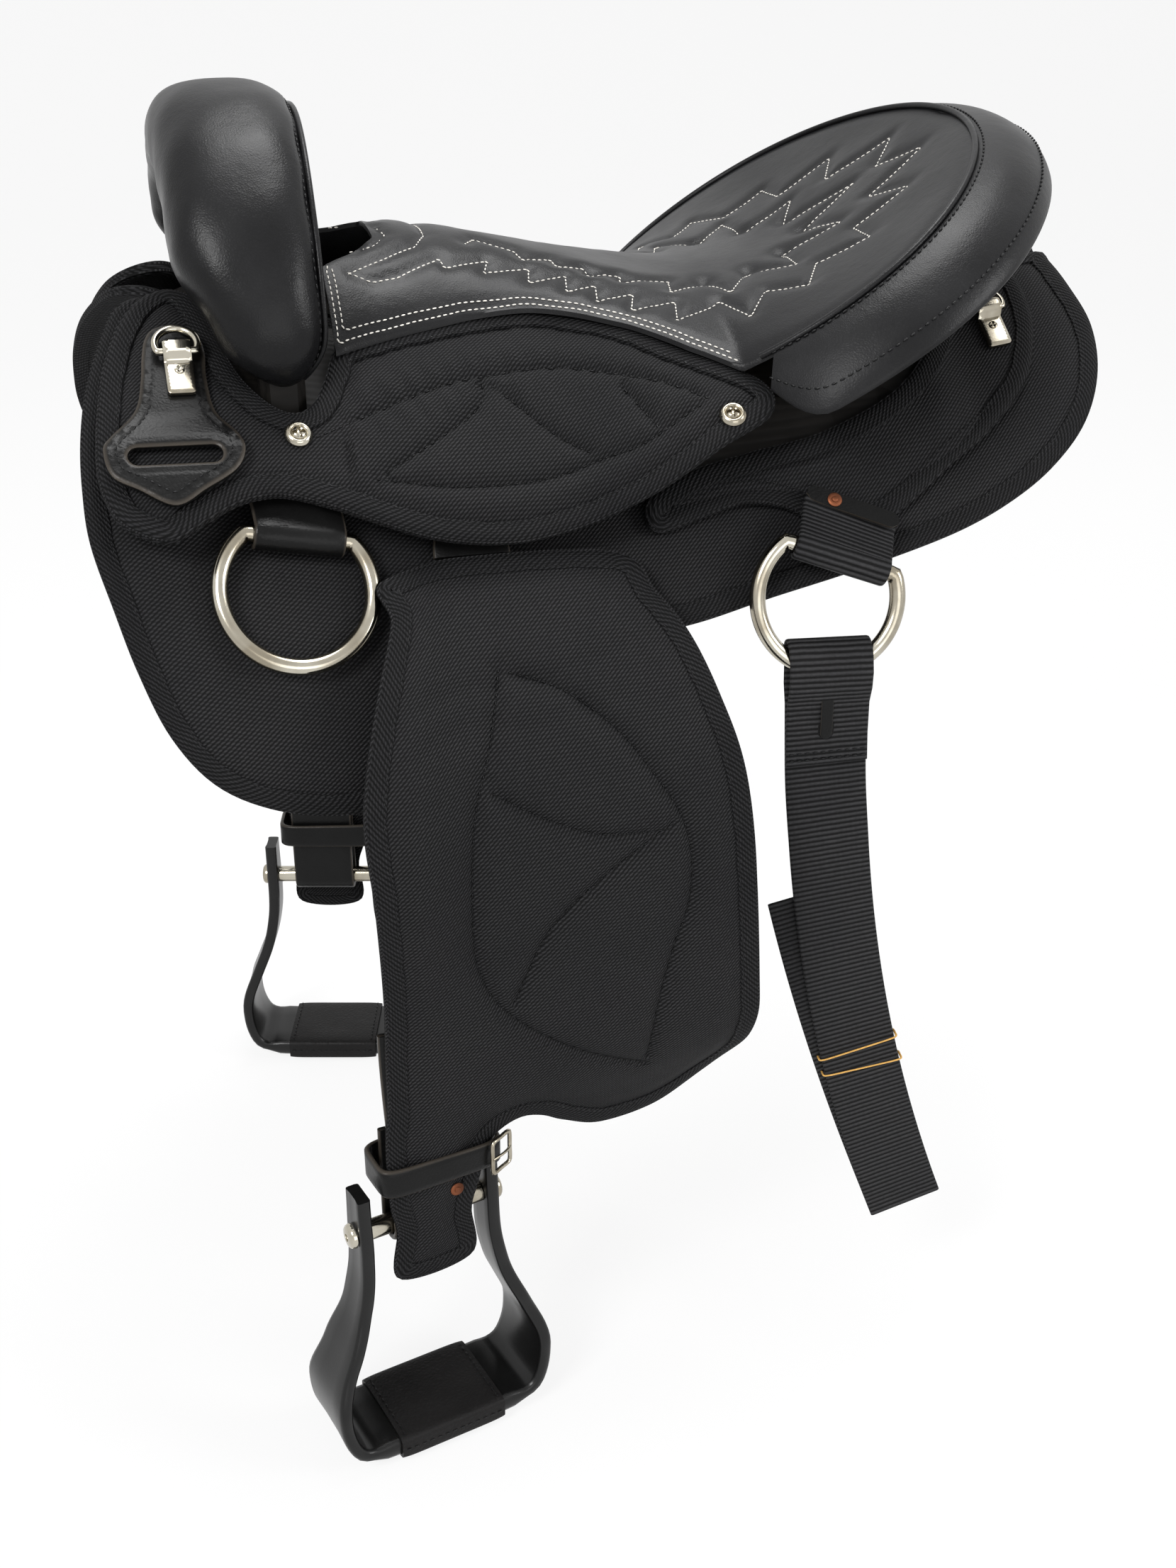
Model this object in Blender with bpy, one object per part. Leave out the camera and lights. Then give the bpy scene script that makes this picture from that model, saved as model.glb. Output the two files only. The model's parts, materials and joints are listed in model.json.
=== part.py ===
# Western endurance saddle without a horn: a wooden tree under leather and padded nylon,
# with nickel rigging, hanging fenders and wide stirrups. Metres, front towards -X, up +Z.
# The origin is in the channel under the middle of the seat, on the plane of symmetry.

import math

import bmesh
import bpy
from mathutils import Matrix, Vector
from mathutils.geometry import delaunay_2d_cdt

# Clearances
GAP = 0.0003              # between touching pieces
LAYER = 0.0009            # between padded layers that only rest on each other
SWING_GAP = 0.0007        # round pins and bars that turn

# The horse's back, which all panels follow: arc length u runs down from the spine
BACK_TOP_SLOPE = 20.0     # degrees at the spine
BACK_SIDE_SLOPE = 76.0    # degrees at the end of the arc
BACK_ARC = 0.33
BACK_MID = 0.018          # height of the spine line at the origin
BACK_REACH = 0.32         # fore and aft distance at which the rises below are taken
FRONT_RISE = 0.045
REAR_RISE = 0.030

# Tree
BAR_FRONT = -0.262
BAR_REAR = 0.205
BAR_INNER = 0.036         # arc length of the inner edge, half of the channel
BAR_OUTER = 0.150
BAR_THICK = 0.016
BAR_FADE = 0.045          # over this distance a bar thins towards its ends
BAR_EDGE = 0.004

# Skirts
SKIRT_THICK = 0.009
SKIRT_BINDING = 0.013
BINDING_THICK = 0.0065
REAR_SKIRT_THICK = 0.006

# Jockeys, on a skin of their own that stands off the back
JOCKEY_TOP_Y = 0.055
JOCKEY_TOP_Z = 0.0555
JOCKEY_ARC = 0.17
JOCKEY_THICK = 0.0075
JOCKEY_SLOPES = ((-0.30, 27.0, 50.0), (-0.06, 30.0, 62.0), (0.05, 15.0, 46.0))

# Seat
SEAT_FRONT = -0.174
HAND_HOLE_REAR = -0.140
HAND_HOLE_HALF = 0.045
SEAT_LEATHER = 0.0035
SEAT_DRAWN = 0.0015       # the leather is drawn in by this much at its edge
SEAT_FOAM = 0.012
GROUND_SEAT = 0.003
RIM_HALF = 0.167          # half width of the dish at its seam
RIM_CENTRE = 0.108        # fore and aft place of the widest point
RIM_REAR = 0.230
RIM_START = 0.050
RIM_TILT = 33.3           # degrees that the dish's seam leans
RIM_LOW = 0.022           # height of the seam at its near end

# Cantle
ROLL_WIDTH = 0.048
ROLL_CROWN = 0.006
ROLL_THICK = 0.015
CANTLE_INSET = 0.020
CANTLE_WALL = 0.013
CANTLE_LEATHER = 0.004

# Fork and its cover
FORK_X = -0.219
ARCH_HALF = 0.104         # half width of the arch's middle line
ARCH_BASE = 0.040
ARCH_RISE = 0.093
ARCH_END = 103.0          # degrees from the crown to the tip of a leg
COVER_OUT = 0.034         # padding outside the middle line
COVER_IN = 0.018
COVER_HALF = 0.043        # half of the fore and aft width at the crown
FORK_HALF = 0.026
FORK_OUT = 0.020

# Rigging
DEE_RADIUS = 0.0420       # middle line of a dee's round part
DEE_BAR = 0.0095
FRONT_CHORD = 0.0300      # from a dee's centre to its straight bar
REAR_CHORD = 0.0245
FRONT_DEE_X = -0.208
FRONT_DEE_U = 0.181
REAR_DEE_X = 0.103
REAR_DEE_U = 0.205
REAR_DEE_TURN = 27.0      # degrees that the rear bar is turned on the skirt
REAR_DEE_STAND = 0.0060
REAR_DEE_LEAN = 17.0      # the dee leans on the hem of the skirt
REAR_DEE_SWING = 3.0
RIG_STRAP = 0.0035
FRONT_STRAP_WIDTH = 0.050
REAR_STRAP_WIDTH = 0.058

# Small hardware
SMALL_RADIUS = 0.0115
SMALL_CHORD = 0.0050
SMALL_BAR = 0.0042
CLIP_WIDTH = 0.0150
CLIP_LENGTH = 0.036
CLIP_THICK = 0.0025
TAB_THICK = 0.0040
SLOT_LENGTH = 0.050
SLOT_WIDTH = 0.0112
CUP_RADIUS = 0.0078
CUP_HEIGHT = 0.0032
SCREW_RADIUS = 0.0042

# Fender and leathers
SWING_X = -0.112          # where the fender hangs
HANG_Y = 0.159
HANG_Z = -0.0780
FENDER_THICK = 0.0075
FENDER_START_SLOPE = 42.0
FENDER_ARC = 0.1975
FENDER_FLARE = 0.0145     # the front edge stands this far off, over the dee
NECK_TURN = 15.0          # degrees that the neck and the stirrup turn about the vertical
LEATHER_WIDTH = 0.056
LEATHER_THICK = 0.0040
LEATHER_TOP = 0.085       # arc length of the upper end of the leather on the bar
LEATHER_END = 0.156       # arc length where the hanging part of the leather starts

# Stirrup
STIRRUP_X = -0.167
BOLT_Z = -0.474
BOLT_RADIUS = 0.0035
SLEEVE_RADIUS = 0.0065
HEAD_RADIUS = 0.0080
NECK_HALF = 0.0430
LEG_THICK = 0.0085
LEG_DEPTH = 0.024
TREAD_HALF = 0.056
TREAD_DROP = 0.148        # from the bolt to the top of the tread
TREAD_DEPTH = 0.060
TREAD_THICK = 0.013
BELLY_HALF = 0.070
TREAD_COVER = 0.0025

# Tie strap and its rubber bands
STRAP_WIDTH = 0.050
STRAP_THICK = 0.0024
STRAP_LENGTH = 0.400
STRAP_TAIL = 0.185        # length of the part that returns behind
STRAP_LOOP = 0.075        # length of the stitched loop on the dee
STRAP_RISE = 0.0086       # the loop spans the dee's curve, so it stands this far above its lowest part
STRAP_DRIFT = 0.077       # the hanging end is drawn aft by this much
STRAP_ROOM = 0.0022        # slack of the strap's loop round the dee
BAND_SIZE = 0.0016
BAND_DROPS = (0.268, 0.283)

BACK_TURN = math.radians(BACK_SIDE_SLOPE - BACK_TOP_SLOPE) / BACK_ARC
BACK_START = math.radians(BACK_TOP_SLOPE)


def smooth(t):
    """Rise from 0 to 1 with flat ends."""
    t = max(0.0, min(1.0, t))
    return t * t * (3.0 - 2.0 * t)


def between(table, x):
    """Values of a short table of knots at x, eased from knot to knot."""
    if x <= table[0][0]:
        return table[0][1:]
    for low, high in zip(table, table[1:]):
        if x <= high[0]:
            k = smooth((x - low[0]) / (high[0] - low[0]))
            return tuple(a + (b - a) * k for a, b in zip(low[1:], high[1:]))
    return table[-1][1:]


def curve_through(points, step, closed=False):
    """Evenly spaced points on a Catmull-Rom curve through the points."""
    count = len(points)
    pts = [Vector(p) for p in points]
    path = []
    spans = count if closed else count - 1
    for i in range(spans):
        if closed:
            a, b, c, d = (pts[(i + k) % count] for k in (-1, 0, 1, 2))
        else:
            a, b, c, d = (pts[min(max(i + k, 0), count - 1)] for k in (-1, 0, 1, 2))
        pieces = 12
        for j in range(pieces):
            t = j / pieces
            path.append(0.5 * ((2 * b) + (c - a) * t + (2 * a - 5 * b + 4 * c - d) * t * t
                               + (3 * b - a - 3 * c + d) * t ** 3))
    path.append(pts[0].copy() if closed else pts[-1].copy())
    lengths = [0.0]
    for a, b in zip(path, path[1:]):
        lengths.append(lengths[-1] + (b - a).length)
    total = lengths[-1]
    steps = max(3, round(total / step))
    result = []
    at = 0
    for i in range(steps + 1):
        goal = total * i / steps
        while at < len(lengths) - 2 and lengths[at + 1] < goal:
            at += 1
        span = lengths[at + 1] - lengths[at]
        k = 0.0 if span == 0 else (goal - lengths[at]) / span
        result.append(path[at].lerp(path[at + 1], k))
    if closed:
        result.pop()
    return result


def spine_height(x):
    rise = FRONT_RISE if x < 0 else REAR_RISE
    return BACK_MID + rise * (x / BACK_REACH) ** 2


def back(x, u, h, side):
    """Point on the horse's back at arc length u from the spine, h above it."""
    within = min(u, BACK_ARC)
    slope = BACK_START + BACK_TURN * within
    y = (math.sin(slope) - math.sin(BACK_START)) / BACK_TURN
    z = -(math.cos(BACK_START) - math.cos(slope)) / BACK_TURN
    beyond = u - within
    y += beyond * math.cos(slope) + h * math.sin(slope)
    z += -beyond * math.sin(slope) + h * math.cos(slope)
    return Vector((x, side * y, z + spine_height(x)))


def bar_swell(x, u):
    """1 over the middle of a tree bar, easing to 0 beyond its edges."""
    reach = BAR_FADE
    along = smooth((x - BAR_FRONT + reach * 0.4) / reach) * smooth((BAR_REAR + reach * 0.4 - x) / reach)
    across = smooth((u - BAR_INNER + 0.014) / 0.03) * smooth((BAR_OUTER + 0.020 - u) / 0.05)
    return along * across


def over_bars(x, u):
    """Height above the back at which a panel clears the skirt and the bars."""
    return SKIRT_THICK + LAYER + (BAR_THICK + LAYER * 1.5) * bar_swell(x, u)


def jockey_skin(x, u, h, side):
    """Point on the outside of a jockey, u down from its upper edge, h outwards."""
    first, last = (math.radians(v) for v in between(JOCKEY_SLOPES, x))
    turn = (last - first) / JOCKEY_ARC
    slope = first + turn * u
    y = JOCKEY_TOP_Y + (math.sin(slope) - math.sin(first)) / turn + h * math.sin(slope)
    z = JOCKEY_TOP_Z - (math.cos(first) - math.cos(slope)) / turn + h * math.cos(slope)
    return Vector((x, side * y, z))


def material(name, rgb, roughness, metallic=0.0):
    found = bpy.data.materials.get(name)
    if found:
        return found
    made = bpy.data.materials.new(name)
    made.use_nodes = True
    shader = made.node_tree.nodes["Principled BSDF"]
    shader.inputs["Base Color"].default_value = (*rgb, 1.0)
    shader.inputs["Roughness"].default_value = roughness
    shader.inputs["Metallic"].default_value = metallic
    made.diffuse_color = (*rgb, 1.0)
    return made


LEATHER = material("seat_leather", (0.030, 0.030, 0.031), 0.42)
NYLON = material("woven_nylon", (0.016, 0.016, 0.017), 0.80)
WEBBING = material("nylon_webbing", (0.010, 0.010, 0.011), 0.70)
STRAP_LEATHER = material("strap_leather", (0.012, 0.012, 0.012), 0.45)
NICKEL = material("polished_nickel", (0.62, 0.58, 0.50), 0.18, 1.0)
WOOD = material("tree_wood", (0.42, 0.30, 0.18), 0.70)
FOAM = material("foam", (0.35, 0.34, 0.32), 0.95)
COPPER = material("copper", (0.55, 0.22, 0.12), 0.35, 1.0)
STIRRUP_BLACK = material("stirrup_black", (0.008, 0.008, 0.008), 0.35)
RUBBER = material("yellow_rubber", (0.58, 0.38, 0.13), 0.60)


def finish(name, bm, stuff):
    """Turn a bmesh into a named object with its faces outwards."""
    bmesh.ops.remove_doubles(bm, verts=bm.verts, dist=1e-6)
    bmesh.ops.recalc_face_normals(bm, faces=bm.faces)
    bmesh.ops.triangulate(bm, faces=bm.faces)
    mesh = bpy.data.meshes.new(name)
    bm.to_mesh(mesh)
    bm.free()
    mesh.materials.append(stuff)
    mesh.shade_smooth()
    mesh.set_sharp_from_angle(angle=math.radians(35))
    made = bpy.data.objects.new(name, mesh)
    bpy.context.collection.objects.link(made)
    return made


def near_line(point, line, closed=False):
    """Shortest distance in the plane from a point to a line of points."""
    best = 1.0
    pairs = list(zip(line, line[1:] + line[:1])) if closed else list(zip(line, line[1:]))
    for a, b in pairs:
        along = b - a
        size = along.length_squared
        k = 0.0 if size == 0 else max(0.0, min(1.0, (point - a).dot(along) / size))
        best = min(best, (point - a - along * k).length)
    return best


def inside(point, loop):
    """True where the point lies inside the closed line."""
    hit = False
    for a, b in zip(loop, loop[1:] + loop[:1]):
        if (a.y > point.y) != (b.y > point.y):
            if point.x < (b.x - a.x) * (point.y - a.y) / (b.y - a.y) + a.x:
                hit = not hit
    return hit


def inset_loop(loop, distance):
    """The closed line moved inwards."""
    count = len(loop)
    area = sum(a.x * b.y - b.x * a.y for a, b in zip(loop, loop[1:] + loop[:1]))
    turn = 1.0 if area > 0 else -1.0
    moved = []
    for i in range(count):
        along = (loop[(i + 1) % count] - loop[i - 1]).normalized()
        moved.append(loop[i] + Vector((-along.y, along.x)) * distance * turn)
    return [p for p in moved if near_line(p, loop, True) > distance * 0.8]


def split_long(loop, limit):
    """The closed line with more points on its long sides."""
    line = []
    for a, b in zip(loop, loop[1:] + loop[:1]):
        parts = max(1, math.ceil((b - a).length / limit))
        line += [a.lerp(b, i / parts) for i in range(parts)]
    return line


def panel(name, outline, place, under, over, side, stuff, step, seams=(), holes=(), rim=0.0,
          smooth_outline=True):
    """A sheet with its own outline, laid on a skin: place(x, u, h, side) gives its points."""
    flat = [Vector(p) for p in outline]
    edge = curve_through(flat, step, True) if smooth_outline else split_long(flat, step * 1.4)
    loops = [edge]
    if rim > 0:
        loops.append(inset_loop(edge, rim))
    cuts = [[Vector(p) for p in hole] for hole in holes]
    lines = [curve_through([Vector(p) for p in seam], step * 0.8) for seam in seams]
    lines = [[p for p in line if near_line(p, edge, True) > max(rim, step * 0.4)] for line in lines]
    verts = []
    edges = []
    for loop in loops + cuts:
        start = len(verts)
        verts += loop
        edges += [(start + i, start + (i + 1) % len(loop)) for i in range(len(loop))]
    for line in lines:
        start = len(verts)
        verts += line
        edges += [(start + i, start + i + 1) for i in range(len(line) - 1)]
    tall = step * 0.87
    first_row = math.floor(min(p.y for p in edge) / tall)
    last_row = math.ceil(max(p.y for p in edge) / tall)
    first_column = math.floor(min(p.x for p in edge) / step) - 1
    last_column = math.ceil(max(p.x for p in edge) / step)
    for row in range(first_row, last_row + 1):
        for column in range(first_column, last_column + 1):
            p = Vector((step * (column + 0.5 * (row % 2)), tall * row))
            if not inside(p, edge) or any(inside(p, cut) for cut in cuts):
                continue
            if min(near_line(p, loop, True) for loop in loops + cuts) < step * 0.5:
                continue
            if lines and min(near_line(p, line) for line in lines) < step * 0.5:
                continue
            verts.append(p)
    found = delaunay_2d_cdt(verts, edges, [], 0, 1e-6)
    points = found[0]
    faces = []
    for face in found[2]:
        centre = sum((points[i] for i in face), Vector((0.0, 0.0))) / len(face)
        if inside(centre, edge) and not any(inside(centre, cut) for cut in cuts):
            faces.append(tuple(face))
    bm = bmesh.new()
    lower = []
    upper = []
    for p in points:
        to_edge = near_line(p, edge, True)
        to_seam = min([near_line(p, line) for line in lines], default=1.0)
        lower.append(bm.verts.new(place(p.x, p.y, under(p.x, p.y), side)))
        upper.append(bm.verts.new(place(p.x, p.y, over(p.x, p.y, to_edge, to_seam), side)))
    used = {}
    for face in faces:
        bm.faces.new([upper[i] for i in face])
        bm.faces.new([lower[i] for i in reversed(face)])
        for a, b in zip(face, face[1:] + face[:1]):
            used[(a, b)] = True
    for a, b in used:
        if (b, a) not in used:
            bm.faces.new((upper[b], upper[a], lower[a], lower[b]))
    loose = [v for v in bm.verts if not v.link_faces]
    bmesh.ops.delete(bm, geom=loose, context="VERTS")
    return finish(name, bm, stuff)


def skin_of_rings(bm, rings, closed):
    """Bridge rings of points, each the same length, and cap the ends if open."""
    made = [[bm.verts.new(p) for p in ring] for ring in rings]
    pairs = list(zip(made, made[1:]))
    if closed:
        pairs.append((made[-1], made[0]))
    for low, high in pairs:
        count = len(low)
        for i in range(count):
            j = (i + 1) % count
            bm.faces.new((low[i], low[j], high[j], high[i]))
    if not closed:
        bm.faces.new(list(reversed(made[0])))
        bm.faces.new(made[-1])


def rod(name, path, radius, stuff, sides=8, closed=False, flat=1.0):
    """A round bar along a path."""
    bm = bmesh.new()
    count = len(path)
    rings = []
    normal = None
    for i in range(count):
        if closed:
            along = (path[(i + 1) % count] - path[i - 1]).normalized()
        else:
            along = (path[min(i + 1, count - 1)] - path[max(i - 1, 0)]).normalized()
        if normal is None:
            normal = along.orthogonal().normalized()
        normal = (normal - along * normal.dot(along)).normalized()
        other = along.cross(normal)
        rings.append([path[i] + normal * radius * math.cos(2 * math.pi * k / sides)
                      + other * radius * flat * math.sin(2 * math.pi * k / sides)
                      for k in range(sides)])
    skin_of_rings(bm, rings, closed)
    return finish(name, bm, stuff)


def turned(name, profile, centre, axis, stuff, sides=16):
    """A piece turned about an axis: profile of (radius, height) from bottom to top."""
    bm = bmesh.new()
    turn = axis.to_track_quat("Z", "Y").to_matrix()
    rings = []
    for radius, height in profile:
        rings.append([centre + turn @ Vector((radius * math.cos(2 * math.pi * k / sides),
                                              radius * math.sin(2 * math.pi * k / sides), height))
                      for k in range(sides)])
    skin_of_rings(bm, rings, False)
    return finish(name, bm, stuff)


def ribbon(name, path, across, width, thick, stuff, shares=None):
    """A flat strap along a path; across gives its width direction, shares its width at each point."""
    bm = bmesh.new()
    rings = []
    count = len(path)
    for i in range(count):
        along = (path[min(i + 1, count - 1)] - path[max(i - 1, 0)]).normalized()
        wide = (across[i] - along * across[i].dot(along)).normalized()
        up = wide.cross(along)
        half = width / 2 * (shares[i] if shares else 1.0)
        rings.append([path[i] + wide * half * a + up * thick / 2 * b
                      for a, b in ((-1, -1), (1, -1), (1, 1), (-1, 1))])
    skin_of_rings(bm, rings, False)
    return finish(name, bm, stuff)


def cut_by(target, cutter, hide=True):
    """Take the cutter out of the target and apply it."""
    cut = target.modifiers.new("cut", "BOOLEAN")
    cut.operation = "DIFFERENCE"
    cut.solver = "EXACT"
    cut.object = cutter
    view = bpy.context.view_layer
    view.update()
    result = bpy.data.meshes.new_from_object(target.evaluated_get(view.depsgraph))
    target.modifiers.remove(cut)
    old = target.data
    target.data = result
    bpy.data.meshes.remove(old)
    if hide:
        bpy.data.objects.remove(cutter)


def dish_plane(x):
    """Height of the dish's seam."""
    return RIM_LOW + math.tan(math.radians(RIM_TILT)) * (x - RIM_START)


def rim_points(count):
    """The dish's seam from the near end over the back to the far end, in plan."""
    start = math.asin((RIM_START - RIM_CENTRE) / (RIM_REAR - RIM_CENTRE))
    points = []
    for i in range(count):
        t = start + (math.pi - 2 * start) * i / (count - 1)
        points.append(Vector((RIM_CENTRE + (RIM_REAR - RIM_CENTRE) * math.sin(t),
                              -RIM_HALF * math.cos(t))))
    return points


SEAT_MIDDLE = ((SEAT_FRONT, 0.090), (-0.106, 0.082), (-0.054, 0.072), (0.030, 0.055),
               (0.080, 0.056), (0.130, 0.072), (0.180, 0.103), (RIM_REAR, 0.139))
SEAT_EDGE = ((SEAT_FRONT, 0.100, 0.034), (-0.130, 0.088, 0.041), (-0.060, 0.080, 0.048),
             (-0.005, 0.100, 0.040), (0.025, 0.128, 0.031), (RIM_START, 0.148, RIM_LOW))


def knots(table, x):
    """A smooth curve through a table of knots, without the flats of easing."""
    rows = list(table)
    if x <= rows[0][0]:
        return rows[0][1:]
    for i in range(len(rows) - 1):
        if x <= rows[i + 1][0]:
            a = rows[max(i - 1, 0)]
            b = rows[i]
            c = rows[i + 1]
            d = rows[min(i + 2, len(rows) - 1)]
            t = (x - b[0]) / (c[0] - b[0])
            values = []
            for k in range(1, len(b)):
                slope_b = (c[k] - a[k]) / (c[0] - a[0]) * (c[0] - b[0])
                slope_c = (d[k] - b[k]) / (d[0] - b[0]) * (c[0] - b[0])
                values.append((2 * t ** 3 - 3 * t * t + 1) * b[k] + (t ** 3 - 2 * t * t + t) * slope_b
                              + (3 * t * t - 2 * t ** 3) * c[k] + (t ** 3 - t * t) * slope_c)
            return tuple(values)
    return rows[-1][1:]


def seat_half(x):
    """Half width of the seat at x, and the height of its edge."""
    if x <= RIM_START:
        return knots(SEAT_EDGE, x)
    reach = (x - RIM_CENTRE) / (RIM_REAR - RIM_CENTRE)
    return RIM_HALF * math.sqrt(max(0.0, 1.0 - reach * reach)), dish_plane(x)


def seat_top(x, y):
    """Height of the seat's upper face."""
    half, edge = seat_half(x)
    middle = knots(SEAT_MIDDLE, x)[0]
    share = min(1.0, abs(y) / max(half, 0.001))
    return middle + (edge - middle) * share ** 2.3


def seat_place(x, y, h, side):
    """Point h above the seat's face, straight up."""
    return Vector((x, y, seat_top(x, y) + h))


def seat_outline(inset):
    """The seat's outline in plan, from the front left corner round to the right one."""
    line = []
    for x in (SEAT_FRONT, -0.152, -0.130, -0.095, -0.060, -0.030, -0.005, 0.010, 0.025):
        if x == SEAT_FRONT:
            line.append(Vector((x + inset, -knots(SEAT_EDGE, x)[0] + inset)))
        else:
            line.append(Vector((x, -knots(SEAT_EDGE, x)[0] + inset)))
    for p in rim_points(27):
        inward = Vector((RIM_CENTRE * 0.8, 0.0)) - p
        line.append(p + inward.normalized() * inset)
    right = [Vector((p.x, -p.y)) for p in reversed(line[:9])]
    line += right
    line += [Vector((SEAT_FRONT + inset, HAND_HOLE_HALF + 0.014)),
             Vector((HAND_HOLE_REAR - 0.012 + inset, HAND_HOLE_HALF + inset * 0.5)),
             Vector((HAND_HOLE_REAR + inset, HAND_HOLE_HALF - 0.016)),
             Vector((HAND_HOLE_REAR + inset, -HAND_HOLE_HALF + 0.016)),
             Vector((HAND_HOLE_REAR - 0.012 + inset, -HAND_HOLE_HALF - inset * 0.5)),
             Vector((SEAT_FRONT + inset, -HAND_HOLE_HALF - 0.014))]
    return line


def height_over(x, y, height):
    """Height of the surface that lies height(x, u) above the back, at a point in plan."""
    low = 0.0
    high = 0.5
    for _ in range(40):
        u = (low + high) / 2
        if back(x, u, height(x, u), 1).y < abs(y):
            low = u
        else:
            high = u
    return back(x, low, height(x, low), 1).z


def bar_top(x, u):
    return SKIRT_THICK + LAYER + BAR_THICK * bar_swell(x, u)


def make_tree_bars(side, tag):
    outline = [(BAR_FRONT, 0.060), (BAR_FRONT + 0.012, 0.044), (BAR_FRONT + 0.05, BAR_INNER),
               (-0.03, BAR_INNER), (BAR_REAR - 0.05, BAR_INNER), (BAR_REAR - 0.01, 0.046),
               (BAR_REAR, 0.068), (BAR_REAR - 0.01, 0.100), (BAR_REAR - 0.06, 0.136),
               (0.05, BAR_OUTER - 0.006), (-0.05, BAR_OUTER - 0.016), (-0.15, BAR_OUTER - 0.004),
               (BAR_FRONT + 0.05, BAR_OUTER), (BAR_FRONT + 0.01, 0.120)]
    panel("tree_bar_" + tag, outline, back, lambda x, u: SKIRT_THICK + LAYER,
          lambda x, u, edge, seam: bar_top(x, u), side, WOOD, 0.030)


SKIRT_OUTLINE = ((0.303, 0.003), (0.262, 0.004), (0.215, 0.012), (0.170, 0.028), (0.080, 0.032),
                 (-0.080, 0.032), (-0.180, 0.030), (-0.245, 0.022), (-0.272, 0.014),
                 (-0.290, 0.030), (-0.301, 0.062), (-0.311, 0.098), (-0.317, 0.134),
                 (-0.319, 0.165), (-0.318, 0.195), (-0.310, 0.229), (-0.301, 0.262),
                 (-0.288, 0.294), (-0.268, 0.317), (-0.240, 0.328), (-0.205, 0.330),
                 (-0.172, 0.322), (-0.148, 0.298), (-0.128, 0.262), (-0.100, 0.240),
                 (-0.050, 0.232), (0.010, 0.228), (0.067, 0.217), (0.130, 0.207),
                 (0.190, 0.196), (0.230, 0.183), (0.260, 0.167), (0.285, 0.145),
                 (0.302, 0.115), (0.310, 0.080), (0.309, 0.045), (0.307, 0.018))


def make_lower_skirt(side, tag):
    def over(x, u, edge, seam):
        return BINDING_THICK + (SKIRT_THICK - BINDING_THICK) * smooth((edge - SKIRT_BINDING) / 0.012)
    panel("lower_skirt_" + tag, SKIRT_OUTLINE, back, lambda x, u: 0.0, over, side, NYLON, 0.030,
          rim=SKIRT_BINDING)


REAR_SKIRT_OUTLINE = ((0.212, 0.002), (0.206, 0.050), (0.188, 0.088), (0.155, 0.116),
                      (0.108, 0.132), (0.060, 0.138), (0.020, 0.145), (-0.004, 0.158),
                      (0.000, 0.175), (0.030, 0.168), (0.056, 0.163), (0.080, 0.168),
                      (0.092, 0.176), (0.112, 0.182), (0.134, 0.186), (0.147, 0.182),
                      (0.162, 0.174), (0.187, 0.159), (0.216, 0.143), (0.249, 0.116),
                      (0.266, 0.084), (0.272, 0.058), (0.273, 0.027), (0.270, 0.002))


def rear_skirt_top(x, u):
    return over_bars(x, u) + REAR_SKIRT_THICK


def make_rear_skirt(side, tag):
    panel("rear_skirt_" + tag, REAR_SKIRT_OUTLINE, back, over_bars,
          lambda x, u, edge, seam: rear_skirt_top(x, u), side, NYLON, 0.024, rim=SKIRT_BINDING)


JOCKEY_OUTLINE = ((-0.174, 0.046), (-0.181, 0.062), (-0.190, 0.080), (-0.201, 0.087),
                  (-0.214, 0.081), (-0.228, 0.062), (-0.237, 0.035), (-0.243, 0.010),
                  (-0.250, -0.006), (-0.262, -0.012), (-0.277, -0.004), (-0.290, 0.016),
                  (-0.299, 0.042), (-0.305, 0.068), (-0.309, 0.097), (-0.310, 0.123),
                  (-0.304, 0.145), (-0.291, 0.157), (-0.276, 0.161), (-0.258, 0.151),
                  (-0.237, 0.140), (-0.215, 0.137), (-0.190, 0.144), (-0.165, 0.154),
                  (-0.140, 0.163), (-0.113, 0.168), (-0.085, 0.169), (-0.058, 0.165),
                  (-0.030, 0.160), (-0.005, 0.155), (0.014, 0.149), (0.031, 0.142),
                  (0.048, 0.135), (0.062, 0.126), (0.066, 0.114), (0.060, 0.102),
                  (0.050, 0.094), (0.025, 0.072), (-0.005, 0.043), (-0.035, 0.028),
                  (-0.060, 0.022), (-0.095, 0.025), (-0.130, 0.0315), (-0.155, 0.038))
JOCKEY_SEAMS = (((-0.191, 0.103), (-0.127, 0.077), (-0.093, 0.069), (-0.046, 0.067),
                 (-0.001, 0.087), (0.027, 0.111)),
                ((0.022, 0.115), (-0.009, 0.126), (-0.035, 0.128), (-0.072, 0.135),
                 (-0.118, 0.136), (-0.162, 0.130)),
                ((-0.094, 0.075), (-0.102, 0.092), (-0.156, 0.126)),
                ((-0.088, 0.076), (-0.059, 0.107), (-0.040, 0.122)),
                ((-0.016, 0.086), (-0.002, 0.119)))
JOCKEY_PUFF = 0.0030
SEAM_DIP = 0.0028
SEAM_REACH = 0.008


def jockey_top(x, u, edge, seam):
    """Padding of a jockey: flat under the seat and the leather tab, swollen elsewhere."""
    y = jockey_skin(x, u, 0.0, 1).y
    free = smooth((y - seat_half(min(x, RIM_START))[0] - 0.004) / 0.02) if x > SEAT_FRONT else 0.0
    free *= smooth((x + 0.225) / 0.05)
    swell = JOCKEY_PUFF * smooth((edge - SKIRT_BINDING) / 0.015)
    dip = SEAM_DIP * math.exp(-(seam / SEAM_REACH) ** 2)
    return free * (swell - dip)


def make_jockey(side, tag):
    panel("jockey_" + tag, JOCKEY_OUTLINE, jockey_skin, lambda x, u: -JOCKEY_THICK, jockey_top,
          side, NYLON, 0.019, seams=JOCKEY_SEAMS, rim=SKIRT_BINDING)


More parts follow.
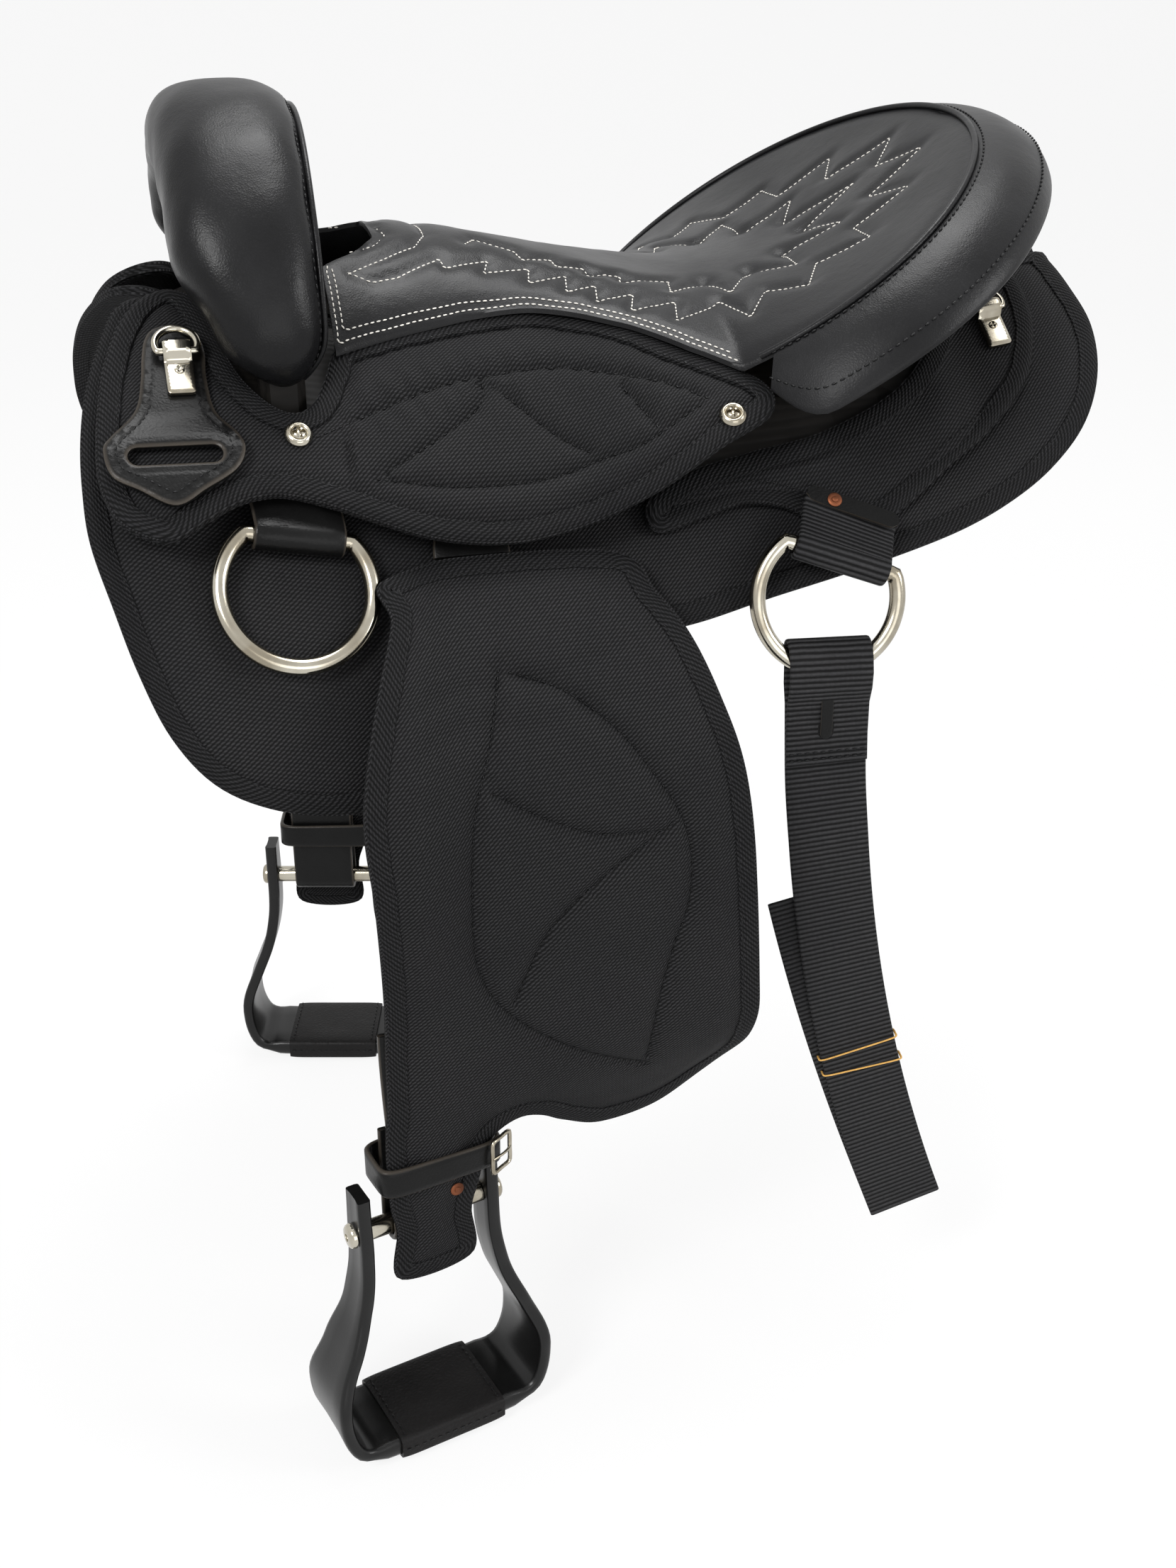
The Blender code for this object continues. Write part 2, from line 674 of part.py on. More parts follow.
SEAT_UNDER = -SEAT_LEATHER - SEAT_DRAWN
FOAM_TOP = SEAT_UNDER - LAYER * 3
FOAM_UNDER = FOAM_TOP - SEAT_FOAM
GROUND_TOP = FOAM_UNDER - LAYER * 2.5
FOAM_INSET = 0.027        # keeps the foam inside the leaning cantle wall


def seat_pad(x, y, edge, seam):
    """Crown of the seat leather: drawn in along its edge, sunk along the stitched pattern."""
    drawn = SEAT_DRAWN * (1.0 - smooth(edge / 0.016))
    dip = 0.0020 * math.exp(-(seam / 0.007) ** 2)
    return -drawn - dip


def flame_loop(centre_x, half_long, half_wide, points, depth, from_turn, to_turn):
    """A zigzag round an oval, open at its ends."""
    line = []
    for i in range(points * 2 + 1):
        t = math.radians(from_turn + (to_turn - from_turn) * i / (points * 2))
        out = 1.0 if i % 2 == 0 else 1.0 - depth
        line.append((centre_x + half_long * out * math.cos(t), half_wide * out * math.sin(t)))
    return line


def zigzag(start, end, points, height):
    """A straight row of points, up and down by height."""
    line = []
    for i in range(points * 2 + 1):
        k = i / (points * 2)
        x = start[0] + (end[0] - start[0]) * k
        y = start[1] + (end[1] - start[1]) * k
        line.append((x, y + (height if i % 2 else 0.0)))
    return line


def make_seat():
    cover_edge = seat_outline(0.0)
    seams = [flame_loop(0.112, 0.088, 0.112, 9, 0.28, -130, 130)]
    for side in (-1, 1):
        seams.append(zigzag((-0.150, 0.062 * side), (0.020, 0.066 * side), 5, -0.014 * side))
    panel("seat_cover", cover_edge, seat_place, lambda x, y: SEAT_UNDER, seat_pad, 1,
          LEATHER, 0.020, seams=seams, rim=0.010, smooth_outline=False)
    panel("seat_foam", foam_outline(), seat_place, lambda x, y: FOAM_UNDER,
          lambda x, y, edge, seam: FOAM_TOP, 1, FOAM, 0.027,
          smooth_outline=False)


def foam_outline():
    """The seat's outline drawn in, and cut short behind the hand hole."""
    near = [Vector((x, -knots(SEAT_EDGE, x)[0] + FOAM_INSET))
            for x in (HAND_HOLE_REAR + 0.012, -0.095, -0.060, -0.030, -0.005, 0.025)]
    dish = []
    for p in rim_points(27):
        dish.append(p + (Vector((RIM_CENTRE * 0.8, 0.0)) - p).normalized() * FOAM_INSET)
    far = [Vector((p.x, -p.y)) for p in reversed(near)]
    return near + dish + far


def make_ground_seat():
    outline = [(-0.134, -0.028), (-0.120, -0.040), (-0.060, -0.050), (0.010, -0.062), (0.060, -0.080),
               (0.060, 0.080), (0.010, 0.062), (-0.060, 0.050), (-0.120, 0.040), (-0.134, 0.028)]
    panel("ground_seat", outline, seat_place, lambda x, y: GROUND_TOP - GROUND_SEAT,
          lambda x, y, edge, seam: GROUND_TOP, 1, WOOD, 0.030, smooth_outline=False)


CANTLE_BACK_INSET = 0.006
CANTLE_FOOT = 0.68        # the wall's foot stands at this share of the dish's width


def wall_line(p, inset, drop):
    """One slanting line of the wall under the dish, from its upper end to its foot on the bars."""
    inward = (Vector((RIM_CENTRE * 0.8, 0.0)) - p).normalized()
    top = p + inward * (CANTLE_BACK_INSET + inset)
    low = Vector((RIM_CENTRE + (p.x - RIM_CENTRE) * (CANTLE_FOOT + 0.07), p.y * CANTLE_FOOT))
    low += inward * inset
    upper = Vector((top.x, top.y, seat_top(top.x, top.y) + SEAT_UNDER - LAYER))
    lower = Vector((low.x, low.y, height_over(low.x, low.y, bar_top) + LAYER * 1.5))
    share = drop / (upper.z - lower.z)
    return upper.lerp(lower, share), lower


def make_wall(name, outer, inner, stuff):
    """A bent wall between two rows of upper and lower points."""
    bm = bmesh.new()
    rings = []
    for (a, b), (c, d) in zip(outer, inner):
        rings.append([a, b, d, c])
    skin_of_rings(bm, rings, False)
    return finish(name, bm, stuff)


def make_cantle():
    points = rim_points(27)[3:-3]
    outer = [wall_line(p, 0.0, 0.0) for p in points]
    inner = [wall_line(p, CANTLE_LEATHER, 0.0) for p in points]
    make_wall("cantle_back", outer, inner, LEATHER)
    drop = SEAT_FOAM + LAYER * 7
    wood_outer = [wall_line(p, CANTLE_LEATHER + LAYER, drop) for p in points]
    wood_inner = [wall_line(p, CANTLE_LEATHER + LAYER + CANTLE_WALL, drop) for p in points]
    make_wall("tree_cantle", wood_outer, wood_inner, WOOD)


def make_cantle_roll():
    points = rim_points(33)[1:-1]
    bm = bmesh.new()
    rings = []
    section = ((0.0, -1.0), (0.0, 0.0), (0.20, 0.70), (0.45, 1.0), (0.70, 0.70), (0.90, -0.10),
               (1.0, -1.0), (0.93, -1.0), (0.70, -0.45), (0.45, -0.35))
    for i, p in enumerate(points):
        before = points[max(i - 1, 0)]
        after = points[min(i + 1, len(points) - 1)]
        along = (after - before).normalized()
        out = Vector((along.y, -along.x))
        share = (p.x - RIM_START) / (RIM_REAR - RIM_START)
        lean = math.radians(62 - 50 * max(share, 0.0) ** 0.8)
        width = ROLL_WIDTH * (0.16 + 0.84 * smooth(share / 0.24))
        size = width / ROLL_WIDTH
        start = Vector((p.x + out.x * 0.0008, p.y + out.y * 0.0008, dish_plane(p.x) - 0.002))
        ahead = Vector((out.x * math.cos(lean), out.y * math.cos(lean), -math.sin(lean)))
        ring = []
        for k, (a, crown) in enumerate(section):
            lift = crown * ROLL_CROWN * size if k in (1, 2, 3, 4, 5) else 0.0
            if k in (0, 6, 7, 8, 9):
                top = 1.0 - (2 * a - 1) ** 2
                lift = top * ROLL_CROWN * size - ROLL_THICK * size * (0.55 + 0.45 * top)
            ring.append(start + ahead * width * a + Vector((0, 0, lift)))
        rings.append(ring)
    skin_of_rings(bm, rings, False)
    finish("cantle_roll", bm, LEATHER)


ARCH_SIDES = ((0.0, -0.262, -0.176), (60.0, -0.260, -0.179), (90.0, -0.240, -0.180),
              (103.0, -0.224, -0.186))
FORK_SHARE = 0.62         # width of the wooden fork as a share of its cover
FORK_BARE = 0.003         # the wood stands this far out of the cover on the inside
FOOT_X = -0.206
FOOT_HALF = 0.0125
FOOT_OUT = 0.0120


def arch_frame(turn):
    """Centre, outward direction and the fore and aft limits at an angle from the crown."""
    t = math.radians(turn)
    centre = Vector((0.0, ARCH_HALF * math.sin(t), ARCH_BASE + ARCH_RISE * math.cos(t)))
    out = Vector((0.0, math.sin(t) / ARCH_HALF, math.cos(t) / ARCH_RISE)).normalized()
    front, rear = between(ARCH_SIDES, abs(turn))
    return centre, out, front, rear


def make_fork():
    turns = [-ARCH_END + 2 * ARCH_END * i / 26 for i in range(27)]
    bm = bmesh.new()
    rings = []
    sides = 14
    for turn in turns:
        centre, out, front, rear = arch_frame(turn)
        tip = max(0.0, (abs(turn) - 84.0) / (ARCH_END - 84.0))
        size = math.sqrt(max(0.0, 1.0 - tip * tip * 0.93))
        middle = (front + rear) / 2
        half = (rear - front) / 2 * size
        ring = []
        for k in range(sides):
            t = 2 * math.pi * k / sides
            c = math.copysign(abs(math.cos(t)) ** 0.75, math.cos(t))
            s = math.copysign(abs(math.sin(t)) ** 0.75, math.sin(t))
            reach = COVER_OUT * size if s > 0 else COVER_IN * (0.5 + 0.5 * size)
            ring.append(Vector((middle + half * c, centre.y, centre.z)) + out * reach * s)
        rings.append(ring)
    skin_of_rings(bm, rings, False)
    cover = finish("fork_cover", bm, LEATHER)

    def core(name, grow, stuff):
        bm = bmesh.new()
        rings = []
        corners = ((-1, -1), (1, -1), (1, 0.55), (0.6, 1), (-0.6, 1), (-1, 0.55))

        def ring_at(turn, foot=False):
            centre, out, front, rear = arch_frame(turn)
            ease = smooth((abs(turn) - 55.0) / 35.0)
            middle = (front + rear) / 2 + (FOOT_X - (front + rear) / 2) * ease
            half = (rear - front) / 2 * FORK_SHARE * (1.0 - ease) + FOOT_HALF * ease + grow
            reach_out = FORK_OUT + (FOOT_OUT - FORK_OUT) * ease + grow
            ring = []
            for a, b in corners:
                reach = reach_out * b if b > 0 else -(COVER_IN + FORK_BARE + grow)
                p = Vector((middle + half * a, centre.y, centre.z)) + out * reach
                if foot:
                    p.z = height_over(p.x, p.y, bar_top) + LAYER * 1.5 - grow
                ring.append(p)
            return ring
        rings.append(ring_at(-90, True))
        for i in range(21):
            rings.append(ring_at(-90 + 9 * i))
        rings.append(ring_at(90, True))
        skin_of_rings(bm, rings, False)
        return finish(name, bm, stuff)

    core("tree_fork", 0.0, WOOD)
    cut_by(cover, core("fork_room", LAYER, WOOD))


def frame_on(place, x, u, h, side):
    """Centre, fore and aft direction, downward direction and outward direction on a skin."""
    step = 0.004
    centre = place(x, u, h, side)
    aft = (place(x + step, u, h, side) - place(x - step, u, h, side)).normalized()
    down = place(x, u + step, h, side) - place(x, u - step, h, side)
    down = (down - aft * down.dot(aft)).normalized()
    out = aft.cross(down)
    if out.y * side < 0:
        out = -out
    return centre, aft, down, out


def dee_path(radius, chord, count):
    """Closed middle line of a dee: most of a circle and the straight bar that closes it."""
    start = -math.asin(chord / radius)
    half = radius * math.cos(start)
    path = []
    for i in range(count + 1):
        t = start + (math.pi - 2 * start) * i / count
        path.append(Vector((radius * math.cos(t), chord + radius * math.sin(t))))
    path += [Vector((half * (2 * i / 4 - 1), 0.0)) for i in range(1, 4)]
    return path


LOOP_REACH = DEE_BAR / 2 + SWING_GAP + RIG_STRAP / 2
LOOP_HEIGHT = SKIRT_THICK + LAYER + LOOP_REACH + RIG_STRAP / 2


def front_dee_frame(side):
    """Middle of the straight bar, its direction and the way the dee hangs."""
    centre, aft, down, out = frame_on(back, FRONT_DEE_X, FRONT_DEE_U, LOOP_HEIGHT, side)
    low = back(FRONT_DEE_X, FRONT_DEE_U + 0.08, LOOP_HEIGHT, side)
    down = low - centre
    down = (down - aft * down.dot(aft)).normalized()
    return centre, aft, down


def rear_dee_frame(side):
    """The rear bar lies turned on the skirt, and the dee hangs straight down from it."""
    centre, aft, down, out = frame_on(back, REAR_DEE_X, REAR_DEE_U, LOOP_HEIGHT + REAR_DEE_STAND, side)
    turn = math.radians(REAR_DEE_TURN)
    bar = (aft * math.cos(turn) + down * math.sin(turn)).normalized()
    bar = Matrix.Rotation(-side * math.radians(REAR_DEE_SWING), 3, "Z") @ bar
    hang = Vector((0.0, 0.0, -1.0))
    hang = (hang - bar * hang.dot(bar)).normalized()
    out = bar.cross(hang)
    if out.y * side < 0:
        out = -out
    lean = math.radians(REAR_DEE_LEAN)
    return centre, bar, hang * math.cos(lean) + out * math.sin(lean)


def make_dee(name, frame, radius, chord, bar, count=14, sides=8):
    centre, aft, down = frame
    path = [centre + aft * p.x + down * p.y for p in dee_path(radius, chord, count)]
    rod(name, path, bar / 2, NICKEL, sides=sides, closed=True)


def make_loop_strap(name, flat, centre, bar, side, width, stuff):
    """A strap along the points of flat that then wraps a dee's straight bar."""
    onward = centre - flat[-1]
    onward = (onward - bar * onward.dot(bar)).normalized()
    out = bar.cross(onward)
    if out.y * side < 0:
        out = -out
    path = list(flat)
    for turn in (115, 75, 35, -5, -45, -85, -120):
        t = math.radians(turn)
        path.append(centre + (out * math.sin(t) + onward * math.cos(t)) * LOOP_REACH)
    ribbon(name, path, [bar] * len(path), width, RIG_STRAP, stuff)


def make_rigging(side, tag):
    front = front_dee_frame(side)
    rear = rear_dee_frame(side)
    make_dee("front_rigging_dee_" + tag, front, DEE_RADIUS, FRONT_CHORD, DEE_BAR, 14, 7)
    make_dee("rear_rigging_dee_" + tag, rear, DEE_RADIUS, REAR_CHORD, DEE_BAR, 14, 7)
    flat = []
    for u in (0.144, 0.153):
        height = over_bars(FRONT_DEE_X, u) + LAYER * 2.5 + RIG_STRAP / 2
        flat.append(back(FRONT_DEE_X, u, height, side))
    make_loop_strap("front_rigging_strap_" + tag, flat, front[0], front[1], side, FRONT_STRAP_WIDTH,
                    STRAP_LEATHER)
    flat = []
    turn = math.radians(REAR_DEE_TURN)
    for along in (-0.036, -0.024):
        x = REAR_DEE_X - along * math.sin(turn)
        u = REAR_DEE_U + along * math.cos(turn)
        flat.append(back(x, u, rear_skirt_top(x, u) + LAYER * 2.6 + RIG_STRAP / 2, side))
    make_loop_strap("rear_rigging_loop_" + tag, flat, rear[0], rear[1], side, REAR_STRAP_WIDTH,
                    WEBBING)


TAB_OUTLINE = ((-0.259, 0.024), (-0.271, 0.026), (-0.277, 0.034), (-0.280, 0.048), (-0.282, 0.064),
               (-0.287, 0.084), (-0.301, 0.101), (-0.306, 0.110), (-0.303, 0.126), (-0.290, 0.135),
               (-0.272, 0.145), (-0.255, 0.136), (-0.238, 0.125), (-0.232, 0.113), (-0.235, 0.102),
               (-0.245, 0.086), (-0.247, 0.063), (-0.246, 0.046), (-0.249, 0.031))
SLOT_X = -0.269
SLOT_U = 0.1155
TAB_STAND = 0.0045


def tab_under(x, u):
    return GAP + TAB_STAND * smooth((u - 0.085) / 0.030)


def rounded_box(x, u, length, width, arc=4):
    """Outline of a slot with round ends."""
    line = []
    for end in (1, -1):
        for i in range(arc + 1):
            t = math.pi * (i / arc - 0.5)
            line.append((x + end * (length - width) / 2 + end * width / 2 * math.cos(t),
                         u + end * width / 2 * math.sin(t)))
    return line


def make_tab(side, tag):
    slot = rounded_box(SLOT_X, SLOT_U, SLOT_LENGTH, SLOT_WIDTH)
    panel("breast_tab_" + tag, TAB_OUTLINE, jockey_skin, tab_under,
          lambda x, u, edge, seam: tab_under(x, u) + TAB_THICK, side, STRAP_LEATHER, 0.014,
          holes=[slot])


FRONT_CLIP = (-0.261, 0.0495)
REAR_CLIP = (0.240, 0.062)


def clip_height(front, x, u):
    """Height of the surface that a small clip sits on."""
    return tab_under(x, u) + TAB_THICK if front else rear_skirt_top(x, u) + LAYER * 0.8


def make_small_clip(side, tag, front):
    place = jockey_skin if front else back
    x0, u0 = FRONT_CLIP if front else REAR_CLIP
    name = "front" if front else "rear"
    room = SMALL_BAR + 2 * SWING_GAP + LAYER

    def bridge(u):
        return room * smooth(1.0 - (abs(u - u0) - SMALL_BAR * 0.75) / 0.003)

    def under(x, u):
        return clip_height(front, x, u) + LAYER + bridge(u)
    low = u0 - CLIP_LENGTH * 0.24
    high = u0 + CLIP_LENGTH * 0.76
    half = CLIP_WIDTH / 2
    rows = [low] + [u0 + k * 0.0015 for k in range(-4, 5)] + [high - 0.012, high]
    outline = [(x0 - half, u) for u in rows] + [(x0 + half, u) for u in reversed(rows)]
    panel("dee_clip_" + name + "_" + tag, outline, place, under,
          lambda x, u, edge, seam: under(x, u) + CLIP_THICK, side, NICKEL, 0.020,
          smooth_outline=False)
    height = clip_height(front, x0, u0) + LAYER + (room + SWING_GAP) / 2
    centre, aft, down, out = frame_on(place, x0, u0, height, side)
    make_dee("small_dee_" + name + "_" + tag, (centre, aft, -down), SMALL_RADIUS, SMALL_CHORD, SMALL_BAR,
             10, 6)


SCREWS = (("front", -0.202, 0.102), ("rear", 0.038, 0.127))
SCREW_LIFT = 0.0006


def make_screws(side, tag):
    for name, x, u in SCREWS:
        centre, aft, down, out = frame_on(jockey_skin, x, u, 0.0, side)
        profile = ((CUP_RADIUS * 0.2, 0.0), (CUP_RADIUS, 0.0), (CUP_RADIUS, 0.0009),
                   (CUP_RADIUS * 0.72, CUP_HEIGHT), (SCREW_RADIUS, CUP_HEIGHT - 0.0004),
                   (SCREW_RADIUS * 0.7, CUP_HEIGHT + 0.0006), (0.0008, CUP_HEIGHT + 0.0009))
        turned("jockey_screw_" + name + "_" + tag, profile, centre + out * SCREW_LIFT, out, NICKEL,
               sides=12)


FENDER_TURN = math.radians(90.0 - FENDER_START_SLOPE) / FENDER_ARC
FENDER_Y = HANG_Y + (1.0 - math.sin(math.radians(FENDER_START_SLOPE))) / FENDER_TURN
LEATHER_STAND = 0.0012    # the sewn leather stands this far behind the fender
STIRRUP_Y = FENDER_Y - LEATHER_STAND - LEATHER_THICK - SWING_GAP - SLEEVE_RADIUS
TURN_TOP = -0.340
TURN_SPAN = 0.110


def turn_neck(p, side):
    """Turn a point of the neck about the vertical through the stirrup's middle."""
    angle = -side * math.radians(NECK_TURN) * smooth((TURN_TOP - p.z) / TURN_SPAN)
    centre = Vector((STIRRUP_X, side * STIRRUP_Y, 0.0))
    return centre + Matrix.Rotation(angle, 3, "Z") @ (p - centre)


def fender_skin(x, s, h, side):
    """Point of a fender at arc length s below the hinge, h out from its inner face."""
    start = math.radians(FENDER_START_SLOPE)
    within = min(s, FENDER_ARC)
    slope = start + FENDER_TURN * within
    y = HANG_Y + (math.sin(slope) - math.sin(start)) / FENDER_TURN + h * math.sin(slope)
    z = HANG_Z - (math.cos(start) - math.cos(slope)) / FENDER_TURN - (s - within) + h * math.cos(slope)
    y += FENDER_FLARE * smooth((-0.125 - x) / 0.045) * (1.0 - smooth((s - 0.16) / 0.14))
    return turn_neck(Vector((x, side * y, z)), side)


FENDER_OUTLINE = ((-0.160, 0.002), (-0.165, 0.029), (-0.178, 0.068), (-0.188, 0.1045),
                  (-0.193, 0.140), (-0.190, 0.187), (-0.187, 0.257), (-0.189, 0.319),
                  (-0.193, 0.345), (-0.195, 0.366), (-0.1955, 0.386), (-0.1945, 0.400),
                  (-0.1915, 0.416), (-0.1915, 0.4515), (-0.1425, 0.4515), (-0.1415, 0.416),
                  (-0.137, 0.400), (-0.1330, 0.386), (-0.1285, 0.371), (-0.1200, 0.3620),
                  (-0.106, 0.357), (-0.092, 0.361), (-0.077, 0.371), (-0.049, 0.384),
                  (-0.007, 0.383), (0.022, 0.364), (0.038, 0.338), (0.042, 0.305), (0.041, 0.269),
                  (0.037, 0.207), (0.030, 0.136), (0.018, 0.0912), (0.005, 0.0554),
                  (-0.010, 0.030), (-0.034, 0.002))
FENDER_SEAMS = (((-0.108, 0.066), (-0.117, 0.105), (-0.130, 0.147), (-0.134, 0.196), (-0.131, 0.240),
                 (-0.114, 0.272), (-0.073, 0.305), (-0.028, 0.330)),
                ((-0.101, 0.068), (-0.073, 0.080), (-0.044, 0.105), (-0.024, 0.133), (-0.010, 0.157),
                 (-0.004, 0.181), (-0.005, 0.213), (-0.014, 0.243), (-0.023, 0.283), (-0.027, 0.322)),
                ((-0.118, 0.133), (-0.090, 0.150), (-0.058, 0.163), (-0.018, 0.165)),
                ((-0.016, 0.162), (-0.058, 0.190), (-0.087, 0.217), (-0.103, 0.247), (-0.110, 0.264)))
FENDER_RIM = 0.0035


def make_fender(side, tag):
    def over(x, s, edge, seam):
        swell = smooth((edge - SKIRT_BINDING) / 0.018)
        thin = smooth((s - 0.322) / 0.035)
        thick = FENDER_THICK - FENDER_RIM * (1.0 - swell) * 0.6 - 0.0025 * thin
        return thick - SEAM_DIP * math.exp(-(seam / SEAM_REACH) ** 2) * swell
    panel("fender_" + tag, FENDER_OUTLINE, fender_skin, lambda x, s: 0.0, over, side, NYLON, 0.024,
          seams=FENDER_SEAMS, rim=SKIRT_BINDING)


def swing_pivot(side):
    """Where a stirrup leather swings fore and aft, at the upper edge of its fender."""
    return Vector((SWING_X, side * (HANG_Y + 0.0015), HANG_Z + 0.0045))


def make_leathers(side, tag):
    path = []
    for u in (LEATHER_TOP, 0.100, 0.115, 0.130, 0.145, LEATHER_END):
        path.append(back(SWING_X, u, over_bars(SWING_X, u) + 0.0045, side))
    ribbon("stirrup_leather_" + tag, path, [Vector((1, 0, 0))] * len(path), LEATHER_WIDTH,
           LEATHER_THICK, STRAP_LEATHER)
    foot = swing_pivot(side)
    top = back(SWING_X, LEATHER_END, over_bars(SWING_X, LEATHER_END) + 0.0045, side)
    reach = top - foot - (top - foot).normalized() * GAP
    steps = (0.0, 0.35, 0.65, 0.85, 0.960)
    ribbon("leather_drop_" + tag, [foot + reach * t for t in steps],
           [Vector((1, 0, 0))] * len(steps), LEATHER_WIDTH - 0.012, LEATHER_THICK, STRAP_LEATHER,
           [math.sqrt(1.0 - t * t) for t in steps])
    front_y = FENDER_Y - LEATHER_STAND - LEATHER_THICK / 2
    reach = SLEEVE_RADIUS + SWING_GAP + LEATHER_THICK / 2
    flat = [(front_y, -0.335 - 0.02 * i) for i in range(7)]
    for turn in range(0, 181, 30):
        t = math.radians(turn)
        flat.append((STIRRUP_Y + reach * math.cos(t), BOLT_Z - reach * math.sin(t)))
    flat += [(STIRRUP_Y - reach, -0.455), (STIRRUP_Y - reach, -0.435), (STIRRUP_Y - reach, -0.412)]
    path = [turn_neck(Vector((STIRRUP_X, side * y, z)), side) for y, z in flat]
    across = []
    for y, z in flat:
        a = turn_neck(Vector((STIRRUP_X + 0.01, side * y, z)), side)
        b = turn_neck(Vector((STIRRUP_X - 0.01, side * y, z)), side)
        across.append((a - b).normalized())
    ribbon("leather_loop_" + tag, path, across, 0.048, LEATHER_THICK, STRAP_LEATHER)


HOBBLE_Z = -0.4312
HOBBLE_X = -0.1605
HOBBLE_WIDTH = 0.019
HOBBLE_THICK = 0.0028
HOBBLE_HALF = 0.0375


def hobble_loop(side, z, grow):
    """Closed line round the neck of a fender, in plan."""
    front = FENDER_Y + FENDER_THICK - LAYER + grow
    rear = STIRRUP_Y - SLEEVE_RADIUS - SWING_GAP - LEATHER_THICK - LAYER * 2.5 - grow
    half = HOBBLE_HALF + grow
    middle = (front + rear) / 2
    deep = (front - rear) / 2
    line = []
    for i in range(24):
        t = 2 * math.pi * i / 24
        c = math.copysign(abs(math.cos(t)) ** 0.35, math.cos(t))
        s = math.copysign(abs(math.sin(t)) ** 0.35, math.sin(t))
        line.append(turn_neck(Vector((HOBBLE_X + half * c, side * (middle + deep * s), z)), side))
    return line


def make_hobble(side, tag):
    inner_low = hobble_loop(side, HOBBLE_Z - HOBBLE_WIDTH / 2, 0.0)
    outer_low = hobble_loop(side, HOBBLE_Z - HOBBLE_WIDTH / 2, HOBBLE_THICK)
    outer_high = hobble_loop(side, HOBBLE_Z + HOBBLE_WIDTH / 2, HOBBLE_THICK)
    inner_high = hobble_loop(side, HOBBLE_Z + HOBBLE_WIDTH / 2, 0.0)
    bm = bmesh.new()
    rings = [list(r) for r in zip(inner_low, outer_low, outer_high, inner_high)]
    skin_of_rings(bm, rings, True)
    finish("hobble_strap_" + tag, bm, STRAP_LEATHER)
    place = hobble_loop(side, HOBBLE_Z, HOBBLE_THICK + GAP + 0.0016)
    centre = place[3]
    up = Vector((0, 0, 1))
    aft = (place[2] - place[4]).normalized()
    half_tall = HOBBLE_WIDTH / 2 + 0.002
    path = [centre + aft * a * 0.0085 + up * b * half_tall
            for a, b in ((-1, -1), (0, -1), (1, -1), (1, 0), (1, 1), (0, 1), (-1, 1), (-1, 0))]
    rod("hobble_buckle_" + tag, path, 0.0014, NICKEL, sides=6, closed=True)


def stirrup_point(a, b, c, side):
    """Point in the stirrup's own frame: a aft along the bolt, b outwards, c up from the bolt."""
    angle = -side * math.radians(NECK_TURN)
    centre = Vector((STIRRUP_X, side * STIRRUP_Y, BOLT_Z))
    return centre + Matrix.Rotation(angle, 3, "Z") @ Vector((a, side * b, c))


LEG_PATH = ((NECK_HALF, 0.0295), (NECK_HALF, 0.010), (NECK_HALF, -0.014), (0.0445, -0.035),
            (0.0500, -0.060), (0.0600, -0.085), (0.0690, -0.108), (BELLY_HALF, -0.125),
            (0.0670, -0.140), (0.0610, -0.150))
LEG_DEPTHS = ((-0.160, 0.060), (-0.120, 0.056), (-0.085, 0.042), (-0.050, 0.029), (-0.014, LEG_DEPTH),
              (0.0295, 0.020))


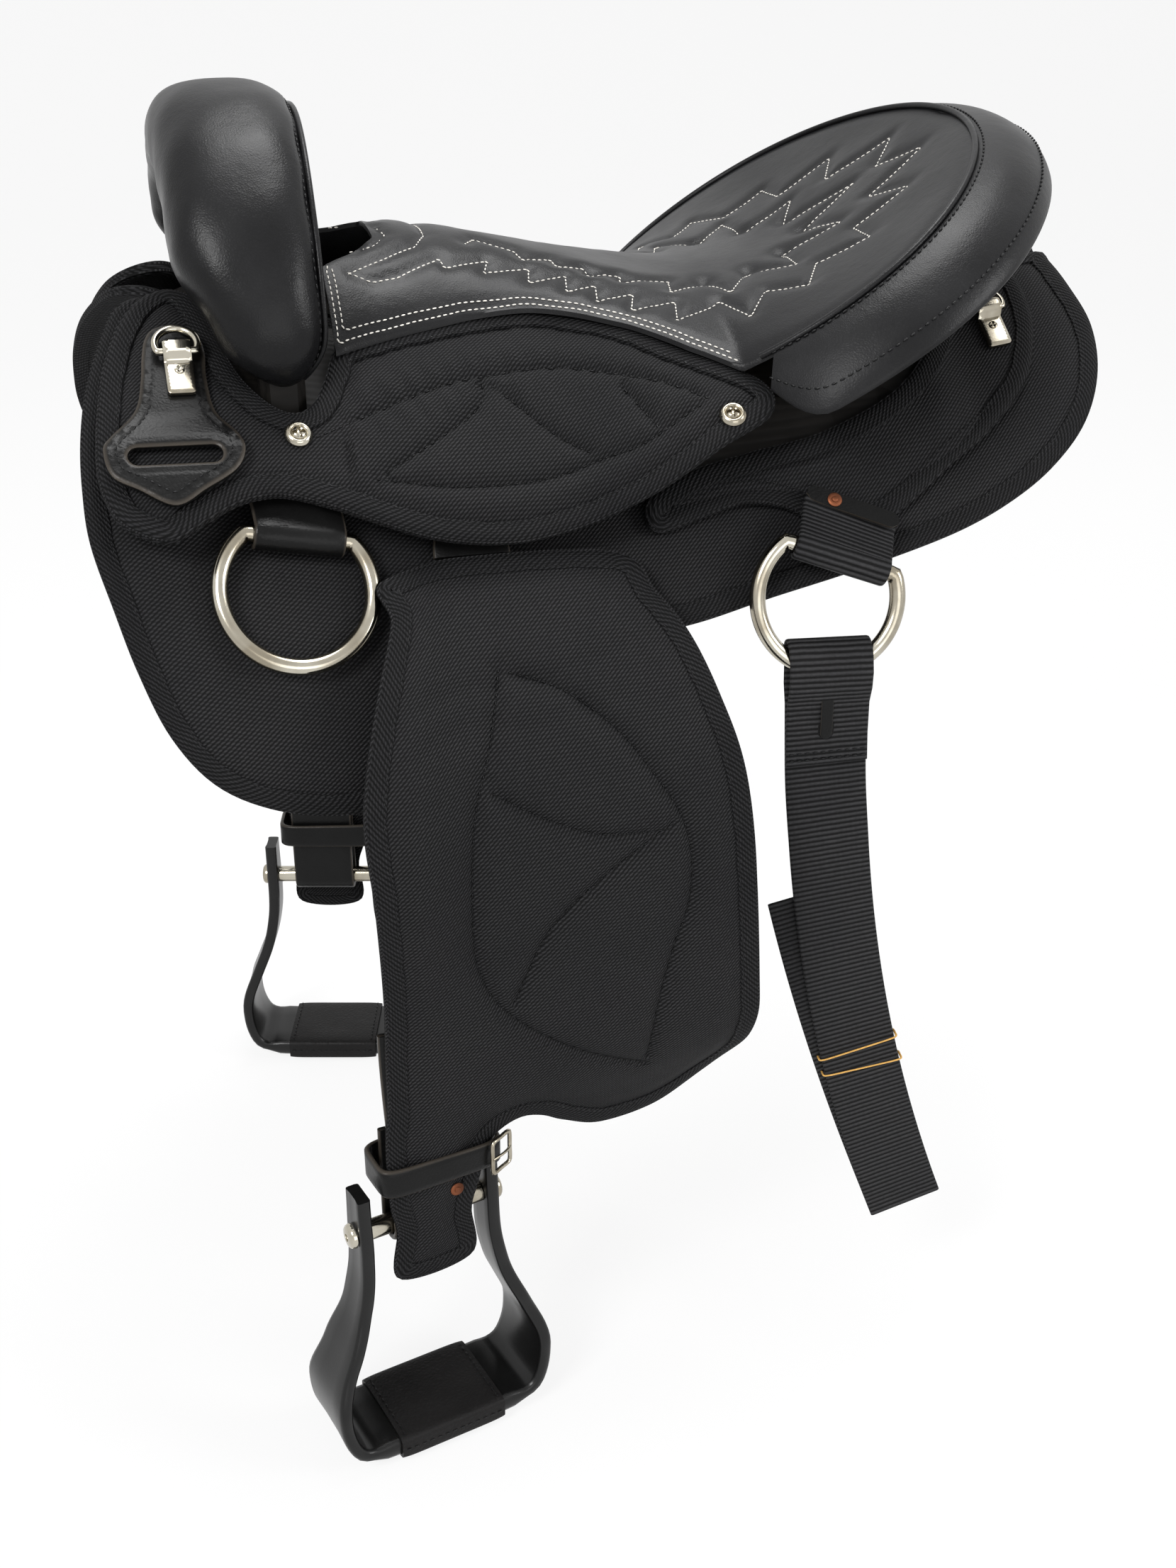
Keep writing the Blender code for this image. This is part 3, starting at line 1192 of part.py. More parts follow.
def make_stirrup(side, tag):
    low = -(TREAD_DROP + TREAD_THICK / 2)
    half = [Vector((a, c)) for a, c in LEG_PATH] + [Vector((TREAD_HALF - 0.006, low + 0.001)),
                                                   Vector((TREAD_HALF - 0.022, low))]
    path = [Vector((-p.x, p.y)) for p in half] + [Vector((0.0, low))] + list(reversed(half))
    count = len(path)
    bm = bmesh.new()
    rings = []
    for i, p in enumerate(path):
        along = (path[min(i + 1, count - 1)] - path[max(i - 1, 0)]).normalized()
        inward = Vector((-along.y, along.x))
        depth = between(LEG_DEPTHS, p.y)[0]
        thick = LEG_THICK + (TREAD_THICK - LEG_THICK) * smooth((0.054 - abs(p.x)) / 0.010) * (p.y < -0.12)
        bevel = 0.0020
        corners = ((-1, -1, 0, 1), (-1, -1, 1, 0), (1, -1, -1, 0), (1, -1, 0, 1),
                   (1, 1, 0, -1), (1, 1, -1, 0), (-1, 1, 1, 0), (-1, 1, 0, -1))
        ring = []
        for u, v, du, dv in corners:
            out = u * depth / 2 + du * bevel
            side_way = v * thick / 2 + dv * bevel
            q = p + inward * side_way
            ring.append(stirrup_point(q.x, out, q.y, side))
        rings.append(ring)
    skin_of_rings(bm, rings, False)
    frame = finish("stirrup_frame_" + tag, bm, STIRRUP_BLACK)
    axis = (stirrup_point(1, 0, 0, side) - stirrup_point(0, 0, 0, side)).normalized()
    centre = stirrup_point(0, 0, 0, side)
    outside = NECK_HALF + LEG_THICK / 2 + GAP
    room = turned("bolt_room", ((BOLT_RADIUS + GAP, -0.08), (BOLT_RADIUS + GAP, 0.08)), centre, axis,
                  NICKEL, sides=12)
    cut_by(frame, room)
    inner = NECK_HALF - LEG_THICK / 2 - GAP * 2
    profile = ((0.002, -outside - 0.0045), (HEAD_RADIUS * 0.7, -outside - 0.0045),
               (HEAD_RADIUS, -outside - 0.002), (HEAD_RADIUS, -outside), (BOLT_RADIUS, -outside),
               (BOLT_RADIUS, -inner), (SLEEVE_RADIUS, -inner), (SLEEVE_RADIUS, inner),
               (BOLT_RADIUS, inner), (BOLT_RADIUS, outside), (HEAD_RADIUS, outside),
               (HEAD_RADIUS, outside + 0.002), (HEAD_RADIUS * 0.7, outside + 0.0045),
               (0.002, outside + 0.0045))
    turned("neck_bolt_" + tag, profile, centre, axis, NICKEL, sides=12)
    bm = bmesh.new()
    reach = TREAD_HALF - 0.0235
    loops = []
    for grow in (GAP, GAP + TREAD_COVER):
        for a in (-reach, 0.0, reach):
            deep = TREAD_DEPTH / 2 + grow
            tall = TREAD_THICK / 2 + grow
            loops.append([bm.verts.new(stirrup_point(a, b * deep - db, low + c * tall - dc, side))
                          for b, c, db, dc in ((-1, -1, -0.002, 0), (1, -1, 0.002, 0), (1, -1, 0, -0.002),
                                               (1, 1, 0, 0.002), (1, 1, 0.002, 0), (-1, 1, -0.002, 0),
                                               (-1, 1, 0, 0.002), (-1, -1, 0, -0.002))])
    order = [loops[0], loops[1], loops[2], loops[5], loops[4], loops[3]]
    for p, q in zip(order, order[1:] + order[:1]):
        for i in range(8):
            j = (i + 1) % 8
            bm.faces.new((p[i], p[j], q[j], q[i]))
    finish("tread_cover_" + tag, bm, STRAP_LEATHER)


def strap_point(drop, offset):
    """Point of the tie strap: drop below the dee's lowest bar, offset outwards from it."""
    centre, bar, hang = rear_dee_frame(-1)
    across = strap_across()
    down = (bar * -bar.z + hang * -hang.z).normalized()
    low = centre + hang * REAR_CHORD + down * DEE_RADIUS
    drift = STRAP_DRIFT * (max(drop, 0.0) / STRAP_LENGTH) ** 2
    return low + across * drift + Vector((across.y, -across.x, 0.0)) * offset - Vector((0, 0, drop))


def strap_wide(drop):
    """Direction across the tie strap where it hangs at this drop."""
    slope = 2 * STRAP_DRIFT * max(drop, 0.0) / STRAP_LENGTH ** 2
    return (strap_across() + Vector((0, 0, slope))).normalized()


def strap_across():
    """Level direction across the tie strap, along the lowest part of the rear dee."""
    centre, bar, hang = rear_dee_frame(-1)
    level = bar.cross(hang).cross(Vector((0.0, 0.0, 1.0))).normalized()
    return level if level.x > 0 else -level


def make_tie_strap():
    reach = DEE_BAR / 2 + STRAP_ROOM + STRAP_THICK / 2
    near = STRAP_THICK / 2 + GAP
    line = [(STRAP_LOOP, -near), (STRAP_LOOP * 0.7, -near), (STRAP_LOOP * 0.35, -near - 0.0014),
            (0.010, -reach * 0.90), (0.0, -reach)]
    skew = math.tan(math.radians(REAR_DEE_LEAN))
    for turn in (0, 36, 72, 108, 144, 180):
        t = math.radians(turn)
        drop = -STRAP_RISE - reach * math.sin(t)
        line.append((drop, drop * skew - reach * math.cos(t)))
    line += [(0.0, reach), (0.010, reach * 0.90), (STRAP_LOOP * 0.35, near + 0.0014), (STRAP_LOOP * 0.7, near)]
    for i in range(12):
        line.append((STRAP_LOOP + (STRAP_LENGTH - 0.01 - STRAP_LOOP) * i / 11, near))
    fold = near + STRAP_THICK / 2
    turn_size = (near + fold) / 2
    for turn in (90, 45, 0, -45, -90):
        t = math.radians(turn)
        line.append((STRAP_LENGTH - turn_size + turn_size * math.cos(t),
                     (near - fold) / 2 + turn_size * math.sin(t)))
    for i in range(1, 7):
        line.append((STRAP_LENGTH - 0.01 - (STRAP_TAIL - 0.01) * i / 6, -fold))
    path = [strap_point(drop, offset) for drop, offset in line]
    ribbon("tie_strap", path, [strap_wide(drop) for drop, offset in line], STRAP_WIDTH, STRAP_THICK,
           WEBBING)
    for name, drop in zip(("upper", "lower"), BAND_DROPS):
        half = STRAP_WIDTH / 2 + BAND_SIZE / 2 + 0.0006
        deep = (near + fold) / 2 + STRAP_THICK / 2 + BAND_SIZE / 2 + 0.0010
        loop = []
        for i in range(16):
            t = 2 * math.pi * (i + 0.5) / 16
            c = math.copysign(abs(math.cos(t)) ** 0.25, math.cos(t))
            s = math.copysign(abs(math.sin(t)) ** 0.25, math.sin(t))
            loop.append(strap_point(drop, deep * s + (near - fold) / 2) + strap_wide(drop) * half * c)
        rod("rubber_band_" + name, loop, BAND_SIZE / 2, RUBBER, sides=5, closed=True)


def main():
    for old in list(bpy.data.objects):
        bpy.data.objects.remove(old)
    make_seat()
    make_ground_seat()
    make_cantle()
    make_cantle_roll()
    make_fork()
    for side, tag in ((-1, "left"), (1, "right")):
        make_tree_bars(side, tag)
        make_lower_skirt(side, tag)
        make_rear_skirt(side, tag)
        make_jockey(side, tag)
        make_rigging(side, tag)
        make_tab(side, tag)
        make_small_clip(side, tag, True)
        make_small_clip(side, tag, False)
        make_screws(side, tag)
        make_fender(side, tag)
        make_leathers(side, tag)
        make_hobble(side, tag)
        make_stirrup(side, tag)
    make_tie_strap()


main()
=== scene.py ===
"""Looks of an endurance saddle: leather, padded nylon, white stitching and nickel on its tree.

Metres, front towards -X, near side towards -Y, up +Z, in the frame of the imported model.
"""

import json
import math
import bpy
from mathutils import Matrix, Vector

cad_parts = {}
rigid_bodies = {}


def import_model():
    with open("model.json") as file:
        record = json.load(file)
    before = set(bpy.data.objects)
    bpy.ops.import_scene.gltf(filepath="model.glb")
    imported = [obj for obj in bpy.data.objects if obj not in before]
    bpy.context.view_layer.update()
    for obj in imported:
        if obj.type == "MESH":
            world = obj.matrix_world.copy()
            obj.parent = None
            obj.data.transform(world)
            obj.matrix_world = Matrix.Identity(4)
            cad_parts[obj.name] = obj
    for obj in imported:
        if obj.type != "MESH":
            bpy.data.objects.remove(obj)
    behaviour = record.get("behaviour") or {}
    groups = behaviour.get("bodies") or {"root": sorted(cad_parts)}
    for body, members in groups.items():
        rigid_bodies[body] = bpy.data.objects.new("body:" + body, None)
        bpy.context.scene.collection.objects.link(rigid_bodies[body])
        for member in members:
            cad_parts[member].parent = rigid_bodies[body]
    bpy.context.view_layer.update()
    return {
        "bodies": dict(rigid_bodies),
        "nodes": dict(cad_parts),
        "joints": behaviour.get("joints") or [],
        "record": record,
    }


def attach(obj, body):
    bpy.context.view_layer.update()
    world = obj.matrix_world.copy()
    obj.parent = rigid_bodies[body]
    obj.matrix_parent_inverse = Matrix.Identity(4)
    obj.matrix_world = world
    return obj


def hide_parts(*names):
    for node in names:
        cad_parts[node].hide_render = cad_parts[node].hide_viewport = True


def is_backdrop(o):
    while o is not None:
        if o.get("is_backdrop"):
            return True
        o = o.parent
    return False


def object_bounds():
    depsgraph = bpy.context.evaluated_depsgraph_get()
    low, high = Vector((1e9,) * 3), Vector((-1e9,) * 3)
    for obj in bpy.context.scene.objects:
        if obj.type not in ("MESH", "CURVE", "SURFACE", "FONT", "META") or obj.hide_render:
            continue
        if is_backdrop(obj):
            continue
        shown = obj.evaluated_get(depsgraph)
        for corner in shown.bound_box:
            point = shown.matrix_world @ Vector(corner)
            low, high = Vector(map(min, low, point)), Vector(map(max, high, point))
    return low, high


bl_info = {
    "name": "Endurance saddle",
    "version": (1, 0, 0),
    "blender": (4, 5, 0),
    "location": "3D View > Sidebar > Saddle",
    "description": "Makes the leather, padding, stitching and hardware of an endurance saddle",
    "category": "Add Mesh",
}

import bmesh
import bpy
import numpy as np
from mathutils import Matrix, Vector
from mathutils.geometry import delaunay_2d_cdt

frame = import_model()

# Sizes shared with the solids, in metres
GAP = 0.0003
LAYER = 0.0009
SWING_GAP = 0.0007
BACK_TOP_SLOPE = 20.0
BACK_SIDE_SLOPE = 76.0
BACK_ARC = 0.33
BACK_MID = 0.018
BACK_REACH = 0.32
FRONT_RISE = 0.045
REAR_RISE = 0.030
BAR_FRONT = -0.262
BAR_REAR = 0.205
BAR_INNER = 0.036
BAR_OUTER = 0.150
BAR_THICK = 0.016
BAR_FADE = 0.045
SKIRT_THICK = 0.009
BINDING_THICK = 0.0065
REAR_SKIRT_THICK = 0.006
JOCKEY_TOP_Y = 0.055
JOCKEY_TOP_Z = 0.0555
JOCKEY_ARC = 0.17
JOCKEY_THICK = 0.0075
JOCKEY_SLOPES = ((-0.30, 27.0, 50.0), (-0.06, 30.0, 62.0), (0.05, 15.0, 46.0))
SEAT_FRONT = -0.174
HAND_HOLE_REAR = -0.140
HAND_HOLE_HALF = 0.045
SEAT_LEATHER = 0.0035
SEAT_DRAWN = 0.0015
SEAT_FOAM = 0.012
RIM_HALF = 0.167
RIM_CENTRE = 0.108
RIM_REAR = 0.230
RIM_START = 0.050
RIM_TILT = 33.3
RIM_LOW = 0.022
ROLL_WIDTH = 0.048
ROLL_CROWN = 0.006
ROLL_THICK = 0.015
CANTLE_LEATHER = 0.004
ARCH_HALF = 0.104
ARCH_BASE = 0.040
ARCH_RISE = 0.093
ARCH_END = 103.0
COVER_OUT = 0.034
COVER_IN = 0.018
DEE_RADIUS = 0.0420
DEE_BAR = 0.0095
FRONT_CHORD = 0.0300
REAR_CHORD = 0.0245
FRONT_DEE_X = -0.208
FRONT_DEE_U = 0.181
REAR_DEE_X = 0.103
REAR_DEE_U = 0.205
REAR_DEE_TURN = 27.0
REAR_DEE_STAND = 0.0060
REAR_DEE_LEAN = 17.0
REAR_DEE_SWING = 3.0
RIG_STRAP = 0.0035
FRONT_STRAP_WIDTH = 0.050
REAR_STRAP_WIDTH = 0.058
SMALL_RADIUS = 0.0115
SMALL_CHORD = 0.0050
SMALL_BAR = 0.0042
CLIP_WIDTH = 0.0150
CLIP_LENGTH = 0.036
CLIP_THICK = 0.0025
TAB_THICK = 0.0040
SLOT_LENGTH = 0.050
SLOT_WIDTH = 0.0112
CUP_RADIUS = 0.0078
CUP_HEIGHT = 0.0032
SCREW_RADIUS = 0.0042
SCREW_LIFT = 0.0006
SWING_X = -0.112
HANG_Y = 0.159
HANG_Z = -0.0780
FENDER_THICK = 0.0075
FENDER_START_SLOPE = 42.0
FENDER_ARC = 0.1975
FENDER_FLARE = 0.0145
NECK_TURN = 15.0
LEATHER_WIDTH = 0.056
LEATHER_THICK = 0.0040
LEATHER_TOP = 0.085
LEATHER_END = 0.156
STIRRUP_X = -0.167
BOLT_Z = -0.474
BOLT_RADIUS = 0.0035
SLEEVE_RADIUS = 0.0065
HEAD_RADIUS = 0.0080
NECK_HALF = 0.0430
LEG_THICK = 0.0085
LEG_DEPTH = 0.024
TREAD_HALF = 0.056
TREAD_DROP = 0.148
TREAD_DEPTH = 0.060
TREAD_THICK = 0.013
BELLY_HALF = 0.070
TREAD_COVER = 0.0025
STRAP_WIDTH = 0.050
STRAP_THICK = 0.0024
STRAP_LENGTH = 0.400
STRAP_TAIL = 0.185
STRAP_RISE = 0.0086
STRAP_DRIFT = 0.077
STRAP_ROOM = 0.0022
BAND_SIZE = 0.0016
BAND_DROPS = (0.268, 0.283)
BACK_TURN = math.radians(BACK_SIDE_SLOPE - BACK_TOP_SLOPE) / BACK_ARC
BACK_START = math.radians(BACK_TOP_SLOPE)
SIDES = ((-1, "left"), (1, "right"))


def linear(colour):
    """Linear RGBA of an sRGB hex colour."""
    parts = [int(colour[i:i + 2], 16) / 255.0 for i in (1, 3, 5)]
    return tuple(c / 12.92 if c <= 0.04045 else ((c + 0.055) / 1.055) ** 2.4 for c in parts) + (1.0,
                                                                                                )


def metres(*points):
    """Points written in millimetres, as metres."""
    return tuple((x / 1000.0, y / 1000.0) for x, y in points)


class SaddleSizes(bpy.types.PropertyGroup):
    """Sizes of the sewn and padded work."""
    stitch_length: bpy.props.FloatProperty(
        name="Stitch", description="Length of one white stitch on the seat",
        default=0.0028, unit="LENGTH")
    stitch_pitch: bpy.props.FloatProperty(
        name="Stitch spacing", description="From one white stitch to the next",
        default=0.0038, unit="LENGTH")
    stitch_width: bpy.props.FloatProperty(
        name="Thread", description="Thickness of the white thread",
        default=0.0009, unit="LENGTH")
    quilt_pitch: bpy.props.FloatProperty(
        name="Quilting spacing", description="From one black quilting stitch to the next",
        default=0.0040, unit="LENGTH")
    quilt_depth: bpy.props.FloatProperty(
        name="Quilting depth", description="How far a quilted seam sinks into the padding",
        default=0.0030, unit="LENGTH")
    seat_tuft: bpy.props.FloatProperty(
        name="Seat pattern depth", description="How far the stitched pattern sinks into the seat",
        default=0.0017, unit="LENGTH")
    binding_width: bpy.props.FloatProperty(
        name="Binding", description="Width of the tape that binds the panels",
        default=0.0125, unit="LENGTH")


class SaddleColours(bpy.types.PropertyGroup):
    """Colours of the materials."""
    leather: bpy.props.FloatVectorProperty(
        name="Leather", description="Charcoal leather of the seat and pommel",
        size=4, subtype="COLOR", min=0.0, max=1.0, default=linear("#181819"))
    nylon: bpy.props.FloatVectorProperty(
        name="Nylon", description="Woven nylon of the padded panels",
        size=4, subtype="COLOR", min=0.0, max=1.0, default=linear("#1a1a1b"))
    binding: bpy.props.FloatVectorProperty(
        name="Binding", description="Tape round the panels",
        size=4, subtype="COLOR", min=0.0, max=1.0, default=linear("#151516"))
    thread: bpy.props.FloatVectorProperty(
        name="Thread", description="White ornamental thread",
        size=4, subtype="COLOR", min=0.0, max=1.0, default=linear("#e2ded6"))
    metal: bpy.props.FloatVectorProperty(
        name="Nickel", description="Warm nickel plate of the hardware",
        size=4, subtype="COLOR", min=0.0, max=1.0, default=linear("#bdb8aa"))


def sizes():
    return bpy.context.scene.saddle_sizes


def colours():
    return bpy.context.scene.saddle_colours


# ---------------------------------------------------------------- materials

def add_node(tree, kind, values=None, links=None, **settings):
    """Add a node with its settings, socket values and incoming links."""
    made = tree.nodes.new(kind)
    for key, value in settings.items():
        setattr(made, key, value)
    for key, value in (values or {}).items():
        made.inputs[key].default_value = value
    for key, source in (links or {}).items():
        tree.links.new(source, made.inputs[key])
    return made


def new_material(name, colour, roughness, shine, metallic=0.0):
    """A principled material and its tree, shader and coordinates."""
    stuff = bpy.data.materials.new(name)
    stuff.use_nodes = True
    stuff.diffuse_color = colour
    tree = stuff.node_tree
    shader = tree.nodes["Principled BSDF"]
    shader.inputs["Base Color"].default_value = colour
    shader.inputs["Roughness"].default_value = roughness
    shader.inputs["Metallic"].default_value = metallic
    shader.inputs["Specular IOR Level"].default_value = shine
    coords = add_node(tree, "ShaderNodeTexCoord")
    return stuff, tree, shader, coords


def spread(tree, factor, low, high, start=0.0, end=1.0):
    """Colour ramp from low to high between two values of the factor."""
    ramp = add_node(tree, "ShaderNodeValToRGB", links={"Fac": factor})
    ramp.color_ramp.elements[0].position = start
    ramp.color_ramp.elements[0].color = low
    ramp.color_ramp.elements[1].position = end
    ramp.color_ramp.elements[1].color = high
    return ramp.outputs["Color"]


def noise(tree, place, scale, detail, roughness=0.5):
    """Noise over a place, as a factor."""
    made = add_node(tree, "ShaderNodeTexNoise",
                    {"Scale": scale, "Detail": detail, "Roughness": roughness},
                    {"Vector": place})
    return made.outputs["Fac"]


def bump(tree, shader, height, strength, distance, before=None):
    """Bump of a height on the shader, over an earlier bump if one is given."""
    links = {"Height": height}
    if before:
        links["Normal"] = before
    made = add_node(tree, "ShaderNodeBump", {"Strength": strength, "Distance": distance}, links)
    tree.links.new(made.outputs["Normal"], shader.inputs["Normal"])
    return made.outputs["Normal"]


def shade(colour, share):
    """A colour made darker or lighter by a share, still opaque."""
    return tuple(min(1.0, c * share) for c in colour[:3]) + (1.0,)


def leather_material(name, colour, roughness, grain, depth, edge=None):
    """Grained leather: pebbles of the grain size, wrinkles, and patches where wear polishes it; the
    crevices between the pebbles are painted darker as painted shade.
    """
    stuff, tree, shader, coords = new_material(name, colour, roughness, 0.15)
    place = coords.outputs["Object"]
    pebbles = add_node(tree, "ShaderNodeTexVoronoi", {"Scale": 1.0 / grain, "Randomness": 1.0},
                       {"Vector": place}, feature="DISTANCE_TO_EDGE")
    wrinkles = noise(tree, place, 0.22 / grain, 5.0, 0.6)
    patches = noise(tree, place, 14.0, 3.0, 0.55)
    first = spread(tree, patches, shade(colour, 0.74), shade(colour, 1.30), 0.34, 0.68)
    # Painted shade: the colour is darkened along the crevices between the grain's pebbles
    creases = spread(tree, pebbles.outputs["Distance"], (0.62, 0.62, 0.62, 1), (1, 1, 1, 1), 0.0,
                     0.12)
    mixed = add_node(tree, "ShaderNodeMix", {"Factor": 0.55}, {"A": first, "B": creases},
                     data_type="RGBA", blend_type="MULTIPLY")
    last = mixed.outputs["Result"]
    if edge:
        worn = add_node(tree, "ShaderNodeAttribute", attribute_name="edge")
        share = spread(tree, worn.outputs["Fac"], (1, 1, 1, 1), (0, 0, 0, 1), 0.06, 0.34)
        both = add_node(tree, "ShaderNodeMath", links={0: share, 1: patches},
                        operation="MULTIPLY")
        rubbed = add_node(tree, "ShaderNodeMix", {"B": edge},
                          {"Factor": both.outputs[0], "A": last},
                          data_type="RGBA")
        last = rubbed.outputs["Result"]
    tree.links.new(last, shader.inputs["Base Color"])
    gloss = spread(tree, patches, (roughness * 0.8,) * 3 + (1,),
                   (min(1.0, roughness * 1.28),) * 3 + (1,), 0.3, 0.7)
    tree.links.new(gloss, shader.inputs["Roughness"])
    fine = bump(tree, shader, pebbles.outputs["Distance"], 0.55, depth)
    bump(tree, shader, wrinkles, 0.35, depth * 3.0, fine)
    return stuff


def cloth_material(name, colour, rib, pick, depth, lift, slope=1.0, roughness=0.78):
    """Woven cloth on the piece's own map: twill ribs on the slant, crossed by picks; the raised weave
    is painted lighter by the share lift and its hollows darker, as painted highlight and painted
    shade.
    """
    stuff, tree, shader, coords = new_material(name, colour, roughness, 0.10)
    flat = coords.outputs["UV"]
    if slope:
        kind, scale = "DIAGONAL", 0.628 / rib
    else:
        kind, scale = "X", 0.314 / rib
    ribs = add_node(tree, "ShaderNodeTexWave", {"Scale": scale, "Distortion": 0.5, "Detail": 1.0},
                    {"Vector": flat}, wave_type="BANDS", bands_direction=kind)
    picks = add_node(tree, "ShaderNodeTexWave",
                     {"Scale": 0.314 / pick, "Distortion": 0.4, "Detail": 1.0},
                     {"Vector": flat}, wave_type="BANDS", bands_direction="Y")
    share = 1.0 if slope else 0.2
    softer = add_node(tree, "ShaderNodeMath", {1: share, 2: 1.0 - share}, {0: picks.outputs["Fac"]},
                      operation="MULTIPLY_ADD")
    woven = add_node(tree, "ShaderNodeMath", links={0: ribs.outputs["Fac"], 1: softer.outputs[0]},
                     operation="MULTIPLY")
    height = add_node(tree, "ShaderNodeMath", {1: 0.5},
                      {0: ribs.outputs["Fac"], 2: woven.outputs[0]},
                      operation="MULTIPLY_ADD")
    dust = noise(tree, coords.outputs["Object"], 11.0, 4.0, 0.6)
    fuzz = noise(tree, coords.outputs["Object"], 420.0, 2.0)
    # Painted highlight and shade: from 0.42 of the colour in the hollows of the weave to lift times
    # it on the raised ribs
    first = spread(tree, height.outputs[0], shade(colour, 0.42), shade(colour, lift), 0.15, 1.25)
    second = spread(tree, dust, (0.80, 0.80, 0.80, 1), (1, 0.99, 0.97, 1), 0.32, 0.66)
    third = add_node(tree, "ShaderNodeMix", {"Factor": 1.0}, {"A": first, "B": second},
                     data_type="RGBA", blend_type="MULTIPLY")
    specks = spread(tree, fuzz, (0.82, 0.82, 0.82, 1), (1, 1, 1, 1), 0.35, 0.65)
    fourth = add_node(tree, "ShaderNodeMix", {"Factor": 1.0},
                      {"A": third.outputs["Result"], "B": specks},
                      data_type="RGBA", blend_type="MULTIPLY")
    tree.links.new(fourth.outputs["Result"], shader.inputs["Base Color"])
    bump(tree, shader, height.outputs[0], 0.8, depth)
    return stuff


def metal_material(name, colour, roughness, tarnish):
    """Plated or bare metal: soft gloss, dull patches and fine scratches."""
    stuff, tree, shader, coords = new_material(name, colour, roughness, 0.5, 1.0)
    place = coords.outputs["Object"]
    patches = noise(tree, place, 35.0, 3.0)
    lines = add_node(tree, "ShaderNodeMapping", {"Scale": (900.0, 240.0, 900.0)}, {"Vector": place})
    scratches = noise(tree, lines.outputs["Vector"], 1.0, 2.0)
    tone = spread(tree, patches, tarnish, colour, 0.36, 0.60)
    tree.links.new(tone, shader.inputs["Base Color"])
    gloss = spread(tree, patches, (roughness * 1.7,) * 3 + (1,),
                   (roughness * 0.8,) * 3 + (1,), 0.35, 0.65)
    tree.links.new(gloss, shader.inputs["Roughness"])
    bump(tree, shader, scratches, 0.10, 0.0001)
    return stuff


def thread_material(name, colour, roughness):
    """Twisted thread: strands wind round it about once every millimetre and a half, with the grooves
    between them painted darker as painted shade.
    """
    stuff, tree, shader, coords = new_material(name, colour, roughness, 0.20)
    strands = add_node(tree, "ShaderNodeTexWave", {"Scale": 420.0, "Distortion": 1.0},
                       {"Vector": coords.outputs["Object"]}, wave_type="BANDS",
                       bands_direction="DIAGONAL")
    # Painted shade: the thread's colour falls to 0.72 of itself between the strands
    tone = spread(tree, strands.outputs["Fac"], shade(colour, 0.72), colour, 0.0, 0.6)
    tree.links.new(tone, shader.inputs["Base Color"])
    bump(tree, shader, strands.outputs["Fac"], 0.4, 0.0002)
    return stuff


def plain_material(name, colour, roughness, scale, change, depth):
    """Moulded, foamed or sawn stuff: noise of one scale in its colour and its surface."""
    stuff, tree, shader, coords = new_material(name, colour, roughness, 0.30)
    speckle = noise(tree, coords.outputs["Object"], scale, 5.0, 0.6)
    tone = spread(tree, speckle, shade(colour, 1.0 - change), shade(colour, 1.0 + change),
                  0.32, 0.68)
    tree.links.new(tone, shader.inputs["Base Color"])
    bump(tree, shader, speckle, 0.5, depth)
    return stuff


def wood_material(name, colour):
    """Sealed wood: growth rings about 4 mm apart, stretched along the bars."""
    stuff, tree, shader, coords = new_material(name, colour, 0.55, 0.15)
    along = add_node(tree, "ShaderNodeMapping", {"Scale": (0.12, 1.0, 1.0)},
                     {"Vector": coords.outputs["Object"]})
    rings = add_node(tree, "ShaderNodeTexWave", {"Scale": 78.0, "Distortion": 6.0, "Detail": 3.0},
                     {"Vector": along.outputs["Vector"]}, wave_type="BANDS", bands_direction="Y")
    tone = spread(tree, rings.outputs["Fac"], shade(colour, 0.62), colour, 0.1, 0.8)
    tree.links.new(tone, shader.inputs["Base Color"])
    bump(tree, shader, rings.outputs["Fac"], 0.3, 0.0003)
    return stuff


STUFF = {}


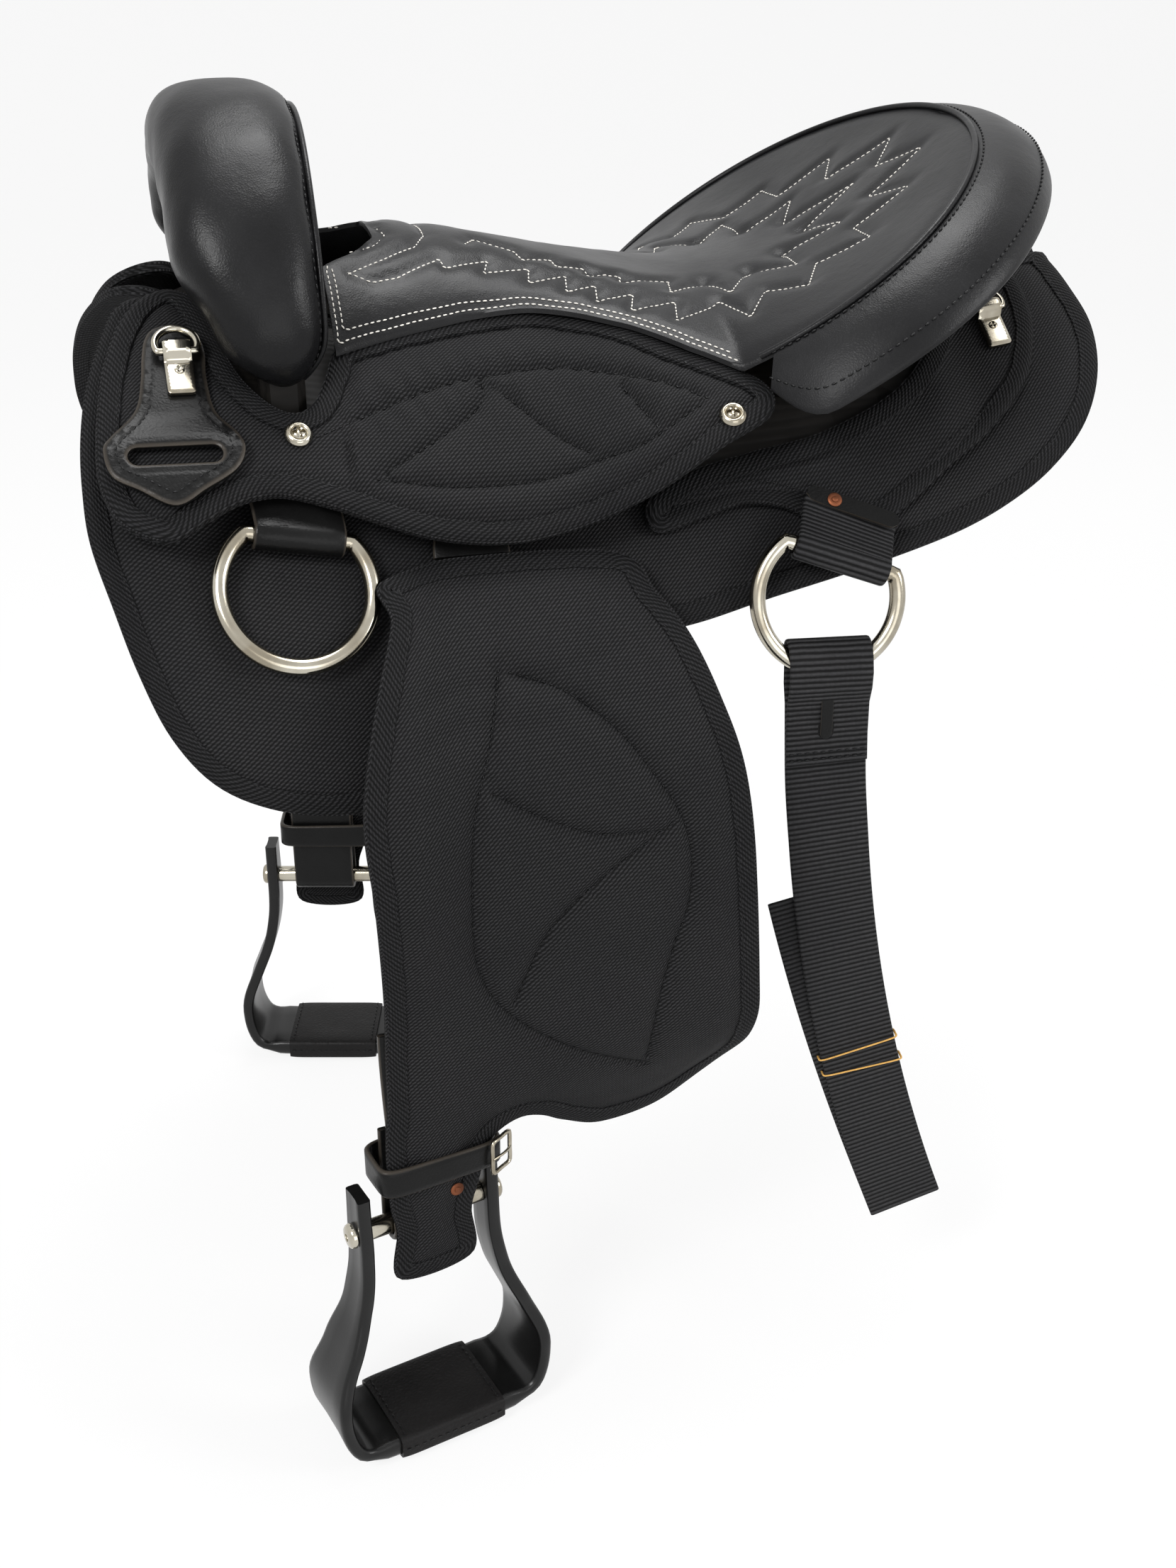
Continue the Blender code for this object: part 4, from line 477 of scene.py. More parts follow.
def stuff(kind):
    """The material of a kind, made the first time it is asked for."""
    if kind in STUFF:
        return STUFF[kind]
    c = colours()
    if kind == "leather":
        # Drum-dyed full-grain leather: pebbles near 1.6 mm (drawn coarser than real), half gloss
        made = leather_material("full_grain_leather", tuple(c.leather), 0.34, 0.0016, 0.00022)
    elif kind == "bridle":
        # Bridle leather, waxed and rubbed light on its cut edges
        made = leather_material("bridle_leather", linear("#0e0e0e"), 0.30, 0.0024, 0.00022,
                                linear("#4a443d"))
    elif kind == "pebbled":
        # Embossed leather on the treads: coarse pebbles that catch the light
        made = leather_material("embossed_leather", linear("#131212"), 0.46, 0.0030, 0.00060)
    elif kind == "nylon":
        # Woven nylon: twill ribs 2.6 mm apart, drawn coarser than the real 1.2 mm to show
        made = cloth_material("woven_nylon_twill", tuple(c.nylon), 0.0026, 0.0022, 0.00050, 3.2)
    elif kind == "binding":
        # Nylon twill tape: darker than the panels, its ribs run across the tape
        made = cloth_material("nylon_twill_tape", tuple(c.binding), 0.0034, 0.0018, 0.00060, 3.4)
    elif kind == "webbing":
        # Nylon webbing: a cross rib every 2.2 mm and warp threads along it
        made = cloth_material("nylon_webbing", linear("#1b1b1c"), 0.0034, 0.0030, 0.00090, 3.4,
                              slope=0.0,
                              roughness=0.62)
    elif kind == "nickel":
        # Nickel-plated steel, polished, with warm tarnish in patches
        made = metal_material("nickel_plated_steel", tuple(c.metal), 0.14, linear("#948c7c"))
    elif kind == "brass":
        # Brass plate, dulled
        made = metal_material("brass_plate", linear("#c2a468"), 0.32, linear("#7d6a42"))
    elif kind == "copper":
        # Copper rivets, brushed by wear
        made = metal_material("copper_rivet", linear("#8f573c"), 0.48, linear("#5c3a2b"))
    elif kind == "white_thread":
        # Bonded nylon thread, white
        made = thread_material("white_nylon_thread", tuple(c.thread), 0.60)
    elif kind == "black_thread":
        # Bonded nylon thread, black with a slight shine
        made = thread_material("black_nylon_thread", linear("#0e0e0f"), 0.40)
    elif kind == "stirrup":
        # Glass-filled nylon, moulded: satin black with a fine spark-eroded texture
        made = plain_material("moulded_nylon", linear("#0b0b0b"), 0.30, 900.0, 0.25, 0.00010)
    elif kind == "rubber":
        # Natural rubber bands, yellow and slightly dusty
        made = plain_material("natural_rubber", linear("#c79a52"), 0.62, 380.0, 0.18, 0.00012)
    elif kind == "slot_shade":
        # Near-black sheet laid in the slot in the webbing: painted shade standing for the shadowed
        # inside of the slot
        made = plain_material("painted_slot_shade", linear("#020202"), 0.9, 600.0, 0.30, 0.00010)
    elif kind == "foam":
        # Open-cell polyurethane foam
        made = plain_material("polyurethane_foam", linear("#b9b3a6"), 0.95, 700.0, 0.20, 0.00030)
    elif kind == "wood":
        # Pine stained black and sealed, so that it disappears under the leather
        made = wood_material("black_stained_pine", linear("#12100e"))
    elif kind == "ply":
        # Birch plywood strainer
        made = wood_material("birch_plywood", linear("#c0a074"))
    else:
        raise ValueError("no material called " + kind)
    STUFF[kind] = made
    return made


# ---------------------------------------------------------------- curves and outlines

def smooth(t):
    """Rise from 0 to 1 with flat ends."""
    t = max(0.0, min(1.0, t))
    return t * t * (3.0 - 2.0 * t)


def between(table, x):
    """Values of a short table of knots at x, eased from knot to knot."""
    if x <= table[0][0]:
        return table[0][1:]
    for low, high in zip(table, table[1:]):
        if x <= high[0]:
            k = smooth((x - low[0]) / (high[0] - low[0]))
            return tuple(a + (b - a) * k for a, b in zip(low[1:], high[1:]))
    return table[-1][1:]


def knots(table, x):
    """A smooth curve through a table of knots, without the flats of easing."""
    rows = list(table)
    if x <= rows[0][0]:
        return rows[0][1:]
    for i in range(len(rows) - 1):
        if x <= rows[i + 1][0]:
            a = rows[max(i - 1, 0)]
            b = rows[i]
            c = rows[i + 1]
            d = rows[min(i + 2, len(rows) - 1)]
            t = (x - b[0]) / (c[0] - b[0])
            values = []
            for k in range(1, len(b)):
                slope_b = (c[k] - a[k]) / (c[0] - a[0]) * (c[0] - b[0])
                slope_c = (d[k] - b[k]) / (d[0] - b[0]) * (c[0] - b[0])
                values.append((2 * t ** 3 - 3 * t * t + 1) * b[k] + (t ** 3 - 2 * t * t + t) * slope_b
                              + (3 * t * t - 2 * t ** 3) * c[k] + (t ** 3 - t * t) * slope_c)
            return tuple(values)
    return rows[-1][1:]


def curve_through(points, step, closed=False):
    """Evenly spaced points on a Catmull-Rom curve through the points."""
    count = len(points)
    pts = [Vector(p) for p in points]
    path = []
    spans = count if closed else count - 1
    for i in range(spans):
        if closed:
            a, b, c, d = (pts[(i + k) % count] for k in (-1, 0, 1, 2))
        else:
            a, b, c, d = (pts[min(max(i + k, 0), count - 1)] for k in (-1, 0, 1, 2))
        for j in range(12):
            t = j / 12
            path.append(0.5 * ((2 * b) + (c - a) * t + (2 * a - 5 * b + 4 * c - d) * t * t
                               + (3 * b - a - 3 * c + d) * t ** 3))
    path.append(pts[0].copy() if closed else pts[-1].copy())
    result = even(path, step)
    if closed:
        result.pop()
    return result


def even(path, step):
    """Points at even distances along a line of points."""
    lengths = [0.0]
    for a, b in zip(path, path[1:]):
        lengths.append(lengths[-1] + (b - a).length)
    total = lengths[-1]
    steps = max(3, round(total / step))
    result = []
    at = 0
    for i in range(steps + 1):
        goal = total * i / steps
        while at < len(lengths) - 2 and lengths[at + 1] < goal:
            at += 1
        span = lengths[at + 1] - lengths[at]
        k = 0.0 if span == 0 else (goal - lengths[at]) / span
        result.append(path[at].lerp(path[at + 1], k))
    return result


def nearest(points, line, closed=False):
    """Distance in the plane from each point to a line, and how far along it that place is."""
    pts = np.array([(p[0], p[1]) for p in line])
    a = pts if closed else pts[:-1]
    b = np.roll(pts, -1, axis=0) if closed else pts[1:]
    along = b - a
    size = (along ** 2).sum(1)
    size[size == 0] = 1e-12
    start = np.concatenate([[0.0], np.cumsum(np.sqrt(size))[:-1]])
    found = np.empty(len(points))
    where = np.empty(len(points))
    for first in range(0, len(points), 2000):
        p = points[first:first + 2000]
        off = p[:, None, :] - a[None]
        k = np.clip((off * along[None]).sum(2) / size[None], 0.0, 1.0)
        gap = np.sqrt(((off - along[None] * k[:, :, None]) ** 2).sum(2))
        best = gap.argmin(1)
        rows = np.arange(len(p))
        found[first:first + 2000] = gap[rows, best]
        where[first:first + 2000] = start[best] + k[rows, best] * np.sqrt(size[best])
    return found, where


def inside(points, loop):
    """True for the points that lie inside the closed line."""
    ring = np.array([(p[0], p[1]) for p in loop])
    after = np.roll(ring, -1, axis=0)
    x, y = points[:, 0], points[:, 1]
    hit = np.zeros(len(points), dtype=bool)
    for (ax, ay), (bx, by) in zip(ring, after):
        if ay == by:
            continue
        over = (ay > y) != (by > y)
        hit ^= over & (x < (bx - ax) * (y - ay) / (by - ay) + ax)
    return hit


def inset_loop(loop, distance):
    """The closed line moved inwards."""
    count = len(loop)
    area = sum(a.x * b.y - b.x * a.y for a, b in zip(loop, loop[1:] + loop[:1]))
    turn = 1.0 if area > 0 else -1.0
    moved = []
    for i in range(count):
        along = (loop[(i + 1) % count] - loop[i - 1]).normalized()
        moved.append(loop[i] + Vector((-along.y, along.x)) * distance * turn)
    gap = nearest(np.array([tuple(p) for p in moved]), loop, True)[0]
    return [p for p, g in zip(moved, gap) if g > distance * 0.85]


# ---------------------------------------------------------------- skins of the saddle

def spine_height(x):
    rise = FRONT_RISE if x < 0 else REAR_RISE
    return BACK_MID + rise * (x / BACK_REACH) ** 2


def back(x, u, h, side):
    """Point on the horse's back at arc length u from the spine, h above it."""
    within = min(u, BACK_ARC)
    slope = BACK_START + BACK_TURN * within
    y = (math.sin(slope) - math.sin(BACK_START)) / BACK_TURN
    z = -(math.cos(BACK_START) - math.cos(slope)) / BACK_TURN
    beyond = u - within
    y += beyond * math.cos(slope) + h * math.sin(slope)
    z += -beyond * math.sin(slope) + h * math.cos(slope)
    return Vector((x, side * y, z + spine_height(x)))


def bar_swell(x, u):
    """1 over the middle of a tree bar, easing to 0 beyond its edges."""
    reach = BAR_FADE
    along = (smooth((x - BAR_FRONT + reach * 0.4) / reach)
             * smooth((BAR_REAR + reach * 0.4 - x) / reach))
    across = smooth((u - BAR_INNER + 0.014) / 0.03) * smooth((BAR_OUTER + 0.020 - u) / 0.05)
    return along * across


def over_bars(x, u):
    """Height above the back at which a panel clears the skirt and the bars."""
    return SKIRT_THICK + LAYER + (BAR_THICK + LAYER * 1.5) * bar_swell(x, u)


def bar_top(x, u):
    return SKIRT_THICK + LAYER + BAR_THICK * bar_swell(x, u)


def jockey_skin(x, u, h, side):
    """Point on the outside of a jockey, u down from its upper edge, h outwards."""
    first, last = (math.radians(v) for v in between(JOCKEY_SLOPES, x))
    turn = (last - first) / JOCKEY_ARC
    slope = first + turn * u
    y = JOCKEY_TOP_Y + (math.sin(slope) - math.sin(first)) / turn + h * math.sin(slope)
    z = JOCKEY_TOP_Z - (math.cos(first) - math.cos(slope)) / turn + h * math.cos(slope)
    return Vector((x, side * y, z))


def dish_plane(x):
    """Height of the dish's seam."""
    return RIM_LOW + math.tan(math.radians(RIM_TILT)) * (x - RIM_START)


def rim_points(count):
    """The dish's seam from the near end over the back to the far end, in plan."""
    start = math.asin((RIM_START - RIM_CENTRE) / (RIM_REAR - RIM_CENTRE))
    points = []
    for i in range(count):
        t = start + (math.pi - 2 * start) * i / (count - 1)
        points.append(Vector((RIM_CENTRE + (RIM_REAR - RIM_CENTRE) * math.sin(t),
                              -RIM_HALF * math.cos(t))))
    return points


SEAT_MIDDLE = ((SEAT_FRONT, 0.090), (-0.106, 0.082), (-0.054, 0.072), (0.030, 0.055),
               (0.080, 0.056), (0.130, 0.072), (0.180, 0.103), (RIM_REAR, 0.139))
SEAT_EDGE = ((SEAT_FRONT, 0.100, 0.034), (-0.130, 0.088, 0.041), (-0.060, 0.080, 0.048),
             (-0.005, 0.100, 0.040), (0.025, 0.128, 0.031), (RIM_START, 0.148, RIM_LOW))


def seat_half(x):
    """Half width of the seat at x, and the height of its edge."""
    if x <= RIM_START:
        return knots(SEAT_EDGE, x)
    reach = (x - RIM_CENTRE) / (RIM_REAR - RIM_CENTRE)
    return RIM_HALF * math.sqrt(max(0.0, 1.0 - reach * reach)), dish_plane(x)


def seat_top(x, y):
    """Height of the seat's upper face."""
    half, edge = seat_half(x)
    middle = knots(SEAT_MIDDLE, x)[0]
    share = min(1.0, abs(y) / max(half, 0.001))
    return middle + (edge - middle) * share ** 2.3


def seat_place(x, y, h, side):
    """Point h above the seat's face, straight up."""
    return Vector((x, y, seat_top(x, y) + h))


def height_over(x, y, height):
    """Height of the surface that lies height(x, u) above the back, at a point in plan."""
    low = 0.0
    high = 0.5
    for _ in range(40):
        u = (low + high) / 2
        if back(x, u, height(x, u), 1).y < abs(y):
            low = u
        else:
            high = u
    return back(x, low, height(x, low), 1).z


# ---------------------------------------------------------------- mesh work

def mesh_piece(name, bm, kind, body, outwards=True):
    """Turn a bmesh into a piece that rides on a body."""
    if outwards:
        bmesh.ops.recalc_face_normals(bm, faces=bm.faces)
    mesh = bpy.data.meshes.new(name)
    bm.to_mesh(mesh)
    bm.free()
    mesh.materials.append(stuff(kind))
    mesh.shade_smooth()
    mesh.set_sharp_from_angle(angle=math.radians(50))
    made = bpy.data.objects.new(name, mesh)
    bpy.context.collection.objects.link(made)
    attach(made, body)
    return made


def padded_panel(name, body, kind, side, place, edge, low, high, step, seams=(), holes=(),
                 loops=(), edge_scale=0.006):
    """A padded sheet on a skin: place(x, u, h, side) gives points, high() its padded upper face.

    It carries a map in metres for its weave and an edge value of 0 at the rim and 1 further in.
    """
    lines = []
    for seam in seams:
        line = even([Vector(p) for p in seam], step * 0.8)
        gap = nearest(np.array([tuple(p) for p in line]), edge, True)[0]
        lines.append([p for p, g in zip(line, gap) if g > step * 0.6])
    cuts = [[Vector(p) for p in hole] for hole in holes]
    rings = [edge] + cuts + [list(loop) for loop in loops]
    verts = []
    edges = []
    for ring in rings:
        start = len(verts)
        verts += ring
        edges += [(start + i, start + (i + 1) % len(ring)) for i in range(len(ring))]
    for line in lines:
        start = len(verts)
        verts += line
        edges += [(start + i, start + i + 1) for i in range(len(line) - 1)]
    tall = step * 0.87
    rows = range(math.floor(min(p.y for p in edge) / tall),
                 math.ceil(max(p.y for p in edge) / tall) + 1)
    columns = range(math.floor(min(p.x for p in edge) / step) - 1,
                    math.ceil(max(p.x for p in edge) / step) + 1)
    grid = np.array([(step * (c + 0.5 * (r % 2)), tall * r) for r in rows for c in columns])
    grid = grid[inside(grid, edge)]
    for cut in cuts:
        grid = grid[~inside(grid, cut)]
    for ring in rings:
        grid = grid[nearest(grid, ring, True)[0] > step * 0.55]
    for line in lines:
        if len(line) > 1:
            grid = grid[nearest(grid, line)[0] > step * 0.5]
    verts += [Vector(p) for p in grid]
    found = delaunay_2d_cdt(verts, edges, [], 0, 1e-6)
    points = np.array([tuple(p) for p in found[0]])
    faces = [tuple(f) for f in found[2]]
    centres = np.array([points[list(f)].mean(0) for f in faces])
    keep = inside(centres, edge)
    for cut in cuts:
        keep &= ~inside(centres, cut)
    faces = [f for f, k in zip(faces, keep) if k]
    to_edge = nearest(points, edge, True)[0]
    for cut in cuts:
        to_edge = np.minimum(to_edge, nearest(points, cut, True)[0])
    to_seam = np.full(len(points), 1.0)
    along = np.zeros(len(points))
    for line in lines:
        if len(line) < 2:
            continue
        gap, far = nearest(points, line)
        closer = gap < to_seam
        to_seam[closer] = gap[closer]
        along[closer] = far[closer]
    bm = bmesh.new()
    map_layer = bm.loops.layers.uv.new("UVMap")
    edge_layer = bm.verts.layers.float.new("edge")
    lower = []
    upper = []
    for (x, u), e, s, a in zip(points, to_edge, to_seam, along):
        lower.append(bm.verts.new(place(x, u, low(x, u), side)))
        upper.append(bm.verts.new(place(x, u, high(x, u, e, s, a), side)))
        lower[-1][edge_layer] = 1.0
        upper[-1][edge_layer] = min(1.0, e / edge_scale)
    used = set()
    for face in faces:
        top = bm.faces.new([upper[i] for i in face])
        bottom = bm.faces.new([lower[i] for i in reversed(face)])
        for loop, i in zip(top.loops, face):
            loop[map_layer].uv = points[i]
        for loop, i in zip(bottom.loops, reversed(face)):
            loop[map_layer].uv = points[i]
        for a, b in zip(face, face[1:] + face[:1]):
            used.add((a, b))
    for a, b in used:
        if (b, a) not in used:
            wall = bm.faces.new((upper[b], upper[a], lower[a], lower[b]))
            for loop, i in zip(wall.loops, (b, a, a, b)):
                loop[map_layer].uv = points[i]
    loose = [v for v in bm.verts if not v.link_faces]
    bmesh.ops.delete(bm, geom=loose, context="VERTS")
    return mesh_piece(name, bm, kind, body)


def swept(name, rings, kind, body, closed=False, worn=None):
    """A piece through rings of points, mapped in metres: along first, then round the section."""
    bm = bmesh.new()
    map_layer = bm.loops.layers.uv.new("UVMap")
    edge_layer = bm.verts.layers.float.new("edge")
    made = []
    for ring in rings:
        made.append([bm.verts.new(p) for p in ring])
        for k, v in enumerate(made[-1]):
            v[edge_layer] = worn[k] if worn else 1.0
    count = len(rings[0])
    along = [0.0]
    for low, high in zip(rings, rings[1:] + rings[:1]):
        along.append(along[-1] + (high[0] - low[0]).length)
    widest = max(rings, key=lambda r: sum((a - b).length for a, b in zip(r, r[1:])))
    around = [0.0]
    for k in range(count):
        around.append(around[-1] + (widest[(k + 1) % count] - widest[k]).length)
    total = len(rings) if closed else len(rings) - 1
    for i in range(total):
        low = made[i]
        high = made[(i + 1) % len(rings)]
        for k in range(count):
            j = (k + 1) % count
            face = bm.faces.new((low[k], low[j], high[j], high[k]))
            marks = ((i, k), (i, k + 1), (i + 1, k + 1), (i + 1, k))
            for loop, (a, b) in zip(face.loops, marks):
                loop[map_layer].uv = (along[a], around[b])
    if not closed:
        bm.faces.new(list(reversed(made[0])))
        bm.faces.new(made[-1])
    return mesh_piece(name, bm, kind, body)


def rod_rings(path, radius, sides=14, closed=False, flat=1.0):
    """Rings of a round bar along a path."""
    count = len(path)
    rings = []
    normal = None
    for i in range(count):
        if closed:
            along = (path[(i + 1) % count] - path[i - 1]).normalized()
        else:
            along = (path[min(i + 1, count - 1)] - path[max(i - 1, 0)]).normalized()
        if normal is None:
            normal = along.orthogonal().normalized()
        normal = (normal - along * normal.dot(along)).normalized()
        other = along.cross(normal)
        rings.append([path[i] + normal * radius * math.cos(2 * math.pi * k / sides)
                      + other * radius * flat * math.sin(2 * math.pi * k / sides)
                      for k in range(sides)])
    return rings


def turned(name, profile, centre, axis, kind, body, sides=40):
    """A piece turned about an axis: profile of (radius, height) from bottom to top."""
    turn = axis.to_track_quat("Z", "Y").to_matrix()
    rings = []
    for radius, height in profile:
        rings.append([centre + turn @ Vector((radius * math.cos(2 * math.pi * k / sides),
                                              radius * math.sin(2 * math.pi * k / sides), height))
                      for k in range(sides)])
    return swept(name, rings, kind, body)


RIBBON = ((-1, -0.35), (-0.985, -0.75), (-0.94, -1), (-0.6, -1), (-0.3, -1), (0, -1), (0.3, -1),
          (0.6, -1),
          (0.94, -1), (0.985, -0.75), (1, -0.35), (1, 0.35), (0.985, 0.75), (0.94, 1), (0.6, 1),
          (0.3, 1),
          (0, 1), (-0.3, 1), (-0.6, 1), (-0.94, 1), (-0.985, 0.75), (-1, 0.35))
RIBBON_WORN = [0.0 if abs(a) > 0.98 else (0.35 if abs(a) > 0.9 else 1.0) for a, b in RIBBON]


def ribbon(name, path, across, width, thick, kind, body, shares=None, waves=None):
    """A flat strap along a path; across gives its width direction, shares its width."""
    rings = []
    count = len(path)
    for i in range(count):
        along = (path[min(i + 1, count - 1)] - path[max(i - 1, 0)]).normalized()
        wide = (across[i] - along * across[i].dot(along)).normalized()
        up = wide.cross(along)
        half = width / 2 * (shares[i] if shares else 1.0)
        lift = waves(i) if waves else 0.0
        rings.append([path[i] + wide * half * a + up * (thick / 2 * b + lift * (1 - a * a)) for a,
                      b in RIBBON])
    return swept(name, rings, kind, body, worn=RIBBON_WORN)


def binding(name, body, side, place, edge, low, high, width):
    """Twill tape folded over the rim of a panel, as one closed band round it."""
    count = len(edge)
    area = sum(a.x * b.y - b.x * a.y for a, b in zip(edge, edge[1:] + edge[:1]))
    turn = 1.0 if area > 0 else -1.0
    rings = []
    for i, p in enumerate(edge):
        along = (edge[(i + 2) % count] - edge[i - 2]).normalized()
        inward = Vector((-along.y, along.x)) * turn
        under = low(p.x, p.y)
        over = high(p.x, p.y) if callable(high) else high
        wave = 0.00025 * math.sin(i * 1.9) + 0.0002 * math.sin(i * 0.83)
        section = ((width, over - 0.0016), (width - 0.0005, over + 0.0004),
                   (width * 0.6, over + 0.0010),
                   (0.0040, over + 0.0008), (0.0014, over - 0.0003), (0.0001, over - 0.0018),
                   (-0.0004, (over + under) / 2), (0.0002, under + 0.0012),
                   (0.0020, under + 0.0001),
                   (width * 0.7, under + 0.0001), (width * 0.7, over - 0.0020))
        ring = []
        for a, h in section:
            q = p + inward * (a + (wave if a > 0.006 else 0.0))
            ring.append(place(q.x, q.y, h, side))
        rings.append(ring)
    return swept(name, rings, "binding", body, closed=True)


# ---------------------------------------------------------------- stitches and studs

def stitch_tree():
    """Geometry nodes: stitches of a given length, width and spacing along each line."""
    found = bpy.data.node_groups.get("stitch_row")
    if found:
        return found
    tree = bpy.data.node_groups.new("stitch_row", "GeometryNodeTree")
    face = tree.interface
    face.new_socket("Lines", in_out="INPUT", socket_type="NodeSocketGeometry")
    for label in ("Length", "Width", "Spacing", "Sink"):
        face.new_socket(label, in_out="INPUT", socket_type="NodeSocketFloat")
    face.new_socket("Thread", in_out="INPUT", socket_type="NodeSocketMaterial")
    face.new_socket("Stitches", in_out="OUTPUT", socket_type="NodeSocketGeometry")
    start = add_node(tree, "NodeGroupInput")
    given = start.outputs
    curve = add_node(tree, "GeometryNodeMeshToCurve", links={"Mesh": given["Lines"]})
    marks = add_node(tree, "GeometryNodeResampleCurve",
                     links={"Curve": curve.outputs["Curve"], "Length": given["Spacing"]},
                     mode="LENGTH")
    ball = add_node(tree, "GeometryNodeMeshUVSphere", {"Segments": 8, "Rings": 5, "Radius": 0.5})
    size = add_node(tree, "ShaderNodeCombineXYZ",
                    links={"X": given["Length"], "Y": given["Width"], "Z": given["Width"]})
    stitch = add_node(tree, "GeometryNodeTransform",
                      links={"Geometry": ball.outputs["Mesh"], "Scale": size.outputs["Vector"]})
    tangent = add_node(tree, "GeometryNodeInputTangent")
    normal = add_node(tree, "GeometryNodeInputNamedAttribute", {"Name": "skin_normal"},
                      data_type="FLOAT_VECTOR")
    first = add_node(tree, "FunctionNodeAlignRotationToVector",
                     links={"Vector": tangent.outputs["Tangent"]},
                     axis="X")
    second = add_node(tree, "FunctionNodeAlignRotationToVector",
                      links={"Rotation": first.outputs["Rotation"],
                             "Vector": normal.outputs["Attribute"]},
                      axis="Z", pivot_axis="X")
    placed = add_node(tree, "GeometryNodeInstanceOnPoints",
                      links={"Points": marks.outputs["Curve"],
                             "Instance": stitch.outputs["Geometry"],
                             "Rotation": second.outputs["Rotation"]})
    lift = add_node(tree, "ShaderNodeVectorMath", links={0: normal.outputs["Attribute"]},
                    operation="SCALE")
    tree.links.new(given["Sink"], lift.inputs["Scale"])
    moved = add_node(tree, "GeometryNodeSetPosition",
                     links={"Geometry": marks.outputs["Curve"], "Offset": lift.outputs["Vector"]})
    tree.links.new(moved.outputs["Geometry"], placed.inputs["Points"])
    whole = add_node(tree, "GeometryNodeRealizeInstances",
                     links={"Geometry": placed.outputs["Instances"]})
    soft = add_node(tree, "GeometryNodeSetShadeSmooth",
                    links={"Geometry": whole.outputs["Geometry"]})
    last = add_node(tree, "GeometryNodeSetMaterial",
                    links={"Geometry": soft.outputs["Geometry"], "Material": given["Thread"]})
    add_node(tree, "NodeGroupOutput", links={"Stitches": last.outputs["Geometry"]})
    return tree


def stud_tree():
    """Geometry nodes: the same small object, such as a rivet, on each point along its normal."""
    found = bpy.data.node_groups.get("studs_on_points")
    if found:
        return found
    tree = bpy.data.node_groups.new("studs_on_points", "GeometryNodeTree")
    face = tree.interface
    face.new_socket("Points", in_out="INPUT", socket_type="NodeSocketGeometry")
    face.new_socket("Stud", in_out="INPUT", socket_type="NodeSocketObject")
    face.new_socket("Metal", in_out="INPUT", socket_type="NodeSocketMaterial")
    face.new_socket("Studs", in_out="OUTPUT", socket_type="NodeSocketGeometry")
    start = add_node(tree, "NodeGroupInput")
    shape = add_node(tree, "GeometryNodeObjectInfo", links={"Object": start.outputs["Stud"]})
    normal = add_node(tree, "GeometryNodeInputNamedAttribute", {"Name": "skin_normal"},
                      data_type="FLOAT_VECTOR")
    turn = add_node(tree, "FunctionNodeAlignRotationToVector",
                    links={"Vector": normal.outputs["Attribute"]}, axis="Z")
    points = add_node(tree, "GeometryNodeMeshToPoints", links={"Mesh": start.outputs["Points"]})
    placed = add_node(tree, "GeometryNodeInstanceOnPoints",
                      links={"Points": points.outputs["Points"],
                             "Instance": shape.outputs["Geometry"],
                             "Rotation": turn.outputs["Rotation"]})
    whole = add_node(tree, "GeometryNodeRealizeInstances",
                     links={"Geometry": placed.outputs["Instances"]})
    last = add_node(tree, "GeometryNodeSetMaterial",
                    links={"Geometry": whole.outputs["Geometry"],
                           "Material": start.outputs["Metal"]})
    add_node(tree, "NodeGroupOutput", links={"Studs": last.outputs["Geometry"]})
    return tree


def by_nodes(name, lines, normals, tree, inputs, body):
    """Run a node tree on lines of points with normals, and keep the result as a plain mesh."""
    mesh = bpy.data.meshes.new(name + "_lines")
    verts = []
    edges = []
    for line in lines:
        start = len(verts)
        verts += [tuple(p) for p in line]
        edges += [(start + i, start + i + 1) for i in range(len(line) - 1)]
    mesh.from_pydata(verts, edges, [])
    layer = mesh.attributes.new("skin_normal", "FLOAT_VECTOR", "POINT")
    layer.data.foreach_set("vector", [c for row in normals for n in row for c in n])
    lines_object = bpy.data.objects.new(name + "_lines", mesh)
    bpy.context.collection.objects.link(lines_object)
    change = lines_object.modifiers.new("rows", "NODES")
    change.node_group = tree
    for item in tree.interface.items_tree:
        if item.in_out == "INPUT" and item.name in inputs:
            change[item.identifier] = inputs[item.name]
    bpy.context.view_layer.update()
    view = bpy.context.evaluated_depsgraph_get()
    result = bpy.data.meshes.new_from_object(lines_object.evaluated_get(view))
    bpy.data.objects.remove(lines_object)
    result.name = name
    if not result.vertices:
        raise RuntimeError("no stitches or studs came out for " + name)
    made = bpy.data.objects.new(name, result)
    bpy.context.collection.objects.link(made)
    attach(made, body)
    return made


def on_skin(place, line, height, side):
    """Points and normals of a flat line laid on a skin."""
    points = []
    normals = []
    step = 0.0015
    for p in line:
        points.append(place(p.x, p.y, height(p.x, p.y), side))
        a = place(p.x + step, p.y, height(p.x + step, p.y), side) - place(p.x - step, p.y,
                height(p.x - step, p.y), side)
        b = place(p.x, p.y + step, height(p.x, p.y + step), side) - place(p.x, p.y - step,
                height(p.x, p.y - step), side)
        n = a.cross(b).normalized()
        up = place(p.x, p.y, height(p.x, p.y) + 0.01, side) - points[-1]
        normals.append(n if n.dot(up) > 0 else -n)
    return points, normals


def stitches(name, body, rows, kind, length, width, pitch, sink=0.0):
    """Stitches along rows of (points, normals)."""
    rows = [row for row in rows if len(row[0]) > 1]
    return by_nodes(name, [row[0] for row in rows], [row[1] for row in rows], stitch_tree(),
                    {"Length": length, "Width": width, "Spacing": pitch, "Sink": sink,
                     "Thread": stuff(kind)},
                    body)


